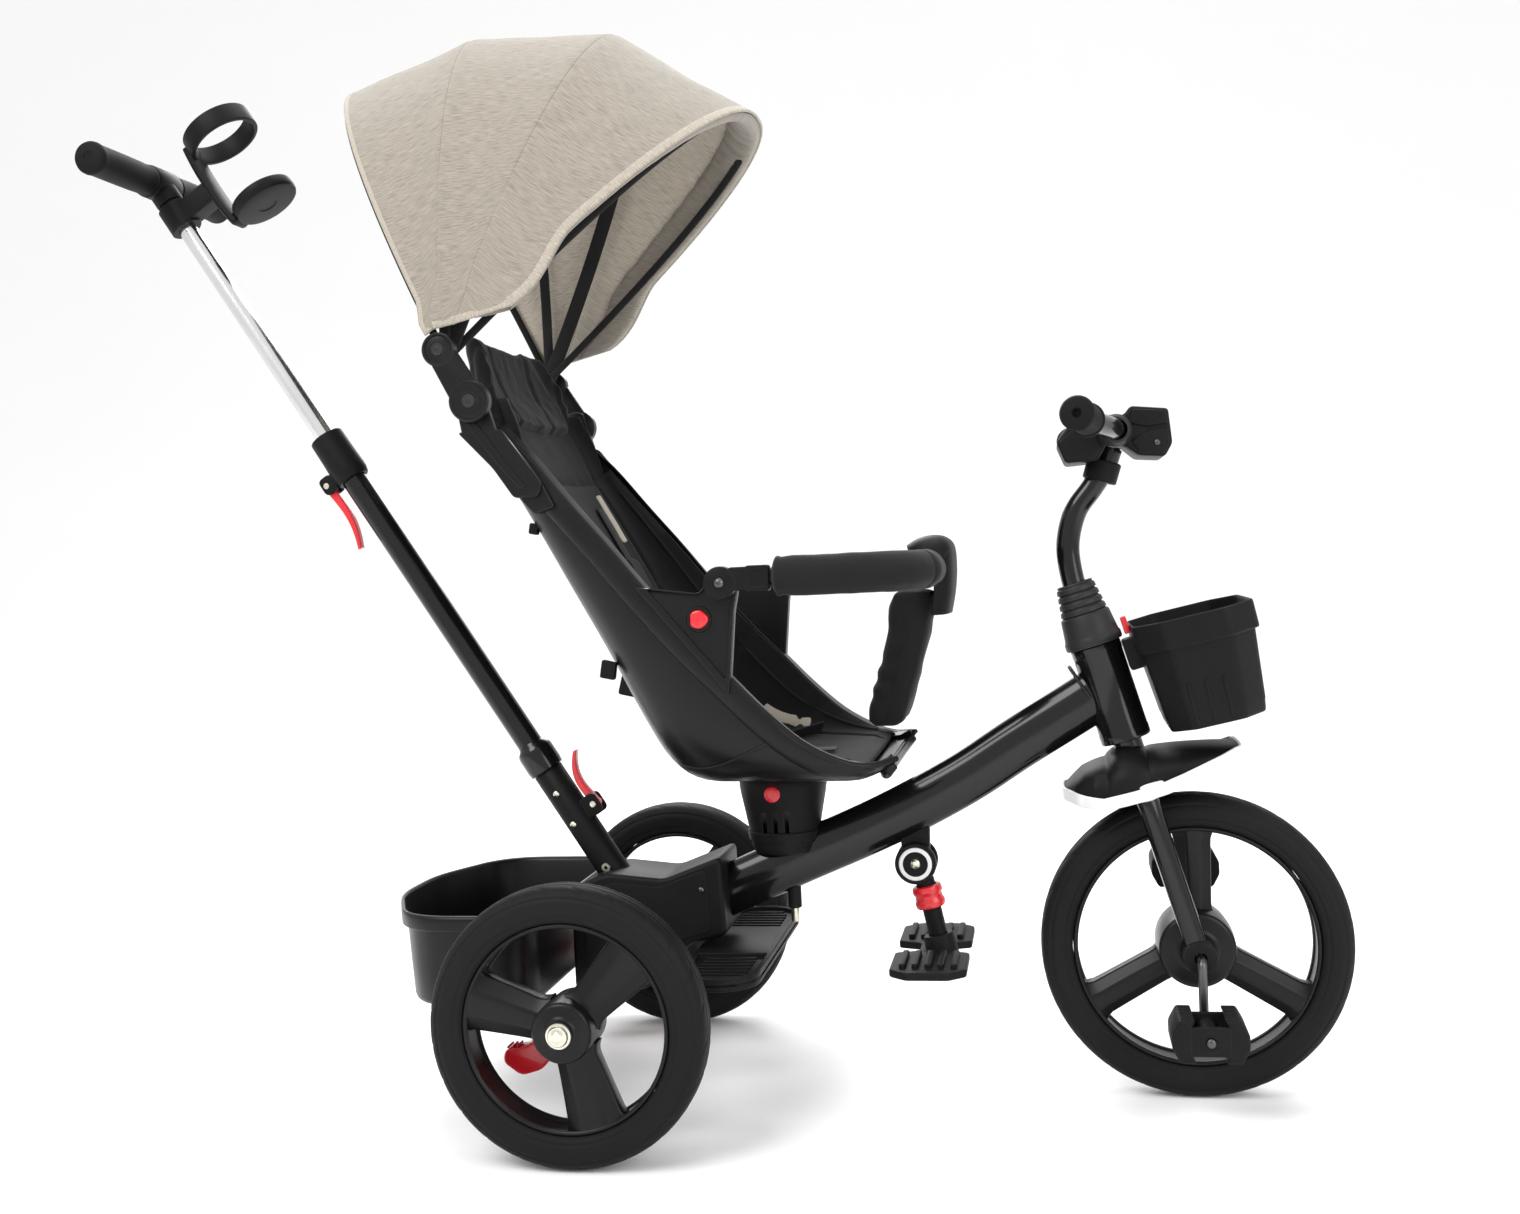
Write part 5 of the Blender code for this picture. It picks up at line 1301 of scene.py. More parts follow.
GUARD_TOP = [(0.434, 0.298), (0.452, 0.3150), (0.483, 0.3300), (0.516, 0.3345),
             (0.555, 0.3355), (0.592, 0.3362), (0.598, 0.3360)]
GUARD_EDGE = [(0.434, 0.2945), (0.452, 0.2900), (0.470, 0.2880), (0.500, 0.2955),
              (0.525, 0.3030), (0.560, 0.3180), (0.598, 0.3345)]
GUARD_WIDTH = [(0.434, 0.022), (0.445, 0.045), (0.462, 0.0565), (0.490, 0.0600),
               (0.540, 0.0590), (0.575, 0.0500), (0.590, 0.0380), (0.598, 0.0240)]


def read_line(table, x):
    xs, ys = zip(*table)
    return float(np.interp(x, xs, ys))


GUARD_LOBES = [(0.430, 0.474, 0.0030), (0.474, 0.511, 0.0066), (0.511, 0.610, 0.0036)]


def guard_lobes(x):
    """How far the fender's three lobes swell at a place along it, with a valley between them."""
    for start, end, high in GUARD_LOBES:
        if start <= x <= end:
            away = (2 * x - start - end) / (end - start)
            return high * math.sqrt(max(0.0, 1 - away * away))
    return 0.0


def build_mudguard():
    """Crowned fender in three lobes, and the white trim round its lower edge."""
    xs = np.linspace(0.434, 0.5965, 110)
    rows = []
    for x in xs:
        crown, edge = read_line(GUARD_TOP, x), read_line(GUARD_EDGE, x)
        lobe = guard_lobes(x)
        half = read_line(GUARD_WIDTH, x) - 0.0035 + lobe * 0.5
        row = []
        for t in np.linspace(-1, 1, 45):
            a = t * math.pi / 2
            across = math.copysign(abs(math.sin(a)) ** 0.8, t) * half
            rise = math.cos(a) ** 0.62
            row.append(at(x, across, edge + max(crown + lobe - 0.004 - edge, 0.0006) * rise))
        rows.append(row)
    verts, faces = stitch(rows)
    made = mesh_object("fender", verts, faces)
    wall = made.modifiers.new("wall", "SOLIDIFY")
    wall.thickness, wall.offset = 0.0028, 1.0 if made.data.polygons[0].normal.z < 0 else -1.0
    apply_modifiers(made)
    dress(tidy_mesh(made), "matt", "steering", "mudguard", angle=50)
    near = [(x, -read_line(GUARD_WIDTH, x) - 0.0004) for x in xs[::4]]
    loop = near + [(x, -y) for x, y in reversed(near)]
    fine = smooth(loop, 3, closed=True)
    path = [at(p.x, p.y, read_line(GUARD_EDGE, min(max(p.x, 0.434), 0.598)) - 0.0022)
            for p in fine]
    section = rounded([(-0.0014, -0.0058), (0.0014, -0.0058), (0.0014, 0.0058),
                       (-0.0014, 0.0058)], 0.0012, 3)
    rows = []
    for i, point in enumerate(path):
        tangent = (path[(i + 1) % len(path)] - path[i - 1]).normalized()
        up = (Vector((0, 0, 1)) - tangent * tangent.z).normalized()
        out = tangent.cross(up)
        rows.append([point + out * a + up * b for a, b in section])
    verts, faces = stitch(rows, closed_rows=True, closed_columns=True)
    trim = tidy_mesh(mesh_object("fender_trim", verts, faces))
    dress(trim, "white", "steering", "mudguard_band", angle=50)
    flap = outline_solid("fender_flap", [rounded([(0.497, 0.3020), (0.524, 0.3085),
                                                  (0.526, 0.2960), (0.512, 0.2890),
                                                  (0.500, 0.2870)], 0.004)], 0.118, at(0, 0, 0),
                         0.0016)
    cavity = outline_solid("cavity", [[(0.48, 0.27), (0.54, 0.27), (0.54, 0.33), (0.48, 0.33)]],
                           0.1135, at(0, 0, 0), 0.0001)
    dress(combine(flap, cavity), "white", "steering")


def build_crank():
    """Bent rod through the hub, and two open-framed pedals."""
    hub = steer(0)
    low = hub.z - CRANK
    near = [(-0.1405, low), (-0.120, low), (-0.0820, low), (-0.0765, low + 0.0008),
            (-0.0738, low + 0.0040), (-0.0735, low + 0.012), (-0.0735, hub.z - 0.012),
            (-0.0732, hub.z - 0.0040), (-0.0705, hub.z - 0.0008), (-0.0650, hub.z),
            (-0.030, hub.z)]
    path = [Vector((hub.x, y, z)) for y, z in near]
    path += [Vector((hub.x, -p.y, 2 * hub.z - p.z)) for p in reversed(path)]
    rod = sweep("crank_rod", smooth(path, 3), circle(0.0042, 20), Vector((1, 0, 0)), ends=0.002)
    dress(rod, "dark_steel", "crank", "crankshaft", angle=60)
    for side, word in ((-1, "right"), (1, "left")):
        boss = lathe("crank_boss_" + word, [(0.0046, 0.0050), (0.0120, 0.0050),
                                            (0.0150, 0.0030), (0.0160, 0.0), (0.0160, -0.0045),
                                            (0.0046, -0.0045)],
                     steer(0, side * 0.0388), (0, side, 0), 48, ring=True)
        dress(boss, "matt", "front_wheel")
        centre = Vector((hub.x, side * 0.110, hub.z + side * CRANK))
        build_pedal(word, centre)


def build_pedal(word, centre):
    """Two tread blocks and end cheeks round a barrel, with the middle open."""
    pieces = []
    for way in (-1, 1):
        block = [(0.0125 * way, -0.0188), (0.0262 * way, -0.0188), (0.0330 * way, -0.0062),
                 (0.0330 * way, 0.0062), (0.0262 * way, 0.0188), (0.0125 * way, 0.0188),
                 (0.0165 * way, 0.0120), (0.0165 * way, -0.0120)]
        pieces.append(outline_solid("block", [rounded(block, 0.0025)], 0.052, centre, 0.0016))
        for k in range(5):
            y = -0.0190 + 0.0095 * k
            for high in (-0.0188, 0.0188):
                tooth = sweep("tooth", [centre + Vector((0.0145 * way, y, high)),
                                        centre + Vector((0.0250 * way, y, high))],
                              circle(0.0013, 8), Vector((0, 0, 1)), ends=0.001)
                pieces.append(tooth)
        cheek = [(-0.0260, -0.0130), (0.0260, -0.0130), (0.0260, 0.0130), (-0.0260, 0.0130)]
        pieces.append(outline_solid("cheek", [rounded(cheek, 0.006)], 0.0040,
                                    centre + ACROSS * (way * 0.0235), 0.0010))
    barrel = [(0.0048, 0.0265), (0.0088, 0.0265), (0.0096, 0.0255), (0.0096, -0.0255),
              (0.0088, -0.0265), (0.0048, -0.0265)]
    pieces.append(lathe("barrel", barrel, centre, ACROSS, 32, ring=True))
    dress(merged("pedal_block_" + word, pieces), "coarse", "pedal_" + word, "pedal_" + word,
          angle=40)


# ---------------------------------------------------------------- footrest
def leg_point(z):
    return at(FOOT_PIVOT[0] + 0.0035 + LEG_SLOPE * (FOOT_PIVOT[1] - z), 0, z)


def build_footrest():
    x, z = FOOT_PIVOT
    lug = [*arc((x, z), 0.0142, 160, 380, 36), (x + 0.0145, z + 0.045), (x - 0.0145, z + 0.038)]
    made = outline_solid("footrest_lug", [lug], 0.0158, at(0, 0, 0), 0.0012)
    dress(made, "matt", "frame", "footrest_bracket", angle=50)
    pieces = []
    for side in (-1, 1):
        pieces.append(lathe("cheek", [(0.0050, 0.0158), (0.0190, 0.0158), (0.0201, 0.0145),
                                      (0.0202, 0.0095), (0.0195, 0.0086), (0.0050, 0.0086)],
                            at(x, 0, z), (0, side, 0), 72, ring=True))
        pieces.append(lathe("pin", [(0, 0.0142), (0.0060, 0.0142), (0.0060, 0.0088),
                                    (0, 0.0088)], at(x, 0, z), (0, side, 0), 40))
    web = [*arc((x, z), 0.0150, 232, 346, 24), *reversed(arc((x, z), 0.0196, 232, 346, 24))]
    pieces.append(outline_solid("web", [web], 0.030, at(0, 0, 0), 0.0008))
    pieces.append(sweep("leg", [leg_point(0.1475), leg_point(0.175), leg_point(z - 0.0172)],
                        circle(0.0093, 32), ACROSS))
    dress(merged("footrest_leg", pieces), "matt", "footrest", "footrest_stem", angle=40)
    for side, word in ((-1, "right"), (1, "left")):
        ring = [(0.0122, 0.0012), (0.0150, 0.0012), (0.0160, 0.0004), (0.0160, -0.0010),
                (0.0122, -0.0010)]
        dress(lathe("footrest_ring_" + word, ring, at(x, side * 0.0158, z), (0, side, 0), 64,
                    ring=True), "white", "footrest")
        screw_head("footrest_bolt_" + word, at(x, side * 0.0142, z), (0, side, 0), 0.0055,
                   "zinc", "footrest")
    collar = [(0.0102, 0.0110), (0.0125, 0.0110), (0.0142, 0.0098), (0.0148, 0.0062),
              (0.0146, 0.0040), (0.0134, 0.0022), (0.0134, -0.0022), (0.0146, -0.0040),
              (0.0148, -0.0062), (0.0142, -0.0098), (0.0125, -0.0110), (0.0102, -0.0110)]
    made = lathe("lock_ring", collar, leg_point(0.1900), (-LEG_SLOPE, 0, 1), 64, ring=True)
    dress(made, "red", "footrest_lock", "footrest_collar", angle=35)
    half = [(0.013, 0.014), (0.036, 0.022), (0.036, 0.086), (0.020, 0.100), (-0.020, 0.100),
            (-0.036, 0.086), (-0.036, 0.022), (-0.013, 0.014)]
    outline = half + [(px, -py) for px, py in reversed(half)]
    outline = [(px + 0.3035, py) for px, py in outline]
    board = outline_solid("board", [rounded(outline, 0.004)], 0.0075, at(0, 0, 0.1362), 0.0018,
                          False)
    pieces = [board]
    for side in (-1, 1):
        for k in range(5):
            px = 0.2795 + 0.012 * k
            bar = [(px - 0.0030, side * 0.030), (px + 0.0030, side * 0.030),
                   (px + 0.0030, side * 0.084), (px - 0.0030, side * 0.084)]
            pieces.append(outline_solid("bar", [rounded(bar, 0.0025)], 0.0056,
                                        at(0, 0, 0.1415), 0.0012, False))
    hub = [(0.0095, 0.1530), (0.0138, 0.1530), (0.0150, 0.1515), (0.0158, 0.1335),
           (0.0095, 0.1335)]
    foot = leg_point(0.143)
    pieces.append(lathe("hub", [(r, h - 0.143) for r, h in hub], foot, (-LEG_SLOPE, 0, 1), 48,
                        ring=True))
    dress(merged("footrest_board", pieces), "coarse", "footrest", "footrest_pads", angle=40)


# ---------------------------------------------------------------- seat
SEAT_STATIONS = [
    ((-0.075, 0.662), (-0.092, 0.640), 0.146),
    ((-0.040, 0.629), (-0.074, 0.606), 0.150),
    ((-0.004, 0.586), (-0.047, 0.556), 0.153),
    ((0.032, 0.544), (-0.018, 0.499), 0.154),
    ((0.067, 0.501), (0.012, 0.441), 0.154),
    ((0.110, 0.452), (0.043, 0.376), 0.154),
    ((0.140, 0.422), (0.068, 0.334), 0.154),
    ((0.172, 0.389), (0.100, SEAT_BASE_Z), 0.153),
    ((0.205, 0.360), (0.158, SEAT_BASE_Z), 0.151),
    ((0.238, 0.342), (0.215, SEAT_BASE_Z), 0.145),
    ((0.262, 0.336), (0.248, 0.3165), 0.132),
    ((0.284, 0.339), (0.272, 0.3240), 0.108),
]
HEAD_STATIONS = [
    ((-0.100, 0.754), (-0.124, 0.752), 0.100),
    ((-0.086, 0.734), (-0.120, 0.726), 0.112),
    ((-0.074, 0.696), (-0.109, 0.694), 0.122),
    ((-0.068, 0.656), (-0.086, 0.658), 0.128),
]


def seat_rows(inset, columns=48, stations=SEAT_STATIONS, spans=4, reach=1.0):
    """Fine cross sections of the bucket, a distance inside its outer face."""
    table = smooth([(rx, rz, mx, mz, half) for (rx, rz), (mx, mz), half in stations], spans)
    rows = []
    for rx, rz, mx, mz, half in table:
        rim_point, mid_point = Vector((rx, rz)), Vector((mx, mz))
        mid_point = mid_point + (rim_point - mid_point).normalized() * inset
        row = []
        for i in range(columns + 1):
            t = (-1 + 2 * i / columns) * reach
            angle = abs(t) * math.pi / 2
            across = math.copysign(math.sin(angle) ** 0.62 * (half - inset), t) if t else 0.0
            depth = math.cos(angle) ** 0.62 if abs(t) < 1 else 0.0
            point = rim_point + (mid_point - rim_point) * depth
            row.append(at(point.x, across, point.y))
        rows.append(row)
    return rows


def sheet_solid(name, rows, wall):
    """Grid of points thickened inwards."""
    verts, faces = stitch(rows)
    made = mesh_object(name, verts, faces)
    skin = made.modifiers.new("wall", "SOLIDIFY")
    skin.thickness, skin.offset, skin.use_even_offset = wall, -1.0, True
    apply_modifiers(made)
    return made


def shell_side(values, deep, side, proud):
    """Point on the outside of the bucket, a distance down from its rim."""
    rx, rz, mx, mz, half = values
    rim_point, mid_point = Vector((rx, rz)), Vector((mx, mz))
    share = min(0.8, deep / (mid_point - rim_point).length)
    angle = math.acos(share ** (1 / 0.62))
    point = rim_point + (mid_point - rim_point) * share
    return at(point.x, side * (math.sin(angle) ** 0.62 * half + proud), point.y)


def build_flange():
    """Rolled band down both sides of the bucket."""
    table = smooth([(rx, rz, mx, mz, half) for (rx, rz), (mx, mz), half in SEAT_STATIONS], 4)
    drops = (-0.0015, 0.0, 0.004, 0.009, 0.014, 0.0185, 0.0200)
    lifts = (0.0008, 0.0028, 0.0036, 0.0038, 0.0034, 0.0026, 0.0010)
    for side, word in ((-1, "right"), (1, "left")):
        rows = []
        for values in table:
            outer = [shell_side(values, max(d, 0.0), side, lift)
                     + Vector((0, 0, 0.0015 if d < 0 else 0)) for d, lift in zip(drops, lifts)]
            inner = [shell_side(values, d, side, -0.0010) for d in (0.0200, 0.010, 0.0)]
            rows.append(outer + inner)
        verts, faces = stitch(rows, closed_columns=True)
        count = len(rows[0])
        faces += [tuple(range(count)), tuple(range(len(verts) - 1, len(verts) - count - 1, -1))]
        made = tidy_mesh(mesh_object("bucket_flange_" + word, verts, faces))
        dress(made, "satin", "seat", angle=50)
    front = [p + Vector((-0.0015, 0, -0.0035)) for p in seat_rows(0.0)[-1][::3]]
    roll = sweep("bucket_front_roll", smooth(front, 3), circle(0.0056, 18), Vector((1, 0, 0)),
                 ends=0.003)
    dress(roll, "satin", "seat", angle=60)


SHELL_JOIN = [(0.088, 0.338), (0.100, 0.3365), (0.115, 0.3375), (0.135, 0.343),
              (0.160, 0.354), (0.184, 0.3645)]


def build_join(shell):
    """Raised line where the seat pan meets the back moulding, laid on the bucket's side."""
    mesh = shell.data
    tree = BVHTree.FromPolygons([v.co for v in mesh.vertices],
                                [tuple(p.vertices) for p in mesh.polygons])
    line = smooth([(x, z) for x, z in SHELL_JOIN], 8)
    for side, word in ((-1, "right"), (1, "left")):
        path = []
        for x, z in line:
            hit = tree.ray_cast(at(x, side * 0.4, z), Vector((0, -side, 0)))[0]
            if hit:
                path.append(hit + Vector((0, side * 0.0004, 0)))
        bead = sweep("bucket_join_" + word, path, circle(0.0013, 10), Vector((0, 0, 1)),
                     ends=0.001)
        dress(bead, "satin", "seat", angle=80)


EAR = [(0.060, 0.505), (0.118, 0.497), (0.1275, 0.5075), (0.1335, 0.518), (0.1485, 0.518),
       (0.1555, 0.506), (0.1500, 0.480), (0.1430, 0.405)]


def build_shell():
    """Bucket with a rolled rim, join line, flange, ears and back lugs."""
    made = sheet_solid("bucket", seat_rows(0.0), SHELL_WALL)
    dress(made, "satin", "seat", "seat_shell", angle=60)
    build_join(made)
    build_flange()
    rows = seat_rows(0.0)
    near = [row[0] for row in rows]
    far = [row[-1] for row in rows]
    top, front = rows[0], rows[-1]
    loop = near + list(front[1:-1]) + list(reversed(far)) + list(reversed(top[1:-1]))
    middle = sum(loop, Vector()) / len(loop)
    keep = [loop[0]]
    for point in loop[1:]:
        if (point - keep[-1]).length > 0.006:
            keep.append(point)
    if (keep[-1] - keep[0]).length < 0.005:
        keep.pop()
    count = len(keep)
    section = [(-0.0026, -0.0016), (-0.0010, -0.0030), (0.0014, -0.0030), (0.0028, -0.0014),
               (0.0030, 0.0010), (0.0018, 0.0026), (-0.0020, 0.0030), (-0.0125, 0.0030),
               (-0.0132, 0.0020), (-0.0125, 0.0008), (-0.0040, 0.0004)]
    rows = []
    for i, point in enumerate(keep):
        tangent = (keep[(i + 1) % count] - keep[i - 1]).normalized()
        out = point - middle
        if abs(tangent.y) < 0.6:
            out = Vector((out.x * 0.35, out.y, 0.0))
        else:
            out = Vector((out.x, 0, 0.4 * out.x))
        out = (out - tangent * tangent.dot(out)).normalized()
        rise = tangent.cross(out)
        if rise.z + rise.x * 0.6 < 0:
            rise = -rise
        rows.append([point + out * a + rise * b for a, b in section])
    verts, faces = stitch(rows, closed_rows=True, closed_columns=True)
    dress(tidy_mesh(mesh_object("bucket_rim", verts, faces)), "satin", "seat", angle=50)
    for side, word in ((-1, "right"), (1, "left")):
        build_ear(side, word)
    build_back_lugs()


def build_ear(side, word):
    """Side mount: a plate with a raised border and the bar's release button."""
    fine = rounded(EAR, 0.004)
    plate = outline_solid("plate", [fine], 0.0110, at(0, side * 0.1525, 0), 0.0016)
    centre = Vector((sum(p[0] for p in EAR) / 8, sum(p[1] for p in EAR) / 8))
    inner = [tuple(centre + (Vector(p) - centre) * 0.84) for p in EAR]
    border = outline_solid("border", [fine, rounded(inner, 0.004)], 0.0034,
                           at(0, side * 0.1592, 0), 0.0010)
    well = lathe("well", [(0.0088, 0.1592), (0.0112, 0.1592), (0.0122, 0.1582),
                          (0.0124, 0.1560), (0.0088, 0.1560)], at(0.118, 0, 0.474),
                 (0, side, 0), 56, ring=True)
    dress(merged("seat_ear_" + word, [plate, border, well]), "satin", "seat", angle=45)
    tri = arc((0.118, 0.474), 0.0084, 0, 345, 24)
    shaped = [(x + 0.0009 * math.cos(3 * math.atan2(z - 0.474, x - 0.118)) * (x - 0.118) / 0.0084,
               z) for x, z in tri]
    button = outline_solid("release_" + word, [shaped], 0.0100, at(0, side * 0.1585, 0), 0.0022)
    dress(button, "red", "seat_button_" + word, "side_button_" + word)


def build_back_lugs():
    """Small clips down the back of the bucket, a hinge block and the swivel plate."""
    for k, (x, z, y) in enumerate(((-0.0480, 0.5625, 0.1330), (0.0215, 0.4290, 0.1340))):
        for side in (-1, 1):
            size = 0.62 if k == 0 else 1.0
            corners = ((-0.0075, -0.0070), (0.0065, -0.0100), (0.0090, 0.0060), (-0.0045, 0.0095))
            shift = 0.004 if k == 0 else 0.0
            lug = outline_solid(f"back_lug_{k}_{'rl'[side > 0]}",
                                [rounded([(x + shift + a * size, z + b * size)
                                          for a, b in corners], 0.002)],
                                0.0080, at(0, side * (y - 0.012), 0), 0.0012)
            dress(lug, "matt", "seat")
    block = outline_solid("back_block", [rounded([(0.004, 0.398), (0.030, 0.392),
                                                  (0.036, 0.410), (0.009, 0.417)], 0.003)],
                          0.060, at(0, 0, 0), 0.0020)
    dress(block, "matt", "seat")
    plate = lathe("swivel_plate", [(0, SEAT_BASE_Z + 0.0016), (0.0520, SEAT_BASE_Z + 0.0016),
                                   (0.0540, SEAT_BASE_Z + 0.0006), (0.0540, SEAT_BASE_Z - 0.0004),
                                   (0, SEAT_BASE_Z - 0.0004)], at(SEAT_AXIS_X, 0, 0), (0, 0, 1),
                  72)
    dress(plate, "matt", "seat")


def padding(made, frames=16, pressure=4.0, voxel=0.006, cap=0.006):
    """Swell a closed mesh with cloth pressure, limit how far it may move, and apply."""
    remesh = made.modifiers.new("remesh", "REMESH")
    remesh.mode, remesh.voxel_size = "VOXEL", voxel
    apply_modifiers(made)
    rest = np.array([v.co for v in made.data.vertices])
    scene = bpy.context.scene
    cloth = made.modifiers.new("cloth", "CLOTH")
    settings = cloth.settings
    settings.use_pressure = True
    settings.uniform_pressure_force = pressure
    settings.effector_weights.gravity = 0.0
    settings.quality = 6
    settings.tension_stiffness = settings.compression_stiffness = 12
    cloth.point_cache.frame_start, cloth.point_cache.frame_end = 1, frames
    for step in range(1, frames + 1):
        scene.frame_set(step)
    moved = made.evaluated_get(bpy.context.evaluated_depsgraph_get()).data
    after = np.array([v.co for v in moved.vertices])
    made.modifiers.clear()
    scene.frame_set(1)
    if after.shape == rest.shape:
        shift = after - rest
        far = np.linalg.norm(shift, axis=1, keepdims=True)
        after = rest + shift * np.minimum(1.0, cap / np.maximum(far, 1e-9))
        made.data.vertices.foreach_set("co", after.ravel())
    return made


def refine(made, level=1):
    step = made.modifiers.new("fine", "SUBSURF")
    step.levels = step.render_levels = level
    return apply_modifiers(made)


def displace(made, field):
    """Move each point along its normal by field(point, normal)."""
    made.data.update()
    normals = np.zeros(len(made.data.vertices) * 3)
    made.data.vertices.foreach_get("normal", normals)
    normals = normals.reshape(-1, 3)
    for vertex, normal in zip(made.data.vertices, normals):
        direction = Vector(normal)
        vertex.co = vertex.co + direction * field(vertex.co, direction)
    made.data.update()
    return made


LINER_SEAMS = (0.27, 0.52, 0.76)


def build_liner():
    """Padded liner with sewn channels, a piped edge and paler side slivers."""
    table = seat_rows(SHELL_WALL + 0.0052, 72, SEAT_STATIONS[1:-1], 8)
    lengths = [0.0]
    for a, b in zip(table, table[1:]):
        lengths.append(lengths[-1] + (b[36] - a[36]).length)
    whole = lengths[-1]
    inner, outer = [], []
    for r, row in enumerate(table):
        share = lengths[r] / whole
        front, back = [], []
        for c, point in enumerate(row):
            t = -1 + 2 * c / 72
            before, after = row[max(c - 1, 0)], row[min(c + 1, 72)]
            up, down = table[max(r - 1, 0)][c], table[min(r + 1, len(table) - 1)][c]
            normal = (after - before).cross(down - up).normalized()
            toward = at(0.12, 0, 0.52) - point
            if normal.dot(toward) < 0:
                normal = -normal
            edge = min(share, 1 - share) * whole
            hem = min(1.0, edge / 0.012) * min(1.0, (1 - abs(t)) / 0.06 + 0.25)
            seam = max(crease((share - s) * whole, 0.0035) for s in LINER_SEAMS)
            side_seam = max(crease((abs(t) - 0.52) * 0.20, 0.0030),
                            crease(t * 0.20, 0.0030) if 0.08 < share < 0.60 else 0.0)
            puff = 0.0030 + sizes().puff * hem * (1 - 0.78 * max(seam, side_seam))
            puff += 0.0008 * folds(point, 26.0, 3.0) * hem
            front.append(point + normal * (puff + 0.0015))
            back.append(point + normal * 0.0006)
        inner.append(front)
        outer.append(back)
    rows = [a + list(reversed(b)) for a, b in zip(inner, outer)]
    verts, faces = stitch(rows, closed_columns=True)
    count = len(rows[0])
    for base in (0, len(verts) - count):
        for c in range(count // 2 - 1):
            faces.append((base + c, base + c + 1, base + count - 2 - c, base + count - 1 - c))
    made = tidy_mesh(mesh_object("liner_pad", verts, faces))
    dress(made, "weave", "seat", "seat_liner", angle=70)
    for k, c in enumerate((2, 70)):
        line = [row[c] for row in inner][4:-3]
        tape = sweep("liner_piping_" + "rl"[k], line[::2], circle(sizes().piping, 10),
                     ACROSS + Vector((0.01, 0, 0.3)), ends=0.001)
        dress(tape, "weave", "seat")
        for j, (away, a, b) in enumerate(((14, 3, 12), (27, 44, 55))):
            column = 36 + (away if k else -away)
            strip = sweep(f"liner_trim_{'rl'[k]}_{j}", [row[column] for row in inner[a:b]],
                          strap_section(0.012, 0.0024),
                          (inner[a + 1][column + 1] - inner[a + 1][column - 1]), ends=0.002)
            dress(strip, "binding", "seat")
    return inner


def build_headrest():
    """Winged head support: swollen with cloth pressure, then folded and seamed."""
    rows = seat_rows(0.0045, 30, HEAD_STATIONS, 4)
    made = sheet_solid("head_support", rows, 0.0100)
    padding(tidy_mesh(made), 14, sizes().pressure, 0.0055, 0.0035)
    refine(made)

    def field(point, normal):
        y = abs(point.y)
        seam = max(crease(y - 0.052, 0.0035), crease(y - 0.104, 0.003))
        wrinkle = folds(point, 34.0, 5.0) * 0.0016 + folds(point, 78.0, 9.0) * 0.0006
        return wrinkle - 0.0022 * seam
    displace(made, field)
    dress(made, "weave", "seat", "headrest", angle=180)
    for side in (-1, 1):
        path = smooth([at(-0.080, side * 0.070, 0.680), at(-0.083, side * 0.070, 0.655),
                       at(-0.078, side * 0.068, 0.632)], 4)
        strap = sweep("head_strap_" + "rl"[side > 0], path, strap_section(0.020, 0.0018), ACROSS)
        dress(strap, "webbing", "seat")


def build_apron(inner):
    """Quilted flap that joins the liner's top to the head support."""
    rows = []
    for k in range(8):
        t = k / 7
        row = []
        for c in range(6, 67):
            low = inner[1][c]
            away = (c - 36) / 30
            high = at(-0.096 + 0.030 * abs(away) ** 2, low.y * 0.86, 0.686)
            spot = low.lerp(high, t)
            spot += Vector((0.004 * math.sin(math.pi * t) + 0.0012 * folds(spot, 40.0, 11.0), 0, 0))
            row.append(spot)
        rows.append(row)
    made = sheet_solid("liner_apron", rows, 0.0040)
    dress(made, "weave", "seat", angle=180)


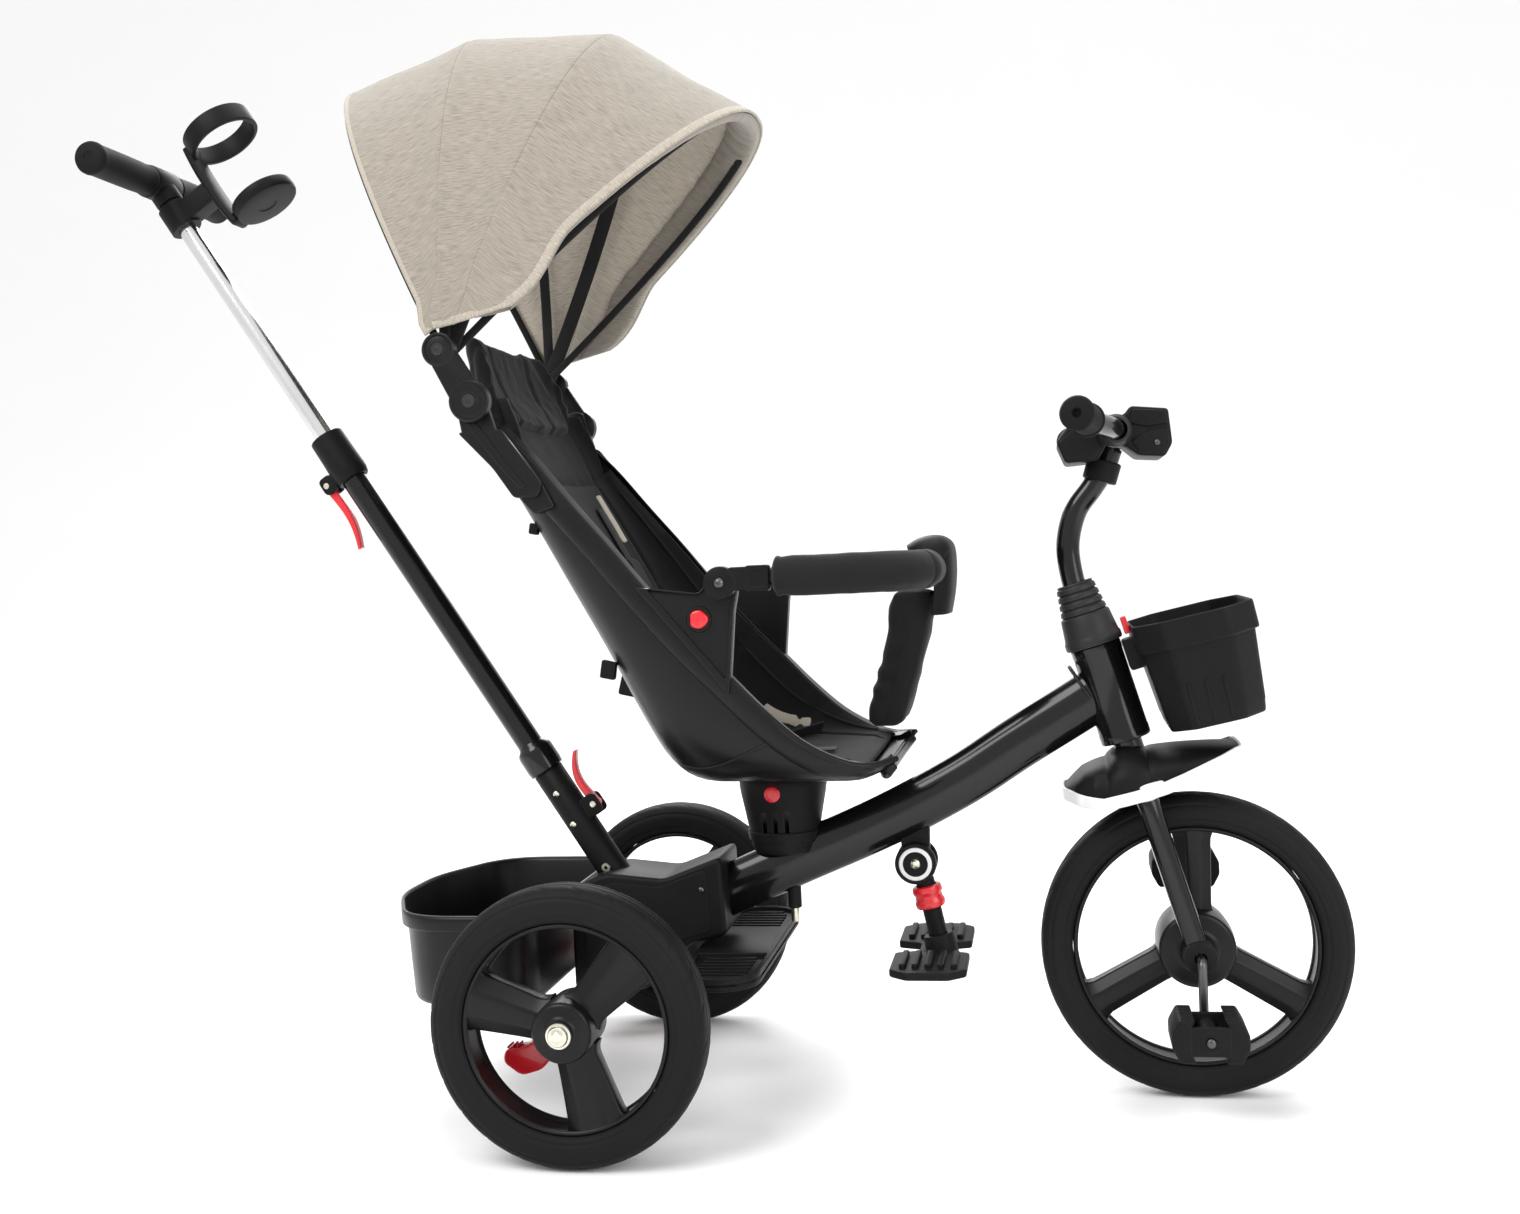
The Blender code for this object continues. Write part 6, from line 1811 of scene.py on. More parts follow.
def build_harness(inner):
    """Two shoulder straps with pads, two lap straps, a crotch strap and the buckle."""
    rows = len(inner)

    def lay(points, lift):
        path = []
        for r, c in points:
            low = min(int(r), rows - 2)
            left = min(int(c), 71)
            fr, fc = r - low, c - left
            a = inner[low][left].lerp(inner[low][left + 1], fc)
            b = inner[low + 1][left].lerp(inner[low + 1][left + 1], fc)
            spot = a.lerp(b, fr)
            toward = (at(0.14, spot.y * 0.3, 0.50) - spot).normalized()
            path.append(spot + toward * lift)
        return smooth(path, 4)

    last = rows - 1
    hub = 0.70 * last
    for side in (-1, 1):
        word = "rl"[side > 0]
        shoulder = lay([(0.07 * last, 36 + side * 9), (0.22 * last, 36 + side * 9),
                        (0.40 * last, 36 + side * 8), (0.56 * last, 36 + side * 5),
                        (hub, 36 + side * 1.5)], 0.0035)
        strap = sweep("shoulder_strap_" + word, shoulder,
                      strap_section(sizes().webbing, 0.0018), ACROSS)
        dress(strap, "webbing", "seat")
        pad = sweep("shoulder_pad_" + word, shoulder[3:12],
                    rounded([(-0.020, -0.0045), (0.020, -0.0045), (0.020, 0.0045),
                             (-0.020, 0.0045)], 0.0045), ACROSS, ends=0.008)
        refine(pad)
        displace(pad, lambda p, n: 0.0008 * folds(p, 60.0, 2.0))
        dress(pad, "weave", "seat", angle=180)
        lap = lay([(0.80 * last, 36 + side * 20), (0.77 * last, 36 + side * 13),
                   (0.72 * last, 36 + side * 6), (hub + 0.01, 36 + side * 1.5)], 0.0035)
        dress(sweep("lap_strap_" + word, lap, strap_section(sizes().webbing, 0.0018),
                    Vector((0.7, 0, 0.7))), "webbing", "seat")
        slider = lay([(0.245 * last, 36 + side * 9), (0.27 * last, 36 + side * 9)], 0.0090)
        frame_of = sweep("strap_slider_" + word, slider, strap_section(0.031, 0.0032), ACROSS,
                         ends=0.001)
        dress(frame_of, "satin", "seat")
    crotch = lay([(0.88 * last, 36), (0.80 * last, 36), (hub, 36)], 0.0035)
    dress(sweep("crotch_strap", crotch, strap_section(0.025, 0.0018), ACROSS), "webbing",
          "seat")
    spot = lay([(hub - 2, 36), (hub + 2, 36)], 0.0095)
    body = sweep("harness_buckle", [spot[0], spot[-1]],
                 rounded([(-0.021, -0.006), (0.021, -0.006), (0.021, 0.006), (-0.021, 0.006)],
                         0.005), ACROSS, ends=0.004)
    dress(body, "satin", "seat")
    middle = spot[len(spot) // 2]
    normal = (spot[-1] - spot[0]).cross(ACROSS).normalized()
    if normal.z < 0:
        normal = -normal
    dress(lathe("buckle_button", [(0, 0.0078), (0.0060, 0.0076), (0.0080, 0.0068),
                                  (0.0084, 0.0050), (0, 0.0050)], middle, normal, 40), "grey",
          "seat")


# ---------------------------------------------------------------- bumper bar
def bar_path(start_x, side_y, steps=12):
    z, corner, front = BAR_PIVOT[1] + 0.004, 0.075, BAR_FRONT_X
    turn = arc((front - corner, -(BAR_HALF - corner)), corner, -90, 0, steps)
    half = [at(start_x, -side_y, z)] + [at(x, y, z) for x, y in turn]
    return half + [Vector((p.x, -p.y, p.z)) for p in reversed(half)]


def build_bumper():
    pieces = [sweep("bar", bar_path(0.172, BAR_HALF + 0.005), circle(0.0075, 20),
                    Vector((0, 0, 1)))]
    for side in (-1, 1):
        pivot = at(BAR_PIVOT[0], 0, BAR_PIVOT[1])
        pieces.append(lathe("disc", [(0, 0.1745), (0.0125, 0.1745), (0.0144, 0.1735),
                                     (0.0148, 0.1715), (0.0148, 0.1632), (0.0138, 0.1618),
                                     (0, 0.1618)], pivot, (0, side, 0), 56))
        outer = [(0.1480, 0.4985), (0.1840, 0.4985), (0.1850, 0.5195), (0.1490, 0.5195)]
        pieces.append(outline_solid("arm", [rounded(outer, 0.003)], 0.0115,
                                    at(0, side * 0.1680, 0), 0.0016))
        frame_loop = [(0.1645, 0.4975), (0.1855, 0.4975), (0.1855, 0.5205), (0.1645, 0.5205)]
        hole = [(0.1690, 0.5020), (0.1810, 0.5020), (0.1810, 0.5160), (0.1690, 0.5160)]
        pieces.append(outline_solid("frame", [rounded(frame_loop, 0.003), rounded(hole, 0.002)],
                                    0.0140, at(0, side * 0.1680, 0), 0.0010))
    dress(merged("bumper_bar_frame", pieces), "matt", "bumper_bar", "safety_bar", angle=40)
    for side in (-1, 1):
        screw_head("bumper_screw_" + "rl"[side > 0], at(BAR_PIVOT[0], side * 0.1747,
                                                       BAR_PIVOT[1]), (0, side, 0), 0.0048,
                   "dark_steel", "bumper_bar")
    path = smooth(bar_path(0.1865, BAR_HALF + 0.0035, 7), 6)
    foam = sweep("bumper_sleeve", path, circle(0.0180, 40), Vector((0, 0, 1)), ends=0.006)

    def field(point, normal):
        along = abs(point.y) if point.x > 0.11 else 0.2 + point.x
        cuff = crease(point.x - at(0.196, 0, 0).x, 0.0022) if abs(point.y) > 0.12 else 0.0
        seam = crease(point.z - 0.4955, 0.0012) if normal.z < -0.2 else 0.0
        return folds(point, 40.0, 4.0) * 0.0006 - 0.0012 * cuff - 0.0008 * seam + along * 0.0
    displace(foam, field)
    dress(foam, "foam", "bumper_bar", "bar_foam", angle=180)
    build_bar_cap()
    build_crotch_pad()


def build_bar_cap():
    """Bowed guard clipped over the front of the sleeve, its corners turned down."""
    line = smooth([(0.2955, 0.5310), (0.306, 0.5365), (0.318, 0.5390), (0.3290, 0.5370),
                   (0.3355, 0.5290), (0.3368, 0.510), (0.3352, 0.488), (0.3312, 0.4665)], 5)
    rows = []
    count = len(line)
    for i, p in enumerate(line):
        share = i / (count - 1)
        half = 0.055 - 0.010 * (1 - min(1.0, share * 5)) ** 2
        half -= 0.022 * max(0.0, (share - 0.62) / 0.38) ** 2
        inward = (Vector((0.3145 if share < 0.6 else 0.30, min(p.y, 0.510))) - p).normalized()
        row = []
        for t in np.linspace(-1, 1, 41):
            back = 0.0030 * abs(t) ** 2.5 + 0.0125 * abs(t) ** 9
            row.append(at(p.x + inward.x * back, t * half, p.y + inward.y * back))
        rows.append(row)
    made = sheet_solid("bumper_cap", rows, 0.0026)
    soften(made, 0.0008, 2)
    apply_modifiers(made)
    dress(made, "coarse", "bumper_bar", "bar_cap", angle=50)
    for side in (-1, 1):
        screw_head("cap_stud_" + "rl"[side > 0], at(0.3350, side * 0.030, 0.518), (1, 0, 0),
                   0.0030, "dark_steel", "bumper_bar")


def build_crotch_pad():
    """Stuffed strap between the bar and the seat, with a rumpled rear skin."""
    outline = [(0.279, 0.4890), (0.319, 0.4890), (0.311, 0.455), (0.284, 0.360),
               (0.249, 0.360), (0.273, 0.440)]
    made = outline_solid("crotch_cover", [rounded(outline, 0.006)], 0.064, at(0, 0, 0), 0.004)
    padding(made, 14, sizes().pressure, 0.005, 0.0030)
    refine(made)

    def field(point, normal):
        height = point.z
        x = point.x - ORIGIN_X
        centre = 0.266 + (height - 0.360) * 0.255
        edge = crease(abs(point.y) - 0.0305, 0.0025) + crease(x - centre, 0.002) * (
            abs(normal.y) > 0.6)
        rumple = math.sin(height * 260 + 3 * folds(point, 20.0, 6.0)) * (normal.x < -0.2)
        return folds(point, 38.0, 1.0) * 0.0012 - 0.0013 * edge + 0.0009 * rumple
    displace(made, field)
    dress(made, "weave", "bumper_bar", "crotch_pad", angle=180)


# ---------------------------------------------------------------- canopy
def fan(angle, radius, y):
    """Point of the plane at an angle above forward about the canopy's pivot axis."""
    a = math.radians(angle)
    return at(CANOPY_PIVOT[0] + radius * math.cos(a), y, CANOPY_PIVOT[1] + radius * math.sin(a))


def hoop_point(angle, reach, half, share, power=2.4):
    """Point along an arch from the near pivot over the top to the far one."""
    turn = math.pi * share
    across = -math.copysign(abs(math.cos(turn)) ** (2 / power), math.cos(turn)) * half
    return fan(angle, math.sin(turn) ** (2 / power) * reach if 0 < share < 1 else 0.0, across)


# Flat cuts, worked out from the hoops' curves with straight panels, not read off the cloth.
HEM_FOOT = ((133.0, 0.020, 0.05), (108.0, 0.021, 0.07), (60.0, 0.027, 0.09),
            (28.0, 0.077, 0.165))       # angle and reach of the lower hem, and where it starts
HOOD_GAP = 0.0052                      # from a hoop's middle to the fabric's
OVERHANG = 1.1                         # degrees that the front edge passes its hoop


def hood_rib(k, share):
    """Point of the fabric over one hoop; near the pivots it swings down to the hem."""
    reach, half = HOOP_REACH[k] + HOOD_GAP, HOOP_HALF[0] + HOOD_GAP
    foot_angle, foot, begins = HEM_FOOT[k]
    start = math.asin((foot / reach) ** 1.2) / math.pi
    turn = math.pi * (start + (1 - 2 * start) * share)
    across = -math.copysign(abs(math.cos(turn)) ** (2 / 2.4), math.cos(turn)) * half
    radius = math.sin(turn) ** (2 / 2.4) * reach
    fade = min(1.0, max(0.0, (begins - radius) / (begins - foot)))
    angle = HOOP_ANGLES[k] - (OVERHANG if k == 3 else 0.0)
    angle += (foot_angle - angle) * fade * fade * (3 - 2 * fade)
    return fan(angle, radius, across)


def hood_point(way, share):
    """Point of the fabric: way runs 0 to 3 from the rear hoop to the front one."""
    low = min(int(way), 2)
    t = way - low
    flat = hood_rib(low, share).lerp(hood_rib(low + 1, share), t)
    middle = at(CANOPY_PIVOT[0], flat.y * 0.55, CANOPY_PIVOT[1])
    inward = (middle - flat).normalized()
    arch = math.sin(math.pi * share)
    sag = math.sin(math.pi * t) * 0.0010 * arch ** 0.5
    pinch = 0.0011 * (crease(t, 0.010) + crease(1 - t, 0.010)) if 0.5 < way < 2.5 else 0.0
    rumple = folds(flat, 15.0, 7.0) * 0.0020 * math.sin(math.pi * t) ** 0.7
    return flat + inward * (sag + pinch + rumple)


PANEL_STEPS = (0.0, 0.006, 0.02, 0.05, 0.11, 0.18, 0.26, 0.34, 0.42, 0.50, 0.58, 0.66, 0.74,
               0.82, 0.89, 0.95, 0.98, 0.994)


def build_hood():
    """One sheet over four hoops, with seams, a turned hem, bound edges and stitching."""
    spans, columns = len(PANEL_STEPS), 120
    ways = [panel + step for panel in range(3) for step in PANEL_STEPS] + [3.0]
    rows = []
    for way in ways:
        rows.append([hood_point(way, c / columns) for c in range(columns + 1)])
    verts, faces = stitch(rows)
    made = mesh_object("hood_sheet", verts, faces)
    mesh = made.data
    width = columns + 1
    u = np.zeros((len(rows), width))
    v = np.zeros((len(rows), width))
    for r, row in enumerate(rows):
        for c in range(1, width):
            u[r, c] = u[r, c - 1] + (row[c] - row[c - 1]).length
        u[r] -= u[r, columns // 2]
        if r:
            for c in range(width):
                v[r, c] = v[r - 1, c] + (row[c] - rows[r - 1][c]).length
    marks = np.zeros((len(rows), width))
    for way in (spans, 2 * spans):
        marks[way, :] = 1.0
    values = np.stack([u, v, np.zeros_like(u)], axis=-1)
    cloth_attribute(made, values)
    seam = mesh.attributes.new("seam", "FLOAT", "POINT")
    seam.data.foreach_set("value", marks.ravel().astype(np.float32))
    finish = finish_of("linen")
    shade_and_thread = finish_of("shade_and_thread")
    skin = made.modifiers.new("wall", "SOLIDIFY")
    skin.thickness, skin.offset = 0.0012, -1.0
    # the inner face takes the half-bright canvas: painted shade under the hood
    skin.material_offset = 1
    skin.material_offset_rim = 0
    mesh.materials.append(finish)
    mesh.materials.append(shade_and_thread)
    apply_modifiers(made)
    made.data.shade_smooth()
    made.data.set_sharp_from_angle(angle=math.radians(70))
    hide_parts("canopy_hood")
    start, end = fan(HOOP_ANGLES[0], HOOP_REACH[0], 0), fan(HOOP_ANGLES[3], HOOP_REACH[3], 0)
    extras = hood_trim(rows, u)
    for piece in [made, *extras]:
        piece.parent = None
        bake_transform(piece)


def cloth_attribute(made, values):
    data = made.data.attributes.new("cloth", "FLOAT_VECTOR", "POINT")
    data.data.foreach_set("vector", np.array(values, np.float32).ravel())


def ribbon(name, line, others, width, thick, finish, lift=0.0):
    """Flat tape along a line, lying towards a second line of the same sheet."""
    rows = []
    for i, point in enumerate(line):
        tangent = (line[min(i + 1, len(line) - 1)] - line[max(i - 1, 0)]).normalized()
        inward = others[i] - point
        inward = (inward - tangent * inward.dot(tangent)).normalized()
        normal = tangent.cross(inward)
        ring = []
        for a, b in strap_section(width, thick):
            ring.append(point + inward * (a + width / 2 - 0.0008) + normal * (b + lift))
        rows.append(ring)
    verts, faces = stitch(rows, closed_columns=True)
    count = len(rows[0])
    faces += [tuple(range(count)), tuple(range(len(verts) - 1, len(verts) - count - 1, -1))]
    made = mesh_object(name, verts, faces)
    length = 0.0
    values = []
    for i, ring in enumerate(rows):
        if i:
            length += (line[i] - line[i - 1]).length
        values += [(length, a * 1.0 + 0.3, 0.0) for a, b in strap_section(width, thick)]
    cloth_attribute(made, values)
    made.data.materials.append(finish_of(finish))
    made.data.shade_smooth()
    return made


HEM_SECTION = [(0.03, 0.0022), (0.05, 0.0085), (0.10, 0.0122), (0.20, 0.0130), (0.34, 0.0130),
               (0.52, 0.0122), (0.68, 0.0104), (0.84, 0.0076), (1.0, 0.0044)]   # depth, offset


def hood_trim(rows, u):
    """Bound front, rear and lower edges, the stitch lines and the gathered inner hem."""
    columns = len(rows[0]) - 1
    made = []
    front, inside = rows[-1], rows[-5]
    # the bindings take the darkened canvas: painted shade on the bound edges
    made.append(ribbon("hood_front_binding", front, inside, sizes().binding, 0.0028, "binding"))
    rear, ahead = rows[0], rows[4]
    made.append(ribbon("hood_rear_binding", rear, ahead, 0.0060, 0.0026, "binding"))
    for word, c, toward in (("right", 0, 3), ("left", columns, columns - 3)):
        edge = [row[c] for row in rows]
        inner = [row[toward] for row in rows]
        made.append(ribbon("hood_edge_" + word, edge, inner, 0.0080, 0.0028, "binding"))
    hem = []
    for c in range(columns + 1):
        outer, inner = rows[-1][c], rows[-7][c]
        share = c / columns
        along = (inner - outer).normalized()
        tangent = rows[-1][min(c + 1, columns)] - rows[-1][max(c - 1, 0)]
        normal = tangent.cross(along).normalized()
        if normal.dot(at(CANOPY_PIVOT[0] + 0.1, 0, CANOPY_PIVOT[1]) - outer) < 0:
            normal = -normal
        strip = []
        deep = sizes().hem
        for part, off in HEM_SECTION:
            gather = math.sin(share * 230 + 1.6 * math.sin(share * 37)) * 0.0022 * part
            strip.append(outer + along * (deep * part) + normal * (off + gather))
        hem.append(strip)
    verts, faces = stitch(hem)
    piece = mesh_object("hood_inner_hem", verts, faces)
    values = []
    for c, strip in enumerate(hem):
        values += [(float(u[-1, c]), 0.05 + 0.0045 * k, 0.0) for k in range(len(strip))]
    cloth_attribute(piece, values)
    skin = piece.modifiers.new("wall", "SOLIDIFY")
    skin.thickness, skin.offset = 0.0009, 0.0
    apply_modifiers(piece)
    # the inner hem takes the half-bright canvas: painted shade inside the hood's front
    piece.data.materials.append(finish_of("shade_and_thread"))
    piece.data.shade_smooth()
    made.append(piece)
    made.append(stitching("hood_front_stitches", rows[-1], rows[-5], 0.0112, "shade_and_thread"))
    return made


def stitching(name, line, others, inset, finish):
    """Row of short thread stitches set in from an edge."""
    work = bmesh.new()
    for i in range(2, len(line) - 2):
        a, b = line[i], line[i + 1]
        toward = (others[i] - a).normalized()
        steps = max(1, int((b - a).length / 0.0045))
        for k in range(steps):
            p = a.lerp(b, (k + 0.2) / steps) + toward * inset
            q = a.lerp(b, (k + 0.8) / steps) + toward * inset
            tangent = (q - p).normalized()
            out = tangent.cross(toward)
            if out.dot(p - at(CANOPY_PIVOT[0], 0, CANOPY_PIVOT[1])) < 0:
                out = -out
            ring = []
            for end in (p, q):
                for m in range(5):
                    s = 2 * math.pi * m / 5
                    ring.append(work.verts.new(end + out * (0.0002 + 0.0004 * math.cos(s))
                                               + toward * 0.0004 * math.sin(s)))
            for m in range(5):
                n = (m + 1) % 5
                work.faces.new((ring[m], ring[n], ring[5 + n], ring[5 + m]))
            work.faces.new(list(reversed(ring[:5])))
            work.faces.new(ring[5:])
    mesh = bpy.data.meshes.new(name)
    work.to_mesh(mesh)
    work.free()
    made = bpy.data.objects.new(name, mesh)
    bpy.context.scene.collection.objects.link(made)
    mesh.materials.append(finish_of(finish))
    mesh.shade_smooth()
    return made


def hoop_strap(name, index, body, node, wide=0.011):
    """Flat sprung hoop in its black tape."""
    path = [hoop_point(HOOP_ANGLES[index], HOOP_REACH[index], HOOP_HALF[index], s)
            for s in np.linspace(0, 1, 81)]
    a = math.radians(HOOP_ANGLES[index])
    normal = Vector((-math.sin(a), 0, math.cos(a)))
    scales = None
    made = sweep(name, path, strap_section(wide, 0.0042), normal, scales, ends=0.002)
    dress(made, "webbing" if index else "matt", body, node, angle=60)


def build_canopy():
    build_hood()
    hoop_strap("hoop_tape_front", 3, "canopy_front", "canopy_hoop_front", 0.0080)
    hoop_strap("hoop_tape_front_middle", 2, "canopy_front_middle", "canopy_hoop_front_middle",
               0.0155)
    hoop_strap("hoop_tape_rear_middle", 1, "canopy_rear_middle", "canopy_hoop_rear_middle")
    hoop_strap("hoop_rear", 0, "canopy_frame", "canopy_frame", 0.0075)
    build_rear_mesh()
    (xb, zb), (xa, za) = CANOPY_TILT, CANOPY_PIVOT
    for side, word in ((-1, "right"), (1, "left")):
        build_link(side, word, xb, zb, xa, za)
        build_mount(side, word)


def build_rear_mesh():
    """Black mesh window that closes the back of the hood and rolls down over the rear hoop."""
    rows = []
    for k in range(25):
        reach = 1.0 - 0.030 * k
        row = []
        for c in range(61):
            share = 0.10 + 0.80 * c / 60
            p = hoop_point(HOOP_ANGLES[0], HOOP_REACH[0] - 0.003, HOOP_HALF[0] - 0.004, share)
            rise = fan(HOOP_ANGLES[0], HOOP_REACH[0] * 0.30, p.y)
            spot = rise.lerp(p, reach) if k else p
            bulge = 0.012 * math.sin(math.pi * min(1.0, k / 24)) * math.sin(math.pi * share)
            spot = spot + Vector((-bulge, 0, -bulge * 0.4))
            row.append(spot + Vector((0.0008 * folds(spot, 22.0, 8.0), 0, 0)))
        rows.append(row)
    verts, faces = stitch(rows)
    made = mesh_object("rear_window", verts, faces)
    skin = made.modifiers.new("wall", "SOLIDIFY")
    skin.thickness, skin.offset = 0.0008, 0.0
    apply_modifiers(made)
    dress(made, "mesh", "canopy_frame", angle=180)


def build_link(side, word, xb, zb, xa, za):
    """Link between the two canopy pivots, with a stepped disc and cap over each."""
    y = side * 0.1710
    along = math.degrees(math.atan2(za - zb, xa - xb))
    web = [*arc((xb, zb), 0.0150, along + 90, along + 270, 20),
           *arc((xa, za), 0.0125, along - 90, along + 90, 20)]
    pieces = [outline_solid("web", [web], 0.0086, at(0, y, 0), 0.0016)]
    for (x, z), radius, cap in (((xb, zb), 0.0190, 0.0088), ((xa, za), 0.0155, 0.0072)):
        disc = [(0, 0.0050), (cap - 0.0008, 0.0050), (cap, 0.0040), (cap + 0.0008, 0.0036),
                (radius - 0.0034, 0.0038), (radius - 0.0026, 0.0048), (radius - 0.0012, 0.0049),
                (radius, 0.0038), (radius, -0.0040), (radius - 0.0012, -0.0049), (0, -0.0049)]
        pieces.append(lathe("disc", disc, at(x, y, z), (0, side, 0), 64))
    dress(merged("canopy_link_" + word, pieces), "satin", "canopy_frame", "canopy_frame",
          angle=40)
    for k, ((x, z), cap) in enumerate((((xb, zb), 0.0062), ((xa, za), 0.0058))):
        cover = [(0, 0.0072), (cap * 0.45, 0.0070), (cap * 0.60, 0.0062), (cap * 0.85, 0.0064),
                 (cap, 0.0054), (cap, 0.0040), (0, 0.0040)]
        dress(lathe(f"link_cap_{k}_{word}", cover, at(x, y, z), (0, side, 0), 48), "grey",
              "canopy_frame")


def build_mount(side, word):
    """Bracket from the bucket's corner to the lower canopy pivot."""
    x, z = CANOPY_TILT
    outline = arc((x, z), 0.0165, 60, 200, 24)
    outline += rounded([(-0.098, 0.652), (-0.066, 0.618), (-0.047, 0.590), (-0.024, 0.590),
                        (-0.020, 0.602), (-0.058, 0.654)], 0.004)
    plate = outline_solid("plate", [outline], 0.0075, at(0, side * 0.1620, 0), 0.0012)
    spine = [(-0.090, 0.660), (-0.060, 0.620), (-0.040, 0.597), (-0.034, 0.600),
             (-0.052, 0.622), (-0.080, 0.662)]
    rib = outline_solid("rib", [rounded(spine, 0.003)], 0.0040, at(0, side * 0.1655, 0), 0.0012)
    foot = [(-0.058, 0.606), (-0.030, 0.574), (-0.010, 0.580), (-0.022, 0.604), (-0.044, 0.628)]
    foot = outline_solid("foot", [rounded(foot, 0.004)], 0.0120, at(0, side * 0.1550, 0), 0.0020)
    dress(merged("canopy_bracket_" + word, [plate, rib, foot]), "satin", "seat",
          "canopy_mount_" + word, angle=40)


# ---------------------------------------------------------------- stage
CAMERA_PLACE = (0.4265, -1.5486, 0.5283)
CAMERA_TURN = (0.1797, 0.032, -0.0423)       # yaw, pitch, roll in radians
CAMERA_FOCAL = 1592.9 / 1520.0               # focal length over picture width


def build_stage():
    bpy.ops.mesh.primitive_grid_add(x_subdivisions=60, y_subdivisions=60, size=44.0)
    floor = bpy.context.object
    floor.name = "floor"
    for vertex in floor.data.vertices:
        back = max(0.0, vertex.co.y - 3.0)
        vertex.co.z = back * back * 0.22
        vertex.co.z -= 0.0005
    floor.data.shade_smooth()
    floor.data.materials.append(finish_of("floor"))
    yaw, pitch, roll = CAMERA_TURN
    look = Vector((-math.sin(yaw) * math.cos(pitch), math.cos(yaw) * math.cos(pitch),
                   -math.sin(pitch)))
    right = Vector((math.cos(yaw), math.sin(yaw), 0.0))
    up = right.cross(look)
    side = right * math.cos(roll) + up * math.sin(roll)
    rise = up * math.cos(roll) - right * math.sin(roll)
    camera = bpy.data.objects.new("camera", bpy.data.cameras.new("camera"))
    bpy.context.scene.collection.objects.link(camera)
    turn = Matrix((side, rise, -look)).transposed().to_4x4()
    camera.matrix_world = Matrix.Translation(at(*CAMERA_PLACE)) @ turn
    camera.data.sensor_width = 36.0
    camera.data.lens = 36.0 * CAMERA_FOCAL
    bpy.context.scene.camera = camera
    for name, place, aim, size, power in (
            ("key", (-1.3, -1.9, 2.6), (0, 0, 0.45), 1.8, 62),
            ("fill", (2.2, -1.7, 1.5), (0, 0, 0.5), 2.0, 34),
            ("top", (0.1, 0.5, 3.0), (0, 0, 0.4), 2.4, 46),
            ("rim", (-0.6, 2.2, 1.8), (0, 0, 0.5), 1.6, 30)):
        lamp = bpy.data.lights.new(name, "AREA")
        lamp.shape, lamp.size, lamp.energy = "DISK", size, power
        lit = bpy.data.objects.new(name, lamp)
        bpy.context.scene.collection.objects.link(lit)
        lit.location = place
        lit.rotation_mode = "QUATERNION"
        lit.rotation_quaternion = (Vector(aim) - Vector(place)).to_track_quat("-Z", "Y")
    world = bpy.data.worlds.new("studio")
    world.use_nodes = True
    world.node_tree.nodes["Background"].inputs["Color"].default_value = (1.0, 1.0, 1.0, 1.0)
    world.node_tree.nodes["Background"].inputs["Strength"].default_value = 0.95
    bpy.context.scene.world = world
    bpy.context.scene.view_settings.view_transform = "Standard"


def build_seat():
    build_shell()
    inner = build_liner()
    build_apron(inner)
    build_harness(inner)
    build_headrest()


RECIPES["floor"] = floor_finish


# ---------------------------------------------------------------- operators
class TRIKE_OT_wheels(bpy.types.Operator):
    """Make the tyres, rims, hubs and axle."""
    bl_idname = "trike.wheels"
    bl_label = "Wheels"

    def execute(self, context):
        build_wheels()
        return {"FINISHED"}


class TRIKE_OT_frame(bpy.types.Operator):
    """Make the main tube, cover, step, tray and pedestal."""
    bl_idname = "trike.frame"
    bl_label = "Frame"

    def execute(self, context):
        build_frame()
        return {"FINISHED"}


class TRIKE_OT_brakes(bpy.types.Operator):
    """Make the rear foot brakes."""
    bl_idname = "trike.brakes"
    bl_label = "Brakes"

    def execute(self, context):
        build_brakes()
        return {"FINISHED"}


class TRIKE_OT_handle(bpy.types.Operator):
    """Make the telescopic handle and its cup holder."""
    bl_idname = "trike.handle"
    bl_label = "Parent handle"

    def execute(self, context):
        build_handle()
        return {"FINISHED"}


class TRIKE_OT_steering(bpy.types.Operator):
    """Make the fork, bars, bin, fender, crank and pedals."""
    bl_idname = "trike.steering"
    bl_label = "Steering"

    def execute(self, context):
        build_steering()
        return {"FINISHED"}


class TRIKE_OT_footrest(bpy.types.Operator):
    """Make the folding footrest."""
    bl_idname = "trike.footrest"
    bl_label = "Footrest"

    def execute(self, context):
        build_footrest()
        return {"FINISHED"}


class TRIKE_OT_seat(bpy.types.Operator):
    """Make the bucket, liner, harness and head support."""
    bl_idname = "trike.seat"
    bl_label = "Seat"

    def execute(self, context):
        build_seat()
        return {"FINISHED"}


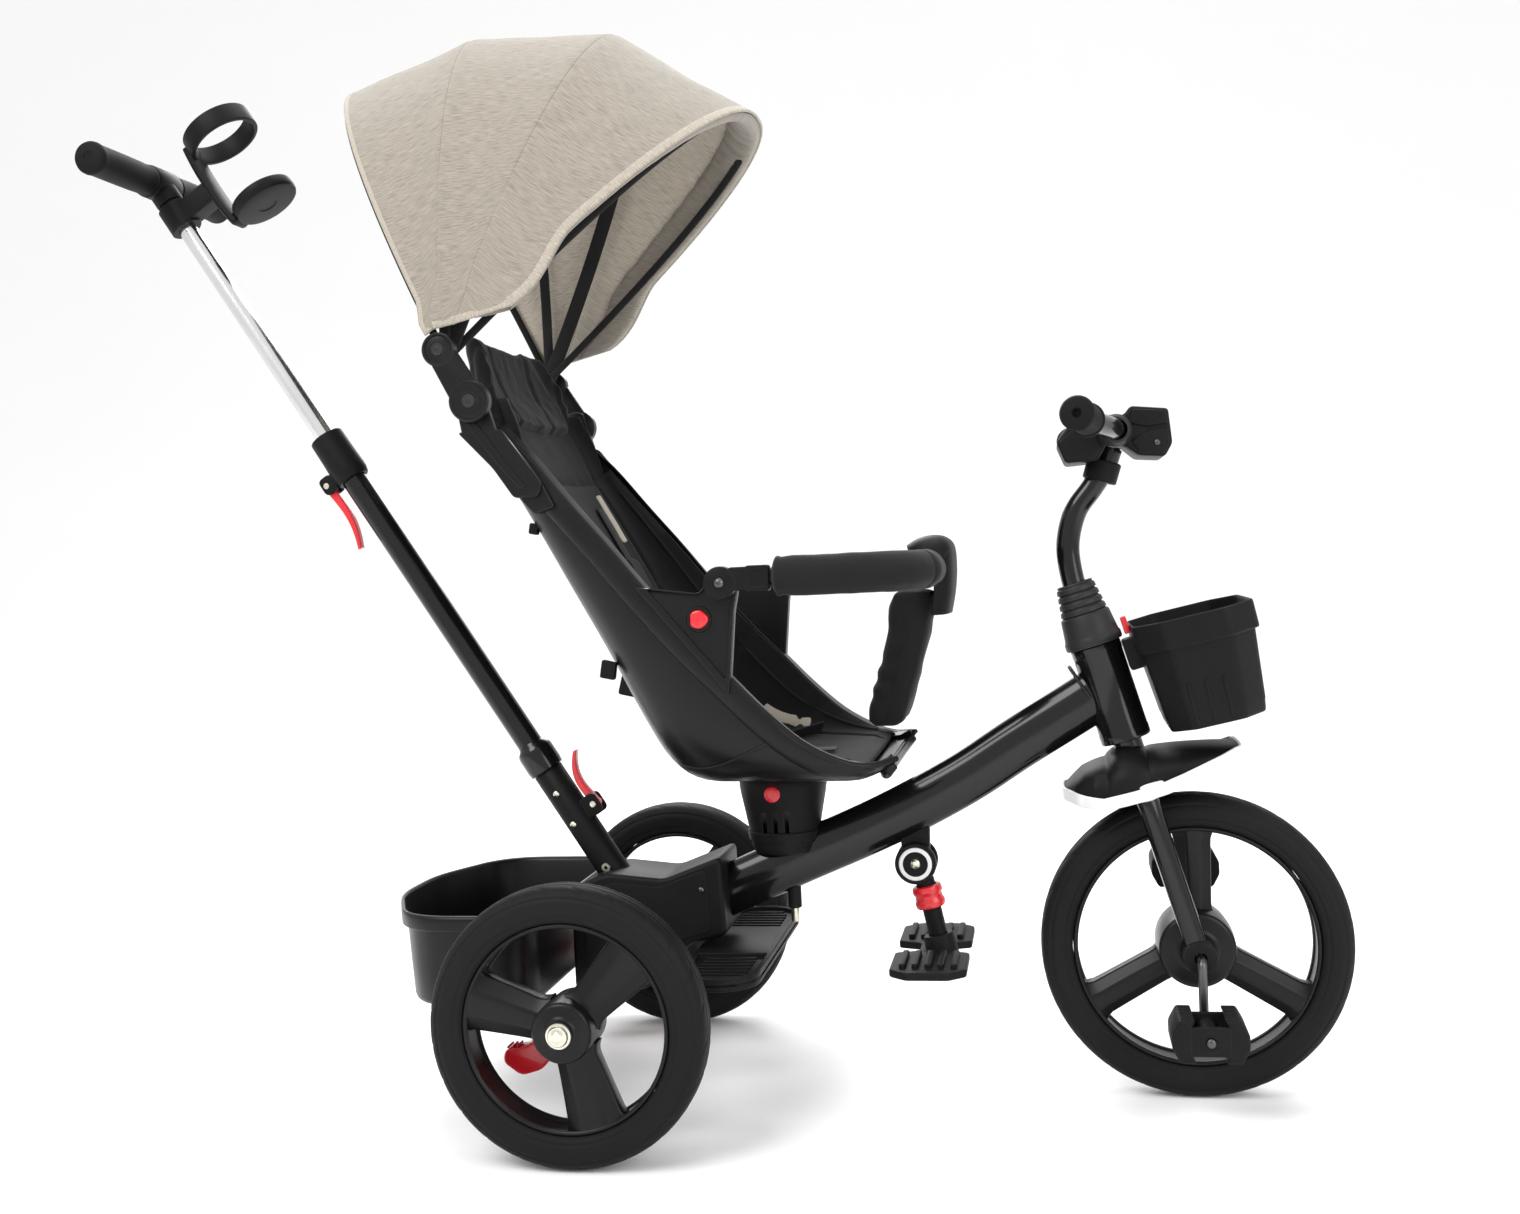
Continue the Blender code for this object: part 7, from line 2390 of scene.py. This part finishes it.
class TRIKE_OT_bumper(bpy.types.Operator):
    """Make the bumper bar with its sleeve, guard and pad."""
    bl_idname = "trike.bumper"
    bl_label = "Bumper bar"

    def execute(self, context):
        build_bumper()
        return {"FINISHED"}


class TRIKE_OT_canopy(bpy.types.Operator):
    """Make the hood, hoops, links and brackets."""
    bl_idname = "trike.canopy"
    bl_label = "Canopy"

    def execute(self, context):
        build_canopy()
        return {"FINISHED"}


class TRIKE_OT_stage(bpy.types.Operator):
    """Make the floor, lights and camera."""
    bl_idname = "trike.stage"
    bl_label = "Stage"

    def execute(self, context):
        build_stage()
        return {"FINISHED"}


OPERATORS = (TRIKE_OT_wheels, TRIKE_OT_frame, TRIKE_OT_brakes, TRIKE_OT_handle,
             TRIKE_OT_steering, TRIKE_OT_footrest, TRIKE_OT_seat,
             TRIKE_OT_bumper, TRIKE_OT_canopy, TRIKE_OT_stage)


class TRIKE_PT_panel(bpy.types.Panel):
    """Buttons for every group, and the sizes and colours they use."""
    bl_label = "Tricycle"
    bl_idname = "TRIKE_PT_panel"
    bl_space_type = "VIEW_3D"
    bl_region_type = "UI"
    bl_category = "Tricycle"

    def draw(self, context):
        for group in (context.scene.trike_colours, context.scene.trike_sizes):
            for key in group.__annotations__:
                self.layout.prop(group, key)
        for kind in OPERATORS:
            self.layout.operator(kind.bl_idname)


CLASSES = (TrikeColours, TrikeSizes, *OPERATORS, TRIKE_PT_panel)


def register():
    for kind in CLASSES:
        bpy.utils.register_class(kind)
    bpy.types.Scene.trike_colours = bpy.props.PointerProperty(type=TrikeColours)
    bpy.types.Scene.trike_sizes = bpy.props.PointerProperty(type=TrikeSizes)


def unregister():
    del bpy.types.Scene.trike_sizes
    del bpy.types.Scene.trike_colours
    for kind in reversed(CLASSES):
        bpy.utils.unregister_class(kind)


def main():
    register()
    for kind in OPERATORS:
        group, name = kind.bl_idname.split(".")
        if getattr(getattr(bpy.ops, group), name)() != {"FINISHED"}:
            raise RuntimeError(kind.bl_label + " wasn't built")


if __name__ == "__main__":
    main()
